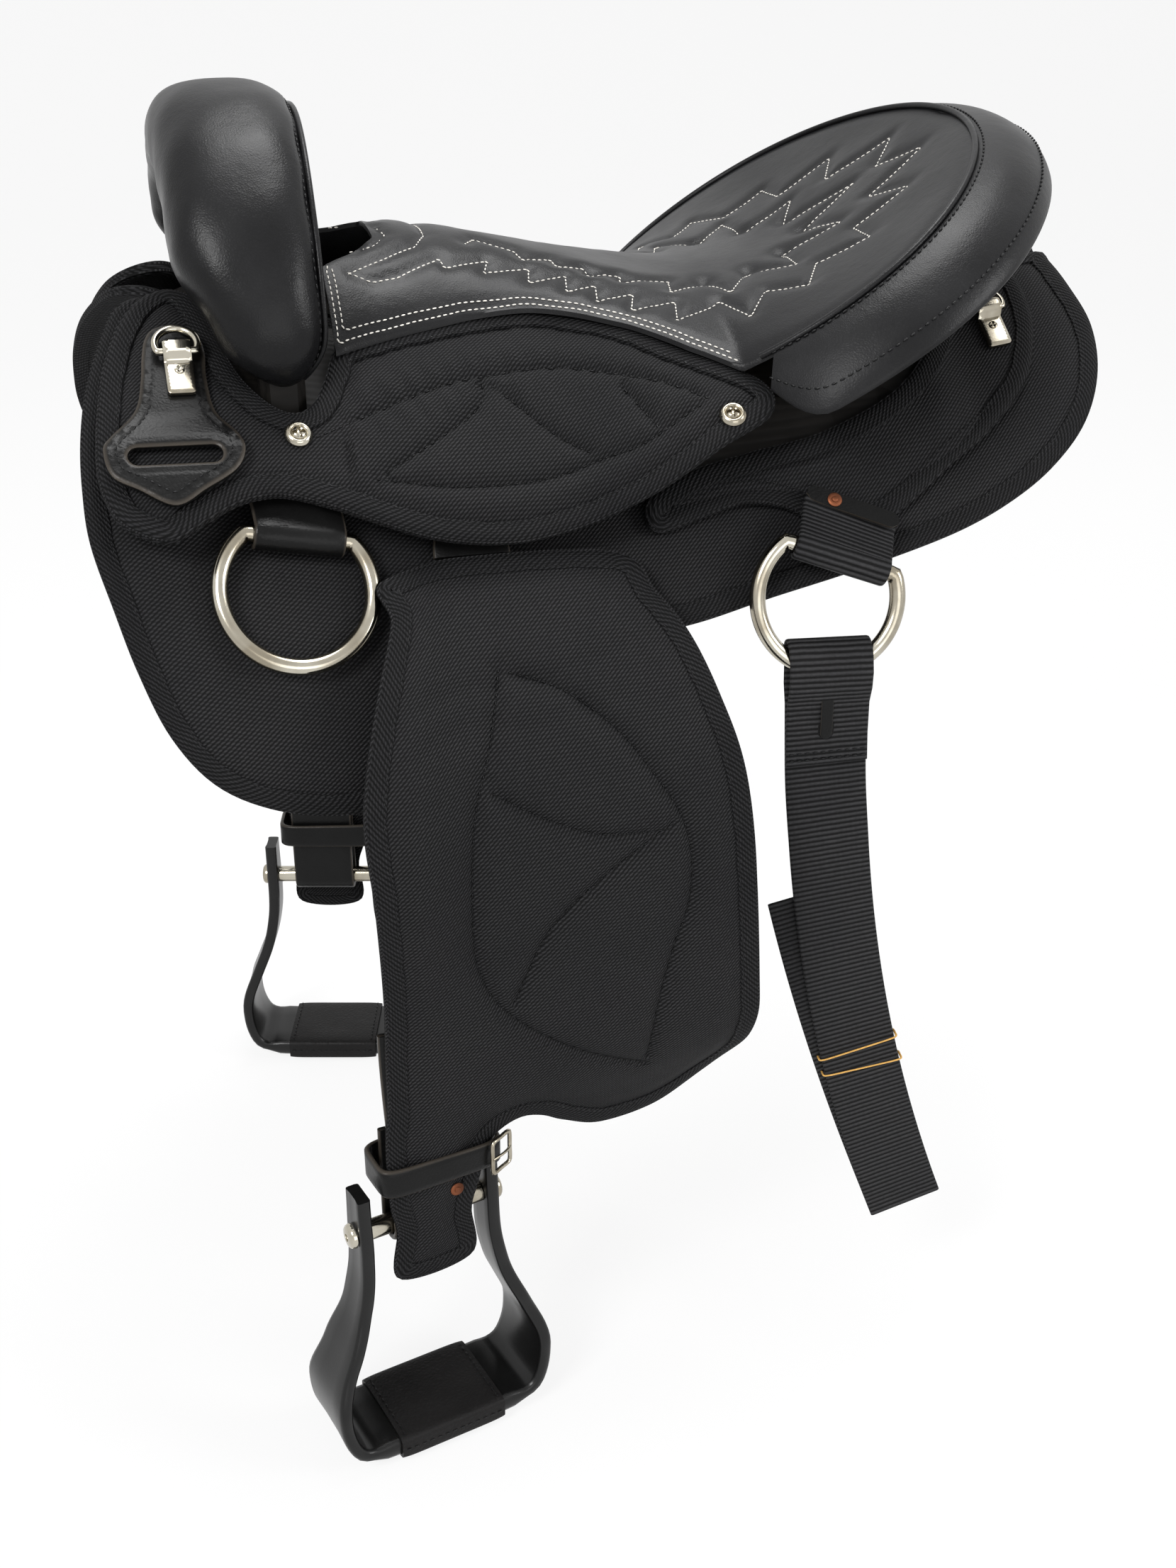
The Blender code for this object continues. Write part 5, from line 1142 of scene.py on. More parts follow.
def pattern_shape(name, profile, sides=28):
    """A small turned shape at the origin that node trees repeat."""
    bm = bmesh.new()
    rings = []
    for radius, height in profile:
        rings.append([bm.verts.new((radius * math.cos(2 * math.pi * k / sides),
                                    radius * math.sin(2 * math.pi * k / sides),
                                    height)) for k in range(sides)])
    for low, high in zip(rings, rings[1:]):
        for k in range(sides):
            j = (k + 1) % sides
            bm.faces.new((low[k], low[j], high[j], high[k]))
    bm.faces.new(list(reversed(rings[0])))
    bm.faces.new(rings[-1])
    bmesh.ops.recalc_face_normals(bm, faces=bm.faces)
    mesh = bpy.data.meshes.new(name)
    bm.to_mesh(mesh)
    bm.free()
    mesh.shade_smooth()
    mesh.set_sharp_from_angle(angle=math.radians(40))
    return bpy.data.objects.new(name, mesh)


RIVET = ((0.0001, -0.0006), (0.0042, -0.0006), (0.0044, 0.0001), (0.0041, 0.0005), (0.0029, 0.0008),
         (0.0020, 0.0007), (0.0018, 0.0012), (0.0012, 0.0015), (0.0001, 0.0016))


def rivets(name, body, places):
    """Copper rivets with their burr on points with normals."""
    shape = pattern_shape(name + "_shape", RIVET)
    made = by_nodes(name, [[p] for p, n in places], [[n] for p, n in places], stud_tree(),
                    {"Stud": shape, "Metal": stuff("copper")}, body)
    bpy.data.objects.remove(shape)
    return made


# ---------------------------------------------------------------- the seat

# The stitched pattern, in millimetres on the near half of the seat
WAIST_OUTER = ((-159, -62), (-147, -66), (-131, -62), (-104, -47), (-102, -54), (-75, -44),
               (-79, -55),
               (-51, -48), (-54, -62), (-30, -54), (-33, -70), (-14, -63), (-17, -79), (7, -71),
               (1, -89), (30, -81), (25, -102), (56, -86), (66, -115), (82, -93), (102, -112),
               (116, -86), (146, -94), (147, -66), (182, -64), (168, -36), (207, -24), (188, 0))
WAIST_INNER = ((-84, -25), (-77, -15), (-55, -25), (-52, -37), (-34, -32), (-32, -42), (-15, -38),
               (-13, -46), (7, -42), (5, -50), (36, -47), (32, -66), (57, -52), (66, -78),
               (86, -50),
               (110, -70), (112, -38), (148, -44), (133, -16), (172, 0))
FRONT_CURVES = (((-135, -8), (-132, -24), (-139, -36), (-155, -44)),
                ((-107, 0), (-108, -19), (-116, -36), (-137, -50), (-159, -62)))
TUFTS = ((57, -52), (86, -50), (112, -38), (133, -16), (5, -50), (-13, -46))


def seat_outline(inset):
    """The seat's outline in plan, from the front left corner round to the right one."""
    line = []
    for x in (SEAT_FRONT, -0.152, -0.130, -0.095, -0.060, -0.030, -0.005, 0.010, 0.025):
        if x == SEAT_FRONT:
            line.append(Vector((x + inset, -knots(SEAT_EDGE, x)[0] + inset)))
        else:
            line.append(Vector((x, -knots(SEAT_EDGE, x)[0] + inset)))
    for p in rim_points(41):
        inward = Vector((RIM_CENTRE * 0.8, 0.0)) - p
        line.append(p + inward.normalized() * inset)
    right = [Vector((p.x, -p.y)) for p in reversed(line[:9])]
    line += right
    line += [Vector((SEAT_FRONT + inset, HAND_HOLE_HALF + 0.014)),
             Vector((HAND_HOLE_REAR - 0.012 + inset, HAND_HOLE_HALF + inset * 0.5)),
             Vector((HAND_HOLE_REAR + inset, HAND_HOLE_HALF - 0.016)),
             Vector((HAND_HOLE_REAR + inset, -HAND_HOLE_HALF + 0.016)),
             Vector((HAND_HOLE_REAR - 0.012 + inset, -HAND_HOLE_HALF - inset * 0.5)),
             Vector((SEAT_FRONT + inset, -HAND_HOLE_HALF - 0.014))]
    return line


def seat_edge(inset, step):
    """The seat's outline with rounded corners, close enough for a smooth edge."""
    return curve_through(even(seat_outline(inset) + seat_outline(inset)[:1], 0.008)[:-1], step,
                         True)


def pattern_lines():
    lines = []
    for side in (1, -1):
        for line in (WAIST_OUTER, WAIST_INNER) + FRONT_CURVES:
            lines.append([Vector((x / 1000.0, side * y / 1000.0)) for x, y in line])
    return lines


def edge_row(edge, inset, x_end):
    """Near row of stitches: from the hand hole round the corner, then along the lower edge."""
    loop = inset_loop(edge, inset)
    corner = Vector((SEAT_FRONT, -HAND_HOLE_HALF - 0.014))
    first = min(range(len(loop)), key=lambda i: (loop[i] - corner).length)
    line = []
    for p in loop[first:] + loop[:first]:
        if p.x > x_end:
            return line
        line.append(p)


SEAT_UNDER = -SEAT_LEATHER - SEAT_DRAWN
SEAT_ROWS = ((0.0024, 0.049), (0.0058, 0.047))


def seat_height(x, y, edge, tuft, row, star):
    """Face of the seat leather over its foam: crowned between the sewn lines."""
    drawn = SEAT_DRAWN * (1.0 - smooth(edge / 0.010))
    dip = sizes().seat_tuft * (math.exp(-(tuft / 0.0055) ** 2)
                               + 0.55 * math.exp(-(tuft / 0.0017) ** 2))
    crease = 0.0006 * math.exp(-(row / 0.0016) ** 2)
    button = 0.0022 * math.exp(-(star / 0.0080) ** 2)
    fold = 0.0005 * math.sin(x * 61.0 + y * 23.0) * math.sin(y * 47.0 - x * 19.0)
    return -drawn - dip - crease - button + fold * smooth(edge / 0.03)


def make_seat():
    edge = seat_edge(0.0, 0.0030)
    pattern = pattern_lines()
    rows = [edge_row(edge, inset, x) for inset, x in SEAT_ROWS]
    rows += [[Vector((p.x, -p.y)) for p in row] for row in rows]
    stars = [Vector((x / 1000.0, side * y / 1000.0)) for x, y in TUFTS for side in (-1, 1)]

    # Distances are looked up on a fine grid, because the face is also asked for beside its points
    span = 0.0012
    xs = np.arange(-0.180, 0.236, span)
    ys = np.arange(-0.172, 0.172 + span, span)
    grid = np.array([(x, y) for x in xs for y in ys])
    to_pattern = np.min([nearest(grid, line)[0] for line in pattern], axis=0).reshape(len(xs),
                                                                                      len(ys))
    to_row = np.min([nearest(grid, line)[0] for line in rows], axis=0).reshape(len(xs), len(ys))
    to_edge = nearest(grid, edge, True)[0].reshape(len(xs), len(ys))
    to_star = np.min([np.hypot(grid[:, 0] - p.x, grid[:, 1] - p.y) for p in stars],
                     axis=0).reshape(len(xs), len(ys))

    def look(table, x, y):
        i = min(max((x - xs[0]) / span, 0.0), len(xs) - 1.001)
        j = min(max((y - ys[0]) / span, 0.0), len(ys) - 1.001)
        a, b = int(i), int(j)
        s, t = i - a, j - b
        return ((table[a, b] * (1 - s) + table[a + 1, b] * s) * (1 - t)
                + (table[a, b + 1] * (1 - s) + table[a + 1, b + 1] * s) * t)

    def face(x, y):
        return seat_height(x, y, look(to_edge, x, y), look(to_pattern, x, y), look(to_row, x, y),
                           look(to_star, x, y))

    cover = padded_panel("seat_leather_cover", "saddle", "leather", 1, seat_place, edge,
                         lambda x, y: SEAT_UNDER, lambda x, y, e, s,
                         a: face(x, y) if e > 0.0002 else -0.0022,
                         0.0036, loops=[inset_loop(edge, 0.0014), inset_loop(edge, 0.0034)])
    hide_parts("seat_cover")
    white = []
    for line in pattern:
        white.append(on_skin(seat_place, even(line, 0.0015), face, 1))
    for row in rows:
        white.append(on_skin(seat_place, even(row, 0.0015), face, 1))
    s = sizes()
    stitches("seat_white_stitching", "saddle", white, "white_thread", s.stitch_length,
             s.stitch_width,
             s.stitch_pitch, 0.0003)
    pad_edge = curve_through(foam_outline(), 0.010, True)
    pad = padded_panel("seat_foam_pad", "saddle", "foam", 1, seat_place, pad_edge,
                       lambda x, y: FOAM_UNDER, lambda x, y, e, s,
                       a: FOAM_TOP - 0.002 * (1 - smooth(e / 0.012)),
                       0.010)
    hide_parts("seat_foam")


FOAM_TOP = SEAT_UNDER - LAYER * 3
FOAM_UNDER = FOAM_TOP - SEAT_FOAM
FOAM_INSET = 0.027


def foam_outline():
    """The seat's outline drawn in, and cut short behind the hand hole."""
    near = [Vector((x, -knots(SEAT_EDGE, x)[0] + FOAM_INSET))
            for x in (HAND_HOLE_REAR + 0.012, -0.095, -0.060, -0.030, -0.005, 0.025)]
    dish = []
    for p in rim_points(27):
        dish.append(p + (Vector((RIM_CENTRE * 0.8, 0.0)) - p).normalized() * FOAM_INSET)
    far = [Vector((p.x, -p.y)) for p in reversed(near)]
    return near + dish + far


# ---------------------------------------------------------------- the cantle

CANTLE_BACK_INSET = 0.006
CANTLE_FOOT = 0.68


def wall_line(p, inset):
    """One slanting line of the wall under the dish, from its upper end to its foot on the bars."""
    inward = (Vector((RIM_CENTRE * 0.8, 0.0)) - p).normalized()
    top = p + inward * (CANTLE_BACK_INSET + inset)
    low = Vector((RIM_CENTRE + (p.x - RIM_CENTRE) * (CANTLE_FOOT + 0.07), p.y * CANTLE_FOOT))
    low += inward * inset
    upper = Vector((top.x, top.y, seat_top(top.x, top.y) + SEAT_UNDER - LAYER))
    lower = Vector((low.x, low.y, height_over(low.x, low.y, bar_top) + LAYER * 1.5))
    return upper, lower


ROLL_SECTION = ((0.0, -1.0), (0.0, 0.0), (0.20, 0.70), (0.45, 1.0), (0.70, 0.70), (0.90, -0.10),
                (1.0, -1.0), (0.93, -1.0), (0.70, -0.45), (0.45, -0.35))


def roll_ring(points, i):
    """Section of the cantle roll at one point of the dish's seam, smoothed."""
    p = points[i]
    before = points[max(i - 1, 0)]
    after = points[min(i + 1, len(points) - 1)]
    along = (after - before).normalized()
    out = Vector((along.y, -along.x))
    share = (p.x - RIM_START) / (RIM_REAR - RIM_START)
    lean = math.radians(62 - 50 * max(share, 0.0) ** 0.8)
    width = ROLL_WIDTH * (0.16 + 0.84 * smooth(share / 0.24))
    size = width / ROLL_WIDTH
    start = Vector((p.x + out.x * 0.0008, p.y + out.y * 0.0008, dish_plane(p.x) - 0.002))
    ahead = Vector((out.x * math.cos(lean), out.y * math.cos(lean), -math.sin(lean)))
    ring = []
    for k, (a, crown) in enumerate(ROLL_SECTION):
        lift = crown * ROLL_CROWN * size if k in (1, 2, 3, 4, 5) else 0.0
        if k in (0, 6, 7, 8, 9):
            top = 1.0 - (2 * a - 1) ** 2
            lift = top * ROLL_CROWN * size - ROLL_THICK * size * (0.55 + 0.45 * top)
        ring.append(start + ahead * width * a + Vector((0, 0, lift)))
    return ring, start, ahead, width, size


def make_cantle():
    points = rim_points(121)[4:-4]
    rings = []
    seam = []
    outer_seam = []
    for i in range(len(points)):
        ring, start, ahead, width, size = roll_ring(points, i)
        fine = curve_through(ring,
                (sum((a - b).length for a, b in zip(ring, ring[1:] + ring[:1]))) / 40.0, True)
        while len(fine) > 40:
            fine.pop()
        while len(fine) < 40:
            fine.append(fine[-1].lerp(fine[0], 0.5))
        rings.append(fine)
        up = Vector((0, 0, 1))
        face = (up + ahead * 0.2).normalized()
        seam.append((start + ahead * width * 0.09 + up * (ROLL_CROWN * size * 0.42 + 0.0005), face))
        outer_seam.append((start + ahead * width * 0.86 + up * (ROLL_CROWN * size * 0.16 + 0.0006),
                           (up + ahead * 0.9).normalized()))
    roll = swept("cantle_roll_leather", rings, "leather", "saddle")
    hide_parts("cantle_roll")
    stitches("cantle_stitching", "saddle",
             [([p for p, n in row], [n for p, n in row]) for row in (seam, outer_seam)],
             "black_thread", 0.0036, 0.0013, 0.0050)
    cord = [Vector((p.x, p.y, dish_plane(p.x) - 0.0006)) for p in rim_points(161)[3:-3]]
    swept("dish_piping", rod_rings(cord, 0.0019, 12), "leather", "saddle")
    outer = [wall_line(p, 0.0) for p in rim_points(109)[12:-12]]
    inner = [wall_line(p, CANTLE_LEATHER) for p in rim_points(109)[12:-12]]
    rings = []
    for (a, b), (c, d) in zip(outer, inner):
        face = (a - c).normalized()
        front = [a.lerp(b, t) + face * 0.0005 * math.sin(math.pi * t) for t in (0, .04, .2, .4, .6,
                                                                                .8, .96, 1)]
        rings.append(front + [d, c.lerp(d, 0.5), c])
    wall = swept("cantle_back_leather", rings, "leather", "saddle")
    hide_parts("cantle_back")


# ---------------------------------------------------------------- the pommel

ARCH_SIDES = ((0.0, -0.262, -0.176), (60.0, -0.260, -0.179), (90.0, -0.240, -0.180),
              (103.0, -0.224, -0.186))


def arch_frame(turn):
    """Centre, outward direction and the fore and aft limits at an angle from the crown."""
    t = math.radians(turn)
    centre = Vector((0.0, ARCH_HALF * math.sin(t), ARCH_BASE + ARCH_RISE * math.cos(t)))
    out = Vector((0.0, math.sin(t) / ARCH_HALF, math.cos(t) / ARCH_RISE)).normalized()
    front, rear = between(ARCH_SIDES, abs(turn))
    return centre, out, front, rear


def cover_point(turn, around, grow=0.0):
    """Point of the pommel's leather: turn from the crown, around its section."""
    centre, out, front, rear = arch_frame(turn)
    tip = max(0.0, (abs(turn) - 84.0) / (ARCH_END - 84.0))
    size = math.sqrt(max(0.0, 1.0 - tip * tip * 0.93))
    middle = (front + rear) / 2
    half = (rear - front) / 2 * size + grow
    t = math.radians(around)
    c = math.copysign(abs(math.cos(t)) ** 0.75, math.cos(t))
    s = math.copysign(abs(math.sin(t)) ** 0.75, math.sin(t))
    reach = (COVER_OUT * size if s > 0 else COVER_IN * (0.5 + 0.5 * size)) + grow
    return Vector((middle + half * c, centre.y, centre.z)) + out * reach * s


def make_pommel():
    rings = []
    turns = 150
    for i in range(turns + 1):
        turn = -ARCH_END + 2 * ARCH_END * i / turns
        ring = []
        for k in range(72):
            around = 360.0 * k / 72
            seam = math.exp(-((around - 32.0) / 5.0) ** 2) * 0.0010
            crease = 0.00035 * math.sin(turn * 0.31 + around * 0.045) * math.sin(around * 0.06)
            ring.append(cover_point(turn, around, crease - seam))
        rings.append(ring)
    cover = swept("pommel_leather_cover", rings, "leather", "saddle")
    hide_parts("fork_cover")
    cord = [cover_point(-ARCH_END + 3 + (2 * ARCH_END - 6) * i / 160, 27.0,
                        0.0006) for i in range(161)]
    swept("pommel_piping", rod_rings(cord, 0.0017, 10), "leather", "saddle")
    row = []
    for i in range(161):
        turn = -ARCH_END + 5 + (2 * ARCH_END - 10) * i / 160
        p = cover_point(turn, 36.0, -0.0004)
        row.append((p, (cover_point(turn, 36.0, 0.01) - p).normalized()))
    stitches("pommel_stitching", "saddle", [([p for p, n in row], [n for p, n in row])],
             "black_thread",
             0.0032, 0.0011, 0.0046)


# ---------------------------------------------------------------- skirts and jockeys

SKIRT_OUTLINE = metres(
    (303, 3), (262, 4), (215, 12), (170, 28), (80, 32), (-80, 32), (-180, 30), (-245, 22),
    (-272, 14), (-290, 30), (-301, 62), (-311, 98), (-317, 134), (-319, 165), (-318, 195),
    (-310, 229), (-301, 262), (-288, 294), (-268, 317), (-240, 328), (-205, 330), (-172, 322),
    (-148, 298), (-128, 262), (-100, 240), (-50, 232), (10, 228), (67, 217), (130, 207),
    (190, 196), (230, 183), (260, 167), (285, 145), (302, 115), (310, 80), (309, 45), (307, 18))
REAR_SKIRT_OUTLINE = metres(
    (212, 2), (206, 50), (188, 88), (155, 116), (108, 132), (60, 138), (20, 145), (-4, 158),
    (0, 175), (30, 168), (56, 163), (80, 168), (92, 176), (112, 182), (134, 186), (147, 182),
    (162, 174), (187, 159), (216, 143), (249, 116), (266, 84), (272, 58), (273, 27), (270, 2))
JOCKEY_OUTLINE = metres(
    (-174, 46), (-181, 62), (-190, 80), (-201, 87), (-214, 81), (-228, 62), (-237, 35),
    (-243, 10), (-250, -6), (-262, -12), (-277, -4), (-290, 16), (-299, 42), (-305, 68),
    (-309, 97), (-310, 123), (-304, 145), (-291, 157), (-276, 161), (-258, 151), (-237, 140),
    (-215, 137), (-190, 144), (-165, 154), (-140, 163), (-113, 168), (-85, 169), (-58, 165),
    (-30, 160), (-5, 155), (14, 149), (31, 142), (48, 135), (62, 126), (66, 114), (60, 102),
    (50, 94), (25, 72), (-5, 43), (-35, 28), (-60, 22), (-95, 25), (-130, 31.5), (-155, 38))
JOCKEY_SEAMS = (
    metres((-191, 103), (-127, 77), (-93, 69), (-46, 67), (-1, 87), (27, 111)),
    metres((22, 115), (-9, 126), (-35, 128), (-72, 135), (-118, 136), (-162, 130)),
    metres((-94, 75), (-102, 92), (-156, 126)),
    metres((-88, 76), (-59, 107), (-40, 122)),
    metres((-16, 86), (-2, 119)))
JOCKEY_PUFF = 0.0030


def flat_edge(outline, step):
    return curve_through([Vector(p) for p in outline], step, True)


def seam_lines(seams, step=0.003):
    return [curve_through([Vector(p) for p in seam], step) for seam in seams]


def quilting(depth, seam, along):
    """How far a quilted seam sinks: a soft valley, a tight crease and small puckers beside it."""
    valley = 0.75 * math.exp(-(seam / 0.0075) ** 2)
    crease = 0.75 * math.exp(-(seam / 0.0017) ** 2)
    pucker = 0.13 * math.cos(along * 2 * math.pi / 0.0085) * math.exp(-(seam / 0.0110) ** 2)
    return depth * (valley + crease + pucker)


def make_lower_skirt(side, tag):
    edge = flat_edge(SKIRT_OUTLINE, 0.005)
    width = sizes().binding_width

    def high(x, u, e, s, a):
        puff = SKIRT_THICK - 0.0006 + 0.0006 * math.sin(x * 37.0 + 1.0) * math.sin(u * 41.0)
        rim = BINDING_THICK - 0.0012
        return rim + (puff - rim) * smooth((e - width + 0.003) / 0.012)
    panel = padded_panel("lower_skirt_nylon_" + tag, "saddle", "nylon", side, back, edge,
                         lambda x, u: 0.0008, high, 0.0075)
    rim = binding("lower_skirt_binding_" + tag, "saddle", side, back, edge,
                  lambda x, u: 0.0, BINDING_THICK, width)
    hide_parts("lower_skirt_" + tag)
    row = inset_loop(edge, width - 0.0018)
    stitches("lower_skirt_stitching_" + tag, "saddle",
             [on_skin(back, row + row[:1], lambda x, u: BINDING_THICK + 0.0003, side)],
             "black_thread",
             0.0026, 0.0009, 0.0042)
    return rim


def rear_skirt_top(x, u):
    return over_bars(x, u) + REAR_SKIRT_THICK


def make_rear_skirt(side, tag):
    edge = flat_edge(REAR_SKIRT_OUTLINE, 0.005)
    width = sizes().binding_width

    def high(x, u, e, s, a):
        top = rear_skirt_top(x, u)
        puff = 0.0010 + 0.0004 * math.sin(x * 50.0 + u * 31.0)
        return top - 0.0012 + puff * smooth((e - width) / 0.012)
    panel = padded_panel("rear_skirt_nylon_" + tag, "saddle", "nylon", side, back, edge,
                         lambda x, u: over_bars(x, u) + 0.0008, high, 0.0070)
    binding("rear_skirt_binding_" + tag, "saddle", side, back, edge, over_bars, rear_skirt_top,
            width)
    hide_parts("rear_skirt_" + tag)
    row = inset_loop(edge, width - 0.0018)
    stitches("rear_skirt_stitching_" + tag, "saddle",
             [on_skin(back, row + row[:1], lambda x, u: rear_skirt_top(x, u) + 0.0002, side)],
             "black_thread", 0.0026, 0.0009, 0.0042)


def make_jockey(side, tag):
    edge = flat_edge(JOCKEY_OUTLINE, 0.004)
    seams = seam_lines(JOCKEY_SEAMS)
    width = sizes().binding_width
    depth = sizes().quilt_depth
    upper = seams[0]

    def free_of_seat(x, u):
        y = jockey_skin(x, u, 0.0, 1).y
        free = smooth((y - seat_half(min(x,
                                         RIM_START))[0] - 0.004) / 0.02) if x > SEAT_FRONT else 0.0
        return free * smooth((x + 0.225) / 0.05)

    def padding(x, u, e, s, a, gathers):
        free = free_of_seat(x, u)
        swell = (JOCKEY_PUFF + 0.0012) * smooth((e - width + 0.002) / 0.014)
        fold = gathers * smooth((e - width) / 0.01)
        return free * (swell - quilting(depth, s,
                a) + fold) - 0.0012 * math.exp(-((e - width) / 0.0035) ** 2) - 0.0010 * (e < width)

    def high(x, u, e, s, a):
        gap, far = nearest(np.array([(x, u)]), upper)
        over = smooth((0.112 - u) / 0.012)
        pleat = 0.0011 * math.cos(far[0] * 2 * math.pi / 0.0125 + 1.3 * math.sin(far[0] * 70.0))
        gathers = pleat * math.exp(-((gap[0] - 0.009) / 0.010) ** 2) * over
        return padding(x, u, e, s, a, gathers)
    panel = padded_panel("jockey_nylon_" + tag, "saddle", "nylon", side, jockey_skin, edge,
                         lambda x, u: -JOCKEY_THICK + 0.0008, high, 0.0040, seams=seams)
    binding("jockey_binding_" + tag, "saddle", side, jockey_skin, edge,
            lambda x, u: -JOCKEY_THICK, 0.0, width)
    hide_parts("jockey_" + tag)
    rows = []
    for line in seams:
        fine = even(line, 0.002)

        def height(x, u):
            return free_of_seat(x, u) * (JOCKEY_PUFF + 0.0012 - depth * 1.45)
        rows.append(on_skin(jockey_skin, fine, height, side))
    row = inset_loop(edge, width - 0.0018)
    rows.append(on_skin(jockey_skin, row + row[:1], lambda x, u: 0.0003, side))
    stitches("jockey_stitching_" + tag, "saddle", rows, "black_thread", 0.0030, 0.0010,
             sizes().quilt_pitch + 0.0006, 0.0002)


# ---------------------------------------------------------------- rigging

def frame_on(place, x, u, h, side):
    """Centre, fore and aft direction, downward direction and outward direction on a skin."""
    step = 0.004
    centre = place(x, u, h, side)
    aft = (place(x + step, u, h, side) - place(x - step, u, h, side)).normalized()
    down = place(x, u + step, h, side) - place(x, u - step, h, side)
    down = (down - aft * down.dot(aft)).normalized()
    out = aft.cross(down)
    if out.y * side < 0:
        out = -out
    return centre, aft, down, out


def dee_path(radius, chord, count):
    """Closed middle line of a dee: most of a circle and the straight bar that closes it."""
    start = -math.asin(chord / radius)
    half = radius * math.cos(start)
    path = []
    for i in range(count + 1):
        t = start + (math.pi - 2 * start) * i / count
        path.append(Vector((radius * math.cos(t), chord + radius * math.sin(t))))
    across = max(4, count // 3)
    path += [Vector((half * (2 * i / across - 1), 0.0)) for i in range(1, across)]
    return path


LOOP_REACH = DEE_BAR / 2 + SWING_GAP + RIG_STRAP / 2
LOOP_HEIGHT = SKIRT_THICK + LAYER + LOOP_REACH + RIG_STRAP / 2


def front_dee_frame(side):
    """Middle of the straight bar, its direction and the way the dee hangs."""
    centre, aft = frame_on(back, FRONT_DEE_X, FRONT_DEE_U, LOOP_HEIGHT, side)[:2]
    low = back(FRONT_DEE_X, FRONT_DEE_U + 0.08, LOOP_HEIGHT, side)
    down = low - centre
    down = (down - aft * down.dot(aft)).normalized()
    return centre, aft, down


def rear_dee_frame(side):
    """The rear bar lies turned on the skirt, and the dee hangs straight down from it."""
    centre, aft, down, out = frame_on(back, REAR_DEE_X, REAR_DEE_U, LOOP_HEIGHT + REAR_DEE_STAND,
                                      side)
    turn = math.radians(REAR_DEE_TURN)
    bar = (aft * math.cos(turn) + down * math.sin(turn)).normalized()
    bar = Matrix.Rotation(-side * math.radians(REAR_DEE_SWING), 3, "Z") @ bar
    hang = Vector((0.0, 0.0, -1.0))
    hang = (hang - bar * hang.dot(bar)).normalized()
    out = bar.cross(hang)
    if out.y * side < 0:
        out = -out
    lean = math.radians(REAR_DEE_LEAN)
    return centre, bar, hang * math.cos(lean) + out * math.sin(lean)


def make_dee(name, body, frame, radius, chord, bar, count, sides):
    centre, aft, down = frame
    path = [centre + aft * p.x + down * p.y for p in dee_path(radius, chord, count)]
    return swept(name, rod_rings(path, bar / 2, sides, True), "nickel", body, closed=True)


def loop_strap(name, flat, centre, bar, side, width, kind):
    """A strap along the points of flat that then wraps a dee's straight bar."""
    onward = centre - flat[-1]
    onward = (onward - bar * onward.dot(bar)).normalized()
    out = bar.cross(onward)
    if out.y * side < 0:
        out = -out
    path = [flat[0].lerp(flat[1], t) for t in (0.0, 0.33, 0.66)] + [flat[1]]
    for turn in range(115, -121, -12):
        t = math.radians(turn)
        path.append(centre + (out * math.sin(t) + onward * math.cos(t)) * LOOP_REACH)
    return ribbon(name, path, [bar] * len(path), width, RIG_STRAP, kind, "saddle")


def sewn_strip(name, place, side, line, width, height, thick, kind, body="saddle"):
    """A short leather strip on a skin, with rounded ends and a worn edge."""
    path = [place(x, u, height(x, u) + thick / 2, side) for x, u in line]
    fine = curve_through(path, 0.003)
    x, u = line[len(line) // 2]
    centre, aft, down, out = frame_on(place, x, u, 0.0, side)
    across = []
    for i in range(len(fine)):
        along = (fine[min(i + 1, len(fine) - 1)] - fine[max(i - 1, 0)]).normalized()
        across.append(along.cross(out).normalized())
    total = len(fine) - 1
    shares = [math.sqrt(max(0.15,
                            1.0 - max(0.0, 1.0 - min(i, total - i) * 0.003 / (width / 2)) ** 2))
              for i in range(total + 1)]
    return ribbon(name, fine, across, width, thick, kind, body, shares)


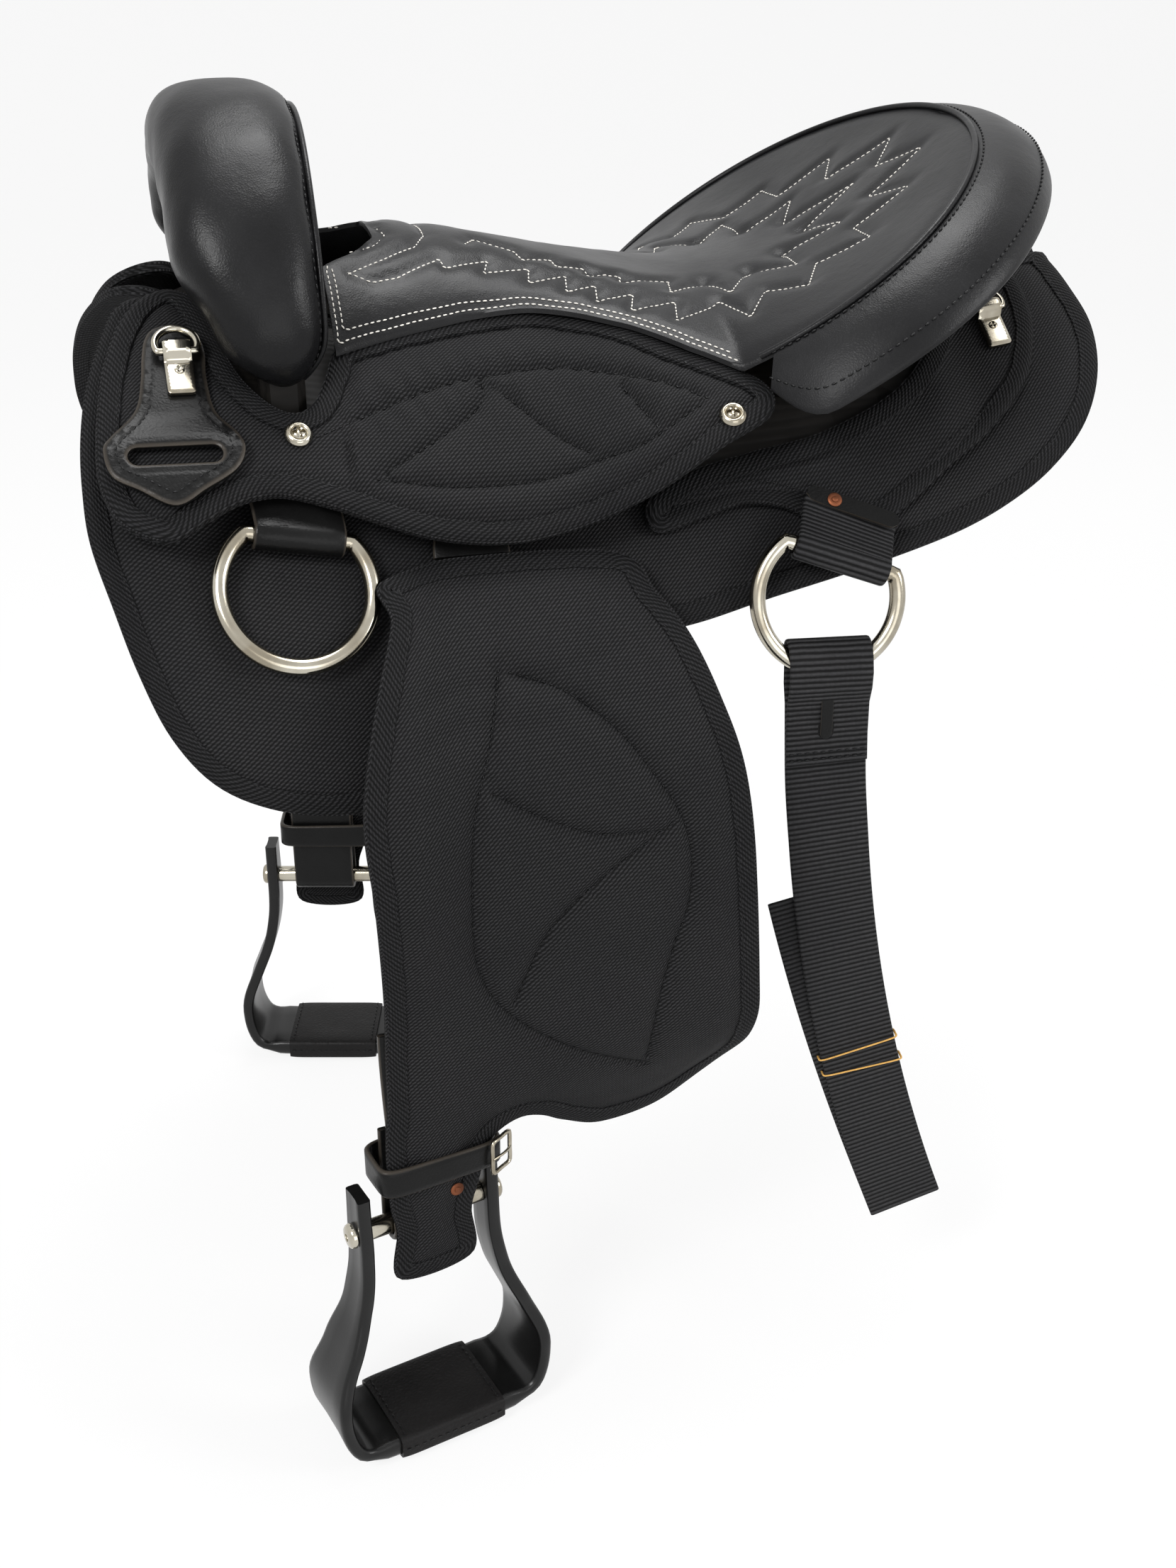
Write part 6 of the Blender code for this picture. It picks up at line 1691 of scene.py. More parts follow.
def make_rigging(side, tag):
    front = front_dee_frame(side)
    rear = rear_dee_frame(side)
    piece = make_dee("front_dee_nickel_" + tag, "front_dee_" + tag, front, DEE_RADIUS, FRONT_CHORD,
                     DEE_BAR, 84, 20)
    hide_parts("front_rigging_dee_" + tag)
    piece = make_dee("rear_dee_nickel_" + tag, "rear_dee_" + tag, rear, DEE_RADIUS, REAR_CHORD,
                     DEE_BAR, 84, 20)
    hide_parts("rear_rigging_dee_" + tag)
    flat = []
    for u in (0.144, 0.153):
        height = over_bars(FRONT_DEE_X, u) + LAYER * 2.5 + RIG_STRAP / 2
        flat.append(back(FRONT_DEE_X, u, height, side))
    piece = loop_strap("front_rigging_leather_" + tag, flat, front[0], front[1], side,
                       FRONT_STRAP_WIDTH, "bridle")
    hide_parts("front_rigging_strap_" + tag)
    flat = []
    turn = math.radians(REAR_DEE_TURN)
    for along in (-0.036, -0.024):
        x = REAR_DEE_X - along * math.sin(turn)
        u = REAR_DEE_U + along * math.cos(turn)
        flat.append(back(x, u, rear_skirt_top(x, u) + LAYER * 2.6 + RIG_STRAP / 2, side))
    piece = loop_strap("rear_rigging_webbing_" + tag, flat, rear[0], rear[1], side,
                       REAR_STRAP_WIDTH, "webbing")
    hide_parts("rear_rigging_loop_" + tag)

    def on_webbing(x, u):
        return rear_skirt_top(x, u) + LAYER * 2.6 + RIG_STRAP + 0.0001

    def at(along, across):
        x = REAR_DEE_X - along * math.sin(turn) + across * math.cos(turn)
        u = REAR_DEE_U + along * math.cos(turn) + across * math.sin(turn)
        return x, u
    line = [at(-0.0315, t) for t in (-0.029, -0.014, 0.0, 0.014, 0.029)]
    sewn_strip("rear_keeper_" + tag, back, side, line, 0.010, on_webbing, 0.0022, "bridle")
    x, u = at(-0.0315, -0.012)
    base, normal = on_skin(back, [Vector((x, u))], lambda a, b: on_webbing(a, b) + 0.0024, side)
    places = [(base[0], normal[0])]
    rivets("rear_keeper_rivet_" + tag, "saddle", places)
    plate = [(FRONT_DEE_X + a, b) for a, b in ((-0.031, 0.1420), (-0.012, 0.1425), (0.010, 0.1420))]

    def under_plate(x, u):
        return over_bars(x, u) + LAYER * 2.5 + RIG_STRAP + 0.0001
    path = [back(x, u, under_plate(x, u) + 0.0006, side) for x, u in plate]
    fine = curve_through(path, 0.003)
    centre, aft, down, out = frame_on(back, FRONT_DEE_X, 0.148, 0.0, side)
    ribbon("front_rigging_plate_" + tag, fine, [down] * len(fine), 0.011, 0.0012, "brass", "saddle")


TAB_OUTLINE = metres(
    (-259, 24), (-271, 26), (-277, 34), (-280, 48), (-282, 64), (-287, 84), (-301, 101),
    (-306, 110), (-303, 126), (-290, 135), (-272, 145), (-255, 136), (-238, 125), (-232, 113),
    (-235, 102), (-245, 86), (-247, 63), (-246, 46), (-249, 31))
SLOT_X = -0.269
SLOT_U = 0.1155
TAB_STAND = 0.0045
FRONT_CLIP = (-0.261, 0.0495)
REAR_CLIP = (0.240, 0.062)


def tab_under(x, u):
    return GAP + TAB_STAND * smooth((u - 0.085) / 0.030)


def slot_outline(x, u, length, width, arc):
    """Outline of a slot with round ends."""
    line = []
    for end in (1, -1):
        for i in range(arc + 1):
            t = math.pi * (i / arc - 0.5)
            line.append((x + end * (length - width) / 2 + end * width / 2 * math.cos(t),
                         u + end * width / 2 * math.sin(t)))
    return line


def make_tab(side, tag):
    edge = flat_edge(TAB_OUTLINE, 0.0022)
    slot = slot_outline(SLOT_X, SLOT_U, SLOT_LENGTH, SLOT_WIDTH, 10)
    wide = [Vector(p) for p in slot_outline(SLOT_X, SLOT_U, SLOT_LENGTH + 0.002, SLOT_WIDTH + 0.002,
                                            10)]

    def high(x, u, e, s, a):
        rim = 0.0012 * (1.0 - smooth(e / 0.0016))
        groove = 0.0006 * math.exp(-(((e - 0.0042) / 0.0007) ** 2))
        return tab_under(x, u) + TAB_THICK - rim - groove
    panel = padded_panel("breast_tab_leather_" + tag, "saddle", "bridle", side, jockey_skin, edge,
                         lambda x, u: tab_under(x, u), high, 0.0020, holes=[slot],
                         loops=[inset_loop(edge, 0.0008), wide, inset_loop(edge, 0.0042)],
                         edge_scale=0.007)
    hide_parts("breast_tab_" + tag)
    row = inset_loop(edge, 0.0068)
    keep = [p for p in row if p.y > 0.082]
    stitches("breast_tab_stitching_" + tag, "saddle",
             [on_skin(jockey_skin, keep, lambda x, u: tab_under(x, u) + TAB_THICK, side)],
             "black_thread", 0.0028, 0.0010, 0.0042)


def clip_height(front, x, u):
    """Height of the surface that a small clip sits on."""
    return tab_under(x, u) + TAB_THICK if front else rear_skirt_top(x, u) + LAYER * 0.8


def make_small_clip(side, tag, front):
    place = jockey_skin if front else back
    x0, u0 = FRONT_CLIP if front else REAR_CLIP
    name = "front" if front else "rear"
    room = SMALL_BAR + 2 * SWING_GAP + LAYER

    def bridge(u):
        return room * smooth(1.0 - (abs(u - u0) - SMALL_BAR * 0.75) / 0.003)

    def under(x, u):
        return clip_height(front, x, u) + LAYER + bridge(u)
    low = u0 - CLIP_LENGTH * 0.24
    high = u0 + CLIP_LENGTH * 0.76
    half = CLIP_WIDTH / 2
    edge = []
    for cx, cu, start in ((x0 + half - 0.002, low + 0.002, -90),
                          (x0 + half - 0.002, high - 0.002, 0),
                          (x0 - half + 0.002, high - 0.002, 90),
                          (x0 - half + 0.002, low + 0.002, 180)):
        for i in range(5):
            t = math.radians(start + 90 * i / 4)
            edge.append(Vector((cx + 0.002 * math.cos(t), cu + 0.002 * math.sin(t))))
    edge = even(edge + edge[:1], 0.0012)[:-1]
    panel = padded_panel("clip_plate_%s_%s" % (name, tag), "saddle", "nickel", side, place, edge,
                         under,
                         lambda x, u, e, s,
                         a: under(x, u) + CLIP_THICK - 0.0005 * (1.0 - smooth(e / 0.0010)),
                         0.0014, loops=[inset_loop(edge, 0.0009)])
    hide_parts("dee_clip_%s_%s" % (name, tag))
    height = clip_height(front, x0, u0) + LAYER + (room + SWING_GAP) / 2
    centre, aft, down, out = frame_on(place, x0, u0, height, side)
    piece = make_dee("small_dee_nickel_%s_%s" % (name, tag), "small_%s_dee_%s" % (name, tag),
                     (centre, aft, -down), SMALL_RADIUS, SMALL_CHORD, SMALL_BAR, 48, 14)
    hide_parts("small_dee_%s_%s" % (name, tag))
    places = []
    for u in (u0 - 0.0063, u0 + 0.0120):
        base, normal = on_skin(place, [Vector((x0, u))], lambda a, b: under(a, b) + CLIP_THICK,
                               side)
        places.append((base[0], normal[0]))
    return places


SCREW_HEAD = ((0.0001, -0.0004), (0.0027, -0.0004), (0.0028, 0.0002), (0.0026, 0.0007),
              (0.0022, 0.0011),
              (0.0013, 0.0013), (0.0005, 0.0013), (0.0001, 0.0013))


def screw_heads(name, body, places):
    """Small round screw heads with a cross recess, by the stud tree."""
    shape = pattern_shape(name + "_shape", SCREW_HEAD, 24)
    bm = bmesh.new()
    bm.from_mesh(shape.data)
    for v in bm.verts:
        r = math.hypot(v.co.x, v.co.y)
        if r < 0.0024 and v.co.z > 0.001 and min(abs(v.co.x), abs(v.co.y)) < 0.0005:
            v.co.z -= 0.0012
    bm.to_mesh(shape.data)
    bm.free()
    made = by_nodes(name, [[p] for p, n in places], [[n] for p, n in places], stud_tree(),
                    {"Stud": shape, "Metal": stuff("nickel")}, body)
    bpy.data.objects.remove(shape)
    return made


SCREWS = (("front", -0.202, 0.102), ("rear", 0.038, 0.127))


def make_jockey_screw(side, tag, name, x, u):
    """Cup washer with a raised screw head and a cross recess, as one closed turned shape."""
    centre, aft, down, out = frame_on(jockey_skin, x, u, 0.0, side)
    base = centre + out * SCREW_LIFT
    profile = ((0.0002, 0.0), (CUP_RADIUS * 0.9, 0.0), (CUP_RADIUS, 0.0003), (CUP_RADIUS, 0.0008),
               (CUP_RADIUS * 0.95, 0.0014), (CUP_RADIUS * 0.86, 0.0024),
               (CUP_RADIUS * 0.76, 0.0031),
               (CUP_RADIUS * 0.68, CUP_HEIGHT), (CUP_RADIUS * 0.60, 0.0029),
               (SCREW_RADIUS * 1.02, 0.0023),
               (SCREW_RADIUS * 0.97, 0.0027), (SCREW_RADIUS * 0.86, 0.0034),
               (SCREW_RADIUS * 0.62, 0.0039),
               (SCREW_RADIUS * 0.40, 0.0041), (SCREW_RADIUS * 0.20, 0.0042), (0.0002, 0.0042))
    turn = out.to_track_quat("Z", "Y").to_matrix()
    rings = []
    sides = 48
    for radius, height in profile:
        ring = []
        for k in range(sides):
            t = 2 * math.pi * k / sides
            a, b = radius * math.cos(t), radius * math.sin(t)
            dip = 0.0
            if height > 0.0036 and min(abs(a), abs(b)) < 0.00070:
                dip = 0.0024
            ring.append(base + turn @ Vector((a, b, height - dip)))
        rings.append(ring)
    piece = swept("jockey_screw_nickel_%s_%s" % (name, tag), rings, "nickel", "saddle")
    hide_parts("jockey_screw_%s_%s" % (name, tag))


# ---------------------------------------------------------------- fenders and leathers

FENDER_TURN = math.radians(90.0 - FENDER_START_SLOPE) / FENDER_ARC
FENDER_Y = HANG_Y + (1.0 - math.sin(math.radians(FENDER_START_SLOPE))) / FENDER_TURN
LEATHER_STAND = 0.0012
STIRRUP_Y = FENDER_Y - LEATHER_STAND - LEATHER_THICK - SWING_GAP - SLEEVE_RADIUS
TURN_TOP = -0.340
TURN_SPAN = 0.110


def turn_neck(p, side):
    """Turn a point of the neck about the vertical through the stirrup's middle."""
    angle = -side * math.radians(NECK_TURN) * smooth((TURN_TOP - p.z) / TURN_SPAN)
    centre = Vector((STIRRUP_X, side * STIRRUP_Y, 0.0))
    return centre + Matrix.Rotation(angle, 3, "Z") @ (p - centre)


def fender_skin(x, s, h, side):
    """Point of a fender at arc length s below the hinge, h out from its inner face."""
    start = math.radians(FENDER_START_SLOPE)
    within = min(s, FENDER_ARC)
    slope = start + FENDER_TURN * within
    y = HANG_Y + (math.sin(slope) - math.sin(start)) / FENDER_TURN + h * math.sin(slope)
    z = (HANG_Z - (math.cos(start) - math.cos(slope)) / FENDER_TURN - (s - within)
         + h * math.cos(slope))
    y += FENDER_FLARE * smooth((-0.125 - x) / 0.045) * (1.0 - smooth((s - 0.16) / 0.14))
    return turn_neck(Vector((x, side * y, z)), side)


FENDER_OUTLINE = metres(
    (-160, 2), (-165, 29), (-178, 68), (-188, 104.5), (-193, 140), (-190, 187), (-187, 257),
    (-189, 319), (-193, 345), (-195, 366), (-195.5, 386), (-194.5, 400), (-191.5, 416),
    (-191.5, 451.5), (-142.5, 451.5), (-141.5, 416), (-137, 400), (-133, 386), (-128.5, 371),
    (-120, 362), (-106, 357), (-92, 361), (-77, 371), (-49, 384), (-7, 383), (22, 364), (38, 338),
    (42, 305), (41, 269), (37, 207), (30, 136), (18, 91.2), (5, 55.4), (-10, 30), (-34, 2))
FENDER_SEAMS = (
    metres((-108, 66), (-117, 105), (-130, 147), (-134, 196), (-131, 240), (-114, 272),
           (-73, 305), (-28, 330)),
    metres((-101, 68), (-73, 80), (-44, 105), (-24, 133), (-10, 157), (-4, 181), (-5, 213),
           (-14, 243), (-23, 283), (-27, 322)),
    metres((-118, 133), (-90, 150), (-58, 163), (-18, 165)),
    metres((-16, 162), (-58, 190), (-87, 217), (-103, 247), (-110, 264)))
FENDER_CREASES = (
    metres((-186, 92), (-160, 80), (-120, 74), (-70, 70), (-30, 58)),
    metres((-190, 120), (-165, 104), (-130, 96), (-90, 98), (-60, 90)),
    metres((-191, 146), (-172, 134), (-148, 130)),
    metres((6, 86), (-20, 92), (-40, 88)))


def make_fender(side, tag):
    edge = flat_edge(FENDER_OUTLINE, 0.004)
    seams = seam_lines(FENDER_SEAMS)
    creases = seam_lines(FENDER_CREASES)
    width = sizes().binding_width
    depth = sizes().quilt_depth

    def thin(s):
        return 0.0025 * smooth((s - 0.322) / 0.035)

    def inner(x, s):
        # Stands clear of the front dee when the fender swings forwards
        return FENDER_RELIEF * smooth((-0.128 - x) / 0.014) * smooth((0.120 - s) / 0.03)

    def high(x, s, e, seam, a):
        swell = smooth((e - width + 0.002) / 0.016)
        folds = 0.0
        for i, line in enumerate(creases):
            gap = nearest(np.array([(x, s)]), line)[0][0]
            folds += (0.0011, 0.0009, 0.0007, 0.0006)[i] * math.exp(-(gap / 0.0050) ** 2)
        body = FENDER_THICK + 0.0012 * swell - 0.0022 * (1.0 - swell) - thin(s)
        return body - (quilting(depth, seam, a) + folds) * swell
    body = "fender_" + tag
    panel = padded_panel("fender_nylon_" + tag, body, "nylon", side, fender_skin, edge,
                         lambda x, s: inner(x, s) + 0.0008, high, 0.0045, seams=seams)
    binding("fender_binding_" + tag, body, side, fender_skin, edge, inner,
            lambda x, s: FENDER_THICK - 0.0017 - thin(s), width)
    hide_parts("fender_" + tag)
    rows = []
    for line in seams:
        rows.append(on_skin(fender_skin, even(line, 0.002),
                            lambda x, s: FENDER_THICK + 0.0012 - depth * 1.45 - thin(s), side))
    row = inset_loop(edge, width - 0.0018)
    rows.append(on_skin(fender_skin, row + row[:1], lambda x, s: FENDER_THICK - 0.0015 - thin(s),
                        side))
    stitches("fender_stitching_" + tag, body, rows, "black_thread", 0.0030, 0.0010,
             sizes().quilt_pitch + 0.0006, 0.0002)


def swing_pivot(side):
    """Where a stirrup leather swings fore and aft, at the upper edge of its fender."""
    return Vector((SWING_X, side * (HANG_Y + 0.0015), HANG_Z + 0.0045))


def make_leathers(side, tag):
    path = []
    for i in range(25):
        u = LEATHER_TOP + (LEATHER_END - LEATHER_TOP) * i / 24
        path.append(back(SWING_X, u, over_bars(SWING_X, u) + 0.0045, side))
    piece = ribbon("stirrup_leather_run_" + tag, path, [Vector((1, 0, 0))] * len(path),
                   LEATHER_WIDTH,
                   LEATHER_THICK, "bridle", "saddle")
    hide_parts("stirrup_leather_" + tag)
    foot = swing_pivot(side)
    top = back(SWING_X, LEATHER_END, over_bars(SWING_X, LEATHER_END) + 0.0045, side)
    reach = top - foot - (top - foot).normalized() * GAP
    steps = [0.960 * i / 18 for i in range(19)]
    piece = ribbon("leather_hanging_part_" + tag, [foot + reach * t for t in steps],
                   [Vector((1, 0, 0))] * len(steps), LEATHER_WIDTH - 0.012, LEATHER_THICK, "bridle",
                   "leather_run_" + tag, [math.sqrt(1.0 - t * t) for t in steps])
    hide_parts("leather_drop_" + tag)
    front_y = FENDER_Y - LEATHER_STAND - LEATHER_THICK / 2
    reach = SLEEVE_RADIUS + SWING_GAP + LEATHER_THICK / 2
    flat = [(front_y, -0.335 - 0.01 * i) for i in range(13)]
    for turn in range(0, 181, 10):
        t = math.radians(turn)
        flat.append((STIRRUP_Y + reach * math.cos(t), BOLT_Z - reach * math.sin(t)))
    flat += [(STIRRUP_Y - reach, z) for z in (-0.465, -0.455, -0.445, -0.435, -0.423, -0.412)]
    path = [turn_neck(Vector((STIRRUP_X, side * y, z)), side) for y, z in flat]
    across = []
    for y, z in flat:
        a = turn_neck(Vector((STIRRUP_X + 0.01, side * y, z)), side)
        b = turn_neck(Vector((STIRRUP_X - 0.01, side * y, z)), side)
        across.append((a - b).normalized())
    piece = ribbon("leather_loop_strap_" + tag, path, across, 0.048, LEATHER_THICK, "bridle",
                   "fender_" + tag)
    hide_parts("leather_loop_" + tag)


HOBBLE_Z = -0.4312
HOBBLE_X = -0.1605
HOBBLE_WIDTH = 0.019
HOBBLE_THICK = 0.0028
HOBBLE_HALF = 0.0375


def hobble_point(side, z, grow, turn):
    """Point of the closed line round the neck of a fender, in plan."""
    front = FENDER_Y + FENDER_THICK - LAYER + grow
    rear = STIRRUP_Y - SLEEVE_RADIUS - SWING_GAP - LEATHER_THICK - LAYER * 2.5 - grow
    half = HOBBLE_HALF + grow
    middle = (front + rear) / 2
    deep = (front - rear) / 2
    t = math.radians(turn)
    c = math.copysign(abs(math.cos(t)) ** 0.35, math.cos(t))
    s = math.copysign(abs(math.sin(t)) ** 0.35, math.sin(t))
    return turn_neck(Vector((HOBBLE_X + half * c, side * (middle + deep * s), z)), side)


def make_hobble(side, tag):
    body = "fender_" + tag
    rings = []
    half = HOBBLE_WIDTH / 2
    for i in range(144):
        turn = 2.5 * i
        ring = []
        for a, b in ((0.0, -0.96), (0.35, -1.0), (0.75, -0.97), (1.0, -0.86), (1.06, -0.5),
                     (1.09, 0.0),
                     (1.06, 0.5), (1.0, 0.86), (0.75, 0.97), (0.35, 1.0), (0.0, 0.96), (0.0, 0.0)):
            ring.append(hobble_point(side, HOBBLE_Z + half * b, HOBBLE_THICK * min(a, 1.0), turn))
        rings.append(ring)
    worn = [0.3, 0.0, 0.0, 0.3, 1.0, 1.0, 1.0, 0.3, 0.0, 0.0, 0.3, 1.0]
    strap = swept("hobble_leather_" + tag, rings, "bridle", body, closed=True, worn=worn)
    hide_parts("hobble_strap_" + tag)
    centre = hobble_point(side, HOBBLE_Z, HOBBLE_THICK + GAP + 0.0016, 45)
    before = hobble_point(side, HOBBLE_Z, HOBBLE_THICK + GAP + 0.0016, 30)
    after = hobble_point(side, HOBBLE_Z, HOBBLE_THICK + GAP + 0.0016, 60)
    aft = (before - after).normalized()
    up = Vector((0, 0, 1))
    out = aft.cross(up)
    if out.y * side < 0:
        out = -out
    tall = half + 0.002
    corners = [centre + aft * a * 0.0085 + up * b * tall for a, b in
               ((-1, -0.8), (-0.8, -1), (0, -1), (0.8, -1), (1, -0.8), (1, 0), (1, 0.8), (0.8, 1),
                (0, 1),
                (-0.8, 1), (-1, 0.8), (-1, 0))]
    buckle = swept("hobble_buckle_nickel_" + tag,
                   rod_rings(curve_through(corners, 0.0016, True), 0.0014, 12, True),
                   "nickel", body, closed=True)
    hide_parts("hobble_buckle_" + tag)
    prong = [centre + aft * a + out * b for a,
             b in ((0.0085, 0.0006), (0.004, 0.0018), (-0.002, 0.0019), (-0.0092, 0.0009))]
    swept("hobble_prong_" + tag, rod_rings(curve_through(prong, 0.0012), 0.0009, 10), "nickel",
          body)
    spot = fender_skin(-0.1605, 0.4150, FENDER_THICK - 0.0025 + 0.0004, side)
    ahead = fender_skin(-0.1605, 0.4150, FENDER_THICK + 0.01, side)
    low = turn_neck(Vector((-0.152, side * (FENDER_Y + FENDER_THICK - 0.0022), -0.4515)), side)
    out = (ahead - spot).normalized()
    rivets("neck_rivets_" + tag, body, [(low, out)])


# ---------------------------------------------------------------- stirrups

def stirrup_point(a, b, c, side):
    """Point in the stirrup's own frame: a aft along the bolt, b outwards, c up from the bolt."""
    angle = -side * math.radians(NECK_TURN)
    centre = Vector((STIRRUP_X, side * STIRRUP_Y, BOLT_Z))
    return centre + Matrix.Rotation(angle, 3, "Z") @ Vector((a, side * b, c))


LEG_PATH = ((NECK_HALF, 0.0295), (NECK_HALF, 0.010), (NECK_HALF, -0.014), (0.0445, -0.035),
            (0.0500, -0.060), (0.0600, -0.085), (0.0690, -0.108), (BELLY_HALF, -0.125),
            (0.0670, -0.140), (0.0610, -0.150))
LEG_DEPTHS = ((-0.160, 0.060), (-0.120, 0.056), (-0.085, 0.042), (-0.050, 0.029),
              (-0.014, LEG_DEPTH),
              (0.0295, 0.020))
LEG_SECTION = ((-0.86, -1), (-0.4, -1.0), (0, -1.0), (0.4, -1.0), (0.86, -1), (0.96, -0.86),
               (1, -0.5), (1, 0),
               (1, 0.5), (0.96, 0.86), (0.86, 1), (0.4, 1), (0, 1), (-0.4, 1), (-0.86, 1),
               (-0.96, 0.86),
               (-1, 0.5), (-1, 0), (-1, -0.5), (-0.96, -0.86))


def make_stirrup(side, tag):
    body = "stirrup_" + tag
    low = -(TREAD_DROP + TREAD_THICK / 2)
    half = [Vector((a, c)) for a, c in LEG_PATH] + [Vector((TREAD_HALF - 0.006, low + 0.001)),
                                                   Vector((TREAD_HALF - 0.022, low))]
    path = [Vector((-p.x, p.y)) for p in half] + [Vector((0.0, low))] + list(reversed(half))
    fine = curve_through(path, 0.0045)
    count = len(fine)
    rings = []
    for i, p in enumerate(fine):
        along = (fine[min(i + 1, count - 1)] - fine[max(i - 1, 0)]).normalized()
        inward = Vector((-along.y, along.x))
        depth = between(LEG_DEPTHS, p.y)[0]
        flat_share = smooth((0.054 - abs(p.x)) / 0.010) * (p.y < -0.12)
        thick = LEG_THICK + (TREAD_THICK - LEG_THICK) * flat_share
        ring = []
        for u, v in LEG_SECTION:
            groove = 0.0006 if (abs(u) <= 0.4 and v < 0) and flat_share < 0.5 else 0.0
            q = p + inward * (v * (thick / 2 - groove))
            ring.append(stirrup_point(q.x, u * depth / 2, q.y, side))
        rings.append(ring)
    piece = swept("stirrup_moulding_" + tag, rings, "stirrup", body)
    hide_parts("stirrup_frame_" + tag)
    axis = (stirrup_point(1, 0, 0, side) - stirrup_point(0, 0, 0, side)).normalized()
    centre = stirrup_point(0, 0, 0, side)
    outside = NECK_HALF + LEG_THICK / 2 + GAP
    inner = NECK_HALF - LEG_THICK / 2 - GAP * 2
    head = [(0.0002, 0.0036), (0.0022, 0.0036), (0.0024, 0.0046), (HEAD_RADIUS * 0.55, 0.0045),
            (HEAD_RADIUS * 0.8, 0.0040),
            (HEAD_RADIUS * 0.94, 0.0030), (HEAD_RADIUS, 0.0018), (HEAD_RADIUS, 0.0002),
            (HEAD_RADIUS * 0.97, 0.0)]
    profile = [(r, -outside - h) for r, h in head]
    profile += [(BOLT_RADIUS, -outside), (BOLT_RADIUS, -inner), (SLEEVE_RADIUS, -inner),
                (SLEEVE_RADIUS, inner),
                (BOLT_RADIUS, inner), (BOLT_RADIUS, outside)]
    profile += [(r, outside + h) for r, h in reversed(head)]
    piece = turned("neck_bolt_nickel_" + tag, profile, centre, axis, "nickel", body, 36)
    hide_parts("neck_bolt_" + tag)
    reach = TREAD_HALF - 0.0195
    deep = TREAD_DEPTH / 2 + GAP
    tall = TREAD_THICK / 2 + GAP
    rings = []
    outer = []
    for k in range(64):
        t = 2 * math.pi * k / 64
        c = math.copysign(abs(math.cos(t)) ** 0.30, math.cos(t))
        s = math.copysign(abs(math.sin(t)) ** 0.30, math.sin(t))
        outer.append((c, s))
    columns = 34
    for i in range(columns + 1):
        a = -reach + 2 * reach * i / columns
        pad = TREAD_COVER * (1.0 - 0.25 * (abs(a) / reach) ** 8)
        rings.append([stirrup_point(a, c * (deep + pad), low + s * (tall + pad), side) for c,
                      s in outer])
    for i in range(columns, -1, -1):
        a = -reach + 2 * reach * i / columns
        rings.append([stirrup_point(a, c * (deep + 0.0001), low + s * (tall + 0.0001), side) for c,
                      s in outer])
    piece = swept("tread_leather_" + tag, rings, "pebbled", body, closed=True)
    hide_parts("tread_cover_" + tag)
    rows = []
    up = Vector((0, 0, 1))
    for end in (-1, 1):
        a = end * (reach - 0.0035)
        rows.append(([stirrup_point(a, -0.027 + 0.054 * i / 20, low + tall + TREAD_COVER,
                                    side) for i in range(21)],
                     [up] * 21))
    for edge in (-1, 1):
        out = stirrup_point(0, edge, 0, side) - stirrup_point(0, 0, 0, side)
        rows.append(([stirrup_point(-reach + 0.004 + (2 * reach - 0.008) * i / 20,
                                    edge * (deep + TREAD_COVER), low, side)
                      for i in range(21)], [out] * 21))
    stitches("tread_stitching_" + tag, body, rows, "black_thread", 0.0034, 0.0010, 0.0052, 0.0001)


# ---------------------------------------------------------------- tie strap

def strap_across():
    """Level direction across the tie strap, along the lowest part of the rear dee."""
    centre, bar, hang = rear_dee_frame(-1)
    level = bar.cross(hang).cross(Vector((0.0, 0.0, 1.0))).normalized()
    return level if level.x > 0 else -level


def strap_point(drop, offset):
    """Point of the tie strap: drop below the dee's lowest bar, offset outwards from it."""
    centre, bar, hang = rear_dee_frame(-1)
    across = strap_across()
    down = (bar * -bar.z + hang * -hang.z).normalized()
    low = centre + hang * REAR_CHORD + down * DEE_RADIUS
    drift = STRAP_DRIFT * (max(drop, 0.0) / STRAP_LENGTH) ** 2
    return low + across * drift + Vector((across.y, -across.x, 0.0)) * offset - Vector((0, 0, drop))


def strap_wide(drop):
    """Direction across the tie strap where it hangs at this drop."""
    slope = 2 * STRAP_DRIFT * max(drop, 0.0) / STRAP_LENGTH ** 2
    return (strap_across() + Vector((0, 0, slope))).normalized()


def strap_line():
    """Drops and offsets of the strap's middle line, from the stitched end over the dee."""
    reach = DEE_BAR / 2 + STRAP_ROOM + STRAP_THICK / 2
    near = STRAP_THICK / 2 + GAP
    end = 0.060
    line = [(end, near), (end * 0.7, near), (end * 0.35, near + 0.0014), (0.010, reach * 0.90),
            (0.0, reach)]
    skew = math.tan(math.radians(REAR_DEE_LEAN))
    for turn in range(0, 181, 12):
        t = math.radians(turn)
        drop = -STRAP_RISE - reach * math.sin(t)
        line.append((drop, drop * skew + reach * math.cos(t)))
    line += [(0.0, -reach), (0.010, -reach * 0.90), (end * 0.35, -near - 0.0014),
             (end * 0.7, -near)]
    for i in range(60):
        drop = end + (STRAP_LENGTH - 0.01 - end) * i / 59
        line.append((drop, near * (2.0 * smooth((drop - 0.066) / 0.05) - 1.0)))
    fold = near + STRAP_THICK / 2
    turn_size = (near + fold) / 2
    for turn in range(90, -91, -15):
        t = math.radians(turn)
        line.append((STRAP_LENGTH - turn_size + turn_size * math.cos(t),
                     (near - fold) / 2 + turn_size * math.sin(t)))
    for i in range(1, 31):
        line.append((STRAP_LENGTH - 0.01 - (STRAP_TAIL + 0.055) * i / 30, -fold))
    return line, near, fold


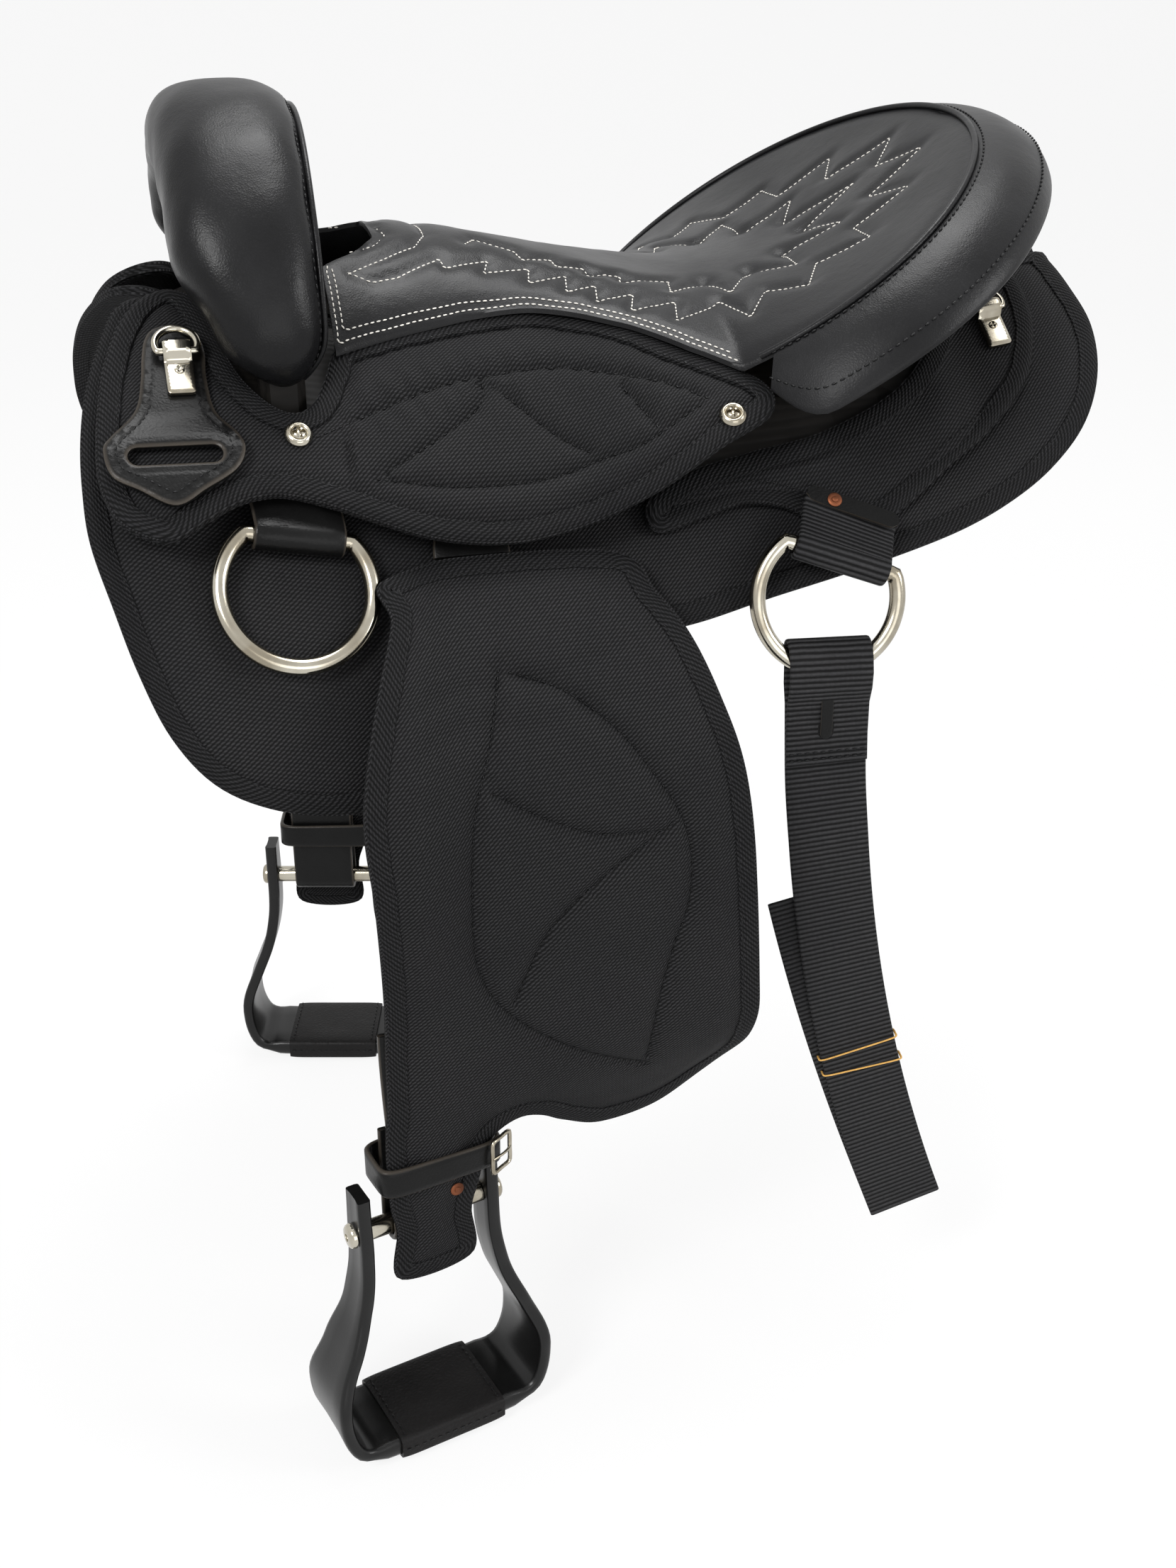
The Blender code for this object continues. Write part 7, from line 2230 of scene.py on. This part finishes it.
def make_tie_strap():
    line, near, fold = strap_line()
    path = [strap_point(drop, offset) for drop, offset in line]
    for i in range(1, 31):
        path[i - 31] -= strap_wide(0.2) * 0.016 * (i / 30) ** 1.6
    strap = ribbon("tie_strap_webbing", path, [strap_wide(drop) for drop, offset in line],
                   STRAP_WIDTH,
                   STRAP_THICK, "webbing", "tie_strap")
    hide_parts("tie_strap")
    out = Vector((strap_across().y, -strap_across().x, 0.0))
    face = near + STRAP_THICK / 2
    rows = []
    for drop in (0.0520, 0.0565):
        rows.append(([strap_point(drop,
                                  face + 0.0003) + strap_wide(drop) * (-0.022 + 0.044 * i / 20)
                      for i in range(21)], [out] * 21))
    stitches("tie_strap_stitching", "tie_strap", rows, "black_thread", 0.0034, 0.0012, 0.0046)
    # The slot piece is a near-black sheet round the tongue: painted shade where the inside of the
    # slot lies in shadow
    for name, half, kind, lift, bulge in (("slot", 0.0048, "slot_shade", 0.0001, 0.0),
                                          ("tongue", 0.0036, "bridle", 0.0004, 0.0016)):
        tongue = []
        shares = []
        for i in range(25):
            k = 2.0 * i / 24 - 1.0
            drop = 0.027 + 0.0165 * k
            bow = face + lift + bulge * (1.0 - k * k) + 0.0014 * smooth((0.03 - drop) / 0.02)
            tongue.append(strap_point(drop, bow) - strap_wide(drop) * 0.001)
            shares.append(math.sqrt(max(0.02, 1.0 - max(0.0, (abs(k) - 0.72) / 0.28) ** 2)))
        ribbon("tie_strap_" + name, tongue, [strap_wide(0.03)] * 25, half * 2, 0.0010, kind,
               "tie_strap", shares)
    for name, drop in zip(("upper", "lower"), BAND_DROPS):
        half = STRAP_WIDTH / 2 + BAND_SIZE / 2 + 0.0006
        deep = (near + fold) / 2 + STRAP_THICK / 2 + BAND_SIZE / 2 + 0.0010
        loop = []
        for i in range(96):
            t = 2 * math.pi * (i + 0.5) / 96
            c = math.copysign(abs(math.cos(t)) ** 0.25, math.cos(t))
            s = math.copysign(abs(math.sin(t)) ** 0.25, math.sin(t))
            slant = 0.0022 * c if name == "lower" else -0.0008 * c
            loop.append(strap_point(drop + slant,
                                    deep * s + (near - fold) / 2) + strap_wide(drop) * half * c)
        band = swept("rubber_band_yellow_" + name, rod_rings(loop, BAND_SIZE / 2, 10, True, 0.7),
                     "rubber",
                     "tie_strap", closed=True)
        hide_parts("rubber_band_" + name)


# ---------------------------------------------------------------- stage

PAPER_GLOW = 0.86
ROOM_LIGHT = 0.45
FENDER_RELIEF = 0.0020
CAMERA_PLACE = (-0.305, -1.133, 0.266)
CAMERA_TURN = -15.0
CAMERA_RISE = 26.0


def seen_rays(tree):
    """1 for the rays that show the background itself: camera, glossy and transmission rays."""
    path = add_node(tree, "ShaderNodeLightPath")
    last = path.outputs["Is Camera Ray"]
    for name in ("Is Glossy Ray", "Is Transmission Ray"):
        last = add_node(tree, "ShaderNodeMath", links={0: last, 1: path.outputs[name]},
                        operation="MAXIMUM").outputs[0]
    return last


def make_stage():
    """Pale floor that keeps the shadow, soft lamps, and the camera of the photograph."""
    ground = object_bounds()[0][2] - 0.004
    bm = bmesh.new()
    reach = 9.0
    rows = [(-reach, 0.0), (3.0, 0.0), (4.2, 0.12), (5.2, 0.55), (5.9, 1.4), (6.2, 2.6), (6.2, 7.0)]
    made = []
    for y, z in rows:
        made.append([bm.verts.new((x, y, ground + z)) for x in (-reach, reach)])
    for a, b in zip(made, made[1:]):
        bm.faces.new((a[0], a[1], b[1], b[0]))
    mesh = bpy.data.meshes.new("paper_sweep")
    bm.to_mesh(mesh)
    bm.free()
    mesh.shade_smooth()
    sweep = bpy.data.objects.new("paper_sweep", mesh)
    bpy.context.collection.objects.link(sweep)
    # White studio paper: shows as white to the camera and keeps a soft shadow
    paper = bpy.data.materials.new("white_paper")
    paper.use_nodes = True
    tree = paper.node_tree
    shader = tree.nodes["Principled BSDF"]
    shader.inputs["Base Color"].default_value = linear("#ececec")
    shader.inputs["Roughness"].default_value = 0.9
    share = add_node(tree, "ShaderNodeMath", {1: PAPER_GLOW}, {0: seen_rays(tree)},
                     operation="MULTIPLY")
    glow = add_node(tree, "ShaderNodeEmission", {"Color": (1, 1, 1, 1), "Strength": 1.0})
    mixed = add_node(tree, "ShaderNodeMixShader",
                     links={0: share.outputs[0], 1: shader.outputs[0], 2: glow.outputs[0]})
    tree.links.new(mixed.outputs[0], tree.nodes["Material Output"].inputs["Surface"])
    mesh.materials.append(paper)
    sweep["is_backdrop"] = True
    world = bpy.data.worlds.new("soft_room")
    world.use_nodes = True
    bpy.context.scene.world = world
    tree = world.node_tree
    background = tree.nodes["Background"]
    level = add_node(tree, "ShaderNodeMath", {1: 1.0 - ROOM_LIGHT, 2: ROOM_LIGHT},
                     {0: seen_rays(tree)}, operation="MULTIPLY_ADD")
    background.inputs["Color"].default_value = (1, 1, 1, 1)
    tree.links.new(level.outputs[0], background.inputs["Strength"])
    aim = Vector((-0.02, 0.0, -0.20))
    for name, place, size, power in (("key_softbox", (-1.7, -1.7, 1.6), 0.9, 60.0),
                                     ("top_softbox", (0.3, 0.4, 2.2), 1.3, 55.0),
                                     ("right_softbox", (2.2, -1.5, 0.9), 1.0, 34.0),
                                     ("low_softbox", (0.2, -2.6, -0.1), 1.6, 14.0)):
        lamp = bpy.data.lights.new(name, "AREA")
        lamp.shape = "SQUARE"
        lamp.size = size
        lamp.energy = power
        holder = bpy.data.objects.new(name, lamp)
        bpy.context.collection.objects.link(holder)
        holder.location = place
        holder.rotation_euler = (aim - Vector(place)).to_track_quat("-Z", "Y").to_euler()
    camera = bpy.data.cameras.new("photo_camera")
    camera.lens = 2600.0 / 2212.0 * 36.0
    camera.sensor_width = 36.0
    camera.sensor_fit = "AUTO"
    camera.clip_start = 0.05
    camera.clip_end = 60.0
    holder = bpy.data.objects.new("photo_camera", camera)
    bpy.context.collection.objects.link(holder)
    turn, rise = math.radians(CAMERA_TURN), math.radians(CAMERA_RISE)
    ahead = Vector((-math.sin(turn) * math.cos(rise), math.cos(turn) * math.cos(rise),
                    -math.sin(rise)))
    holder.location = CAMERA_PLACE
    holder.rotation_euler = ahead.to_track_quat("-Z", "Y").to_euler()
    bpy.context.scene.camera = holder
    bpy.context.scene.view_settings.view_transform = "Standard"


# ---------------------------------------------------------------- operators

class SADDLE_OT_stage(bpy.types.Operator):
    """Make the floor, the lamps and the camera"""
    bl_idname = "saddle.stage"
    bl_label = "Stage"

    def execute(self, context):
        make_stage()
        return {"FINISHED"}


class SADDLE_OT_tree(bpy.types.Operator):
    """Give the wooden tree its material"""
    bl_idname = "saddle.tree"
    bl_label = "Tree"

    def execute(self, context):
        for node in ("tree_bar_left", "tree_bar_right", "tree_cantle", "tree_fork"):
            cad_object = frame["nodes"][node]
            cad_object.data.materials.clear()
            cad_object.data.materials.append(stuff("wood"))
        strainer = frame["nodes"]["ground_seat"]
        strainer.data.materials.clear()
        strainer.data.materials.append(stuff("ply"))
        return {"FINISHED"}


class SADDLE_OT_seat(bpy.types.Operator):
    """Make the seat leather with its white stitching, and the foam under it"""
    bl_idname = "saddle.seat"
    bl_label = "Seat"

    def execute(self, context):
        make_seat()
        return {"FINISHED"}


class SADDLE_OT_cantle(bpy.types.Operator):
    """Make the cantle roll, its seams and the cantle back"""
    bl_idname = "saddle.cantle"
    bl_label = "Cantle"

    def execute(self, context):
        make_cantle()
        return {"FINISHED"}


class SADDLE_OT_pommel(bpy.types.Operator):
    """Make the padded leather over the pommel"""
    bl_idname = "saddle.pommel"
    bl_label = "Pommel"

    def execute(self, context):
        make_pommel()
        return {"FINISHED"}


class SADDLE_OT_skirts(bpy.types.Operator):
    """Make the lower and upper skirts with their bindings"""
    bl_idname = "saddle.skirts"
    bl_label = "Skirts"

    def execute(self, context):
        for side, tag in SIDES:
            make_lower_skirt(side, tag)
            make_rear_skirt(side, tag)
        return {"FINISHED"}


class SADDLE_OT_jockeys(bpy.types.Operator):
    """Make the quilted jockeys and their screws with cup washers"""
    bl_idname = "saddle.jockeys"
    bl_label = "Jockeys"

    def execute(self, context):
        for side, tag in SIDES:
            make_jockey(side, tag)
            for name, x, u in SCREWS:
                make_jockey_screw(side, tag, name, x, u)
        return {"FINISHED"}


class SADDLE_OT_rigging(bpy.types.Operator):
    """Make the rigging dees, their straps, keepers and plates"""
    bl_idname = "saddle.rigging"
    bl_label = "Rigging"

    def execute(self, context):
        for side, tag in SIDES:
            make_rigging(side, tag)
        return {"FINISHED"}


class SADDLE_OT_tabs(bpy.types.Operator):
    """Make the leather tabs, the clip plates, the small dees and their screws"""
    bl_idname = "saddle.tabs"
    bl_label = "Tabs and clips"

    def execute(self, context):
        places = []
        for side, tag in SIDES:
            make_tab(side, tag)
            places += make_small_clip(side, tag, True)
            places += make_small_clip(side, tag, False)
        screw_heads("clip_screws", "saddle", places)
        return {"FINISHED"}


class SADDLE_OT_fenders(bpy.types.Operator):
    """Make the quilted fenders, the stirrup leathers and the hobble straps"""
    bl_idname = "saddle.fenders"
    bl_label = "Fenders"

    def execute(self, context):
        for side, tag in SIDES:
            make_fender(side, tag)
            make_leathers(side, tag)
            make_hobble(side, tag)
        return {"FINISHED"}


class SADDLE_OT_stirrups(bpy.types.Operator):
    """Make the stirrups, their neck bolts and tread covers"""
    bl_idname = "saddle.stirrups"
    bl_label = "Stirrups"

    def execute(self, context):
        for side, tag in SIDES:
            make_stirrup(side, tag)
        return {"FINISHED"}


class SADDLE_OT_tie_strap(bpy.types.Operator):
    """Make the webbing tie strap and its rubber bands"""
    bl_idname = "saddle.tie_strap"
    bl_label = "Tie strap"

    def execute(self, context):
        make_tie_strap()
        return {"FINISHED"}


OPERATORS = (SADDLE_OT_stage, SADDLE_OT_tree, SADDLE_OT_seat, SADDLE_OT_cantle, SADDLE_OT_pommel,
             SADDLE_OT_skirts, SADDLE_OT_jockeys, SADDLE_OT_rigging, SADDLE_OT_tabs,
             SADDLE_OT_fenders,
             SADDLE_OT_stirrups, SADDLE_OT_tie_strap)


class SADDLE_PT_panel(bpy.types.Panel):
    """Lists the sizes, colours and pieces of the saddle"""
    bl_idname = "SADDLE_PT_panel"
    bl_label = "Endurance saddle"
    bl_space_type = "VIEW_3D"
    bl_region_type = "UI"
    bl_category = "Saddle"

    def draw(self, context):
        for name in SaddleSizes.__annotations__:
            self.layout.prop(context.scene.saddle_sizes, name)
        for name in SaddleColours.__annotations__:
            self.layout.prop(context.scene.saddle_colours, name)
        for operator in OPERATORS:
            self.layout.operator(operator.bl_idname)


CLASSES = (SaddleSizes, SaddleColours) + OPERATORS + (SADDLE_PT_panel,)


def register():
    for item in CLASSES:
        bpy.utils.register_class(item)
    bpy.types.Scene.saddle_sizes = bpy.props.PointerProperty(type=SaddleSizes)
    bpy.types.Scene.saddle_colours = bpy.props.PointerProperty(type=SaddleColours)


def unregister():
    del bpy.types.Scene.saddle_colours
    del bpy.types.Scene.saddle_sizes
    for item in reversed(CLASSES):
        bpy.utils.unregister_class(item)


def main():
    register()
    bpy.ops.saddle.stage()
    bpy.ops.saddle.tree()
    bpy.ops.saddle.seat()
    bpy.ops.saddle.cantle()
    bpy.ops.saddle.pommel()
    bpy.ops.saddle.skirts()
    bpy.ops.saddle.jockeys()
    bpy.ops.saddle.rigging()
    bpy.ops.saddle.tabs()
    bpy.ops.saddle.fenders()
    bpy.ops.saddle.stirrups()
    bpy.ops.saddle.tie_strap()


if __name__ == "__main__":
    main()
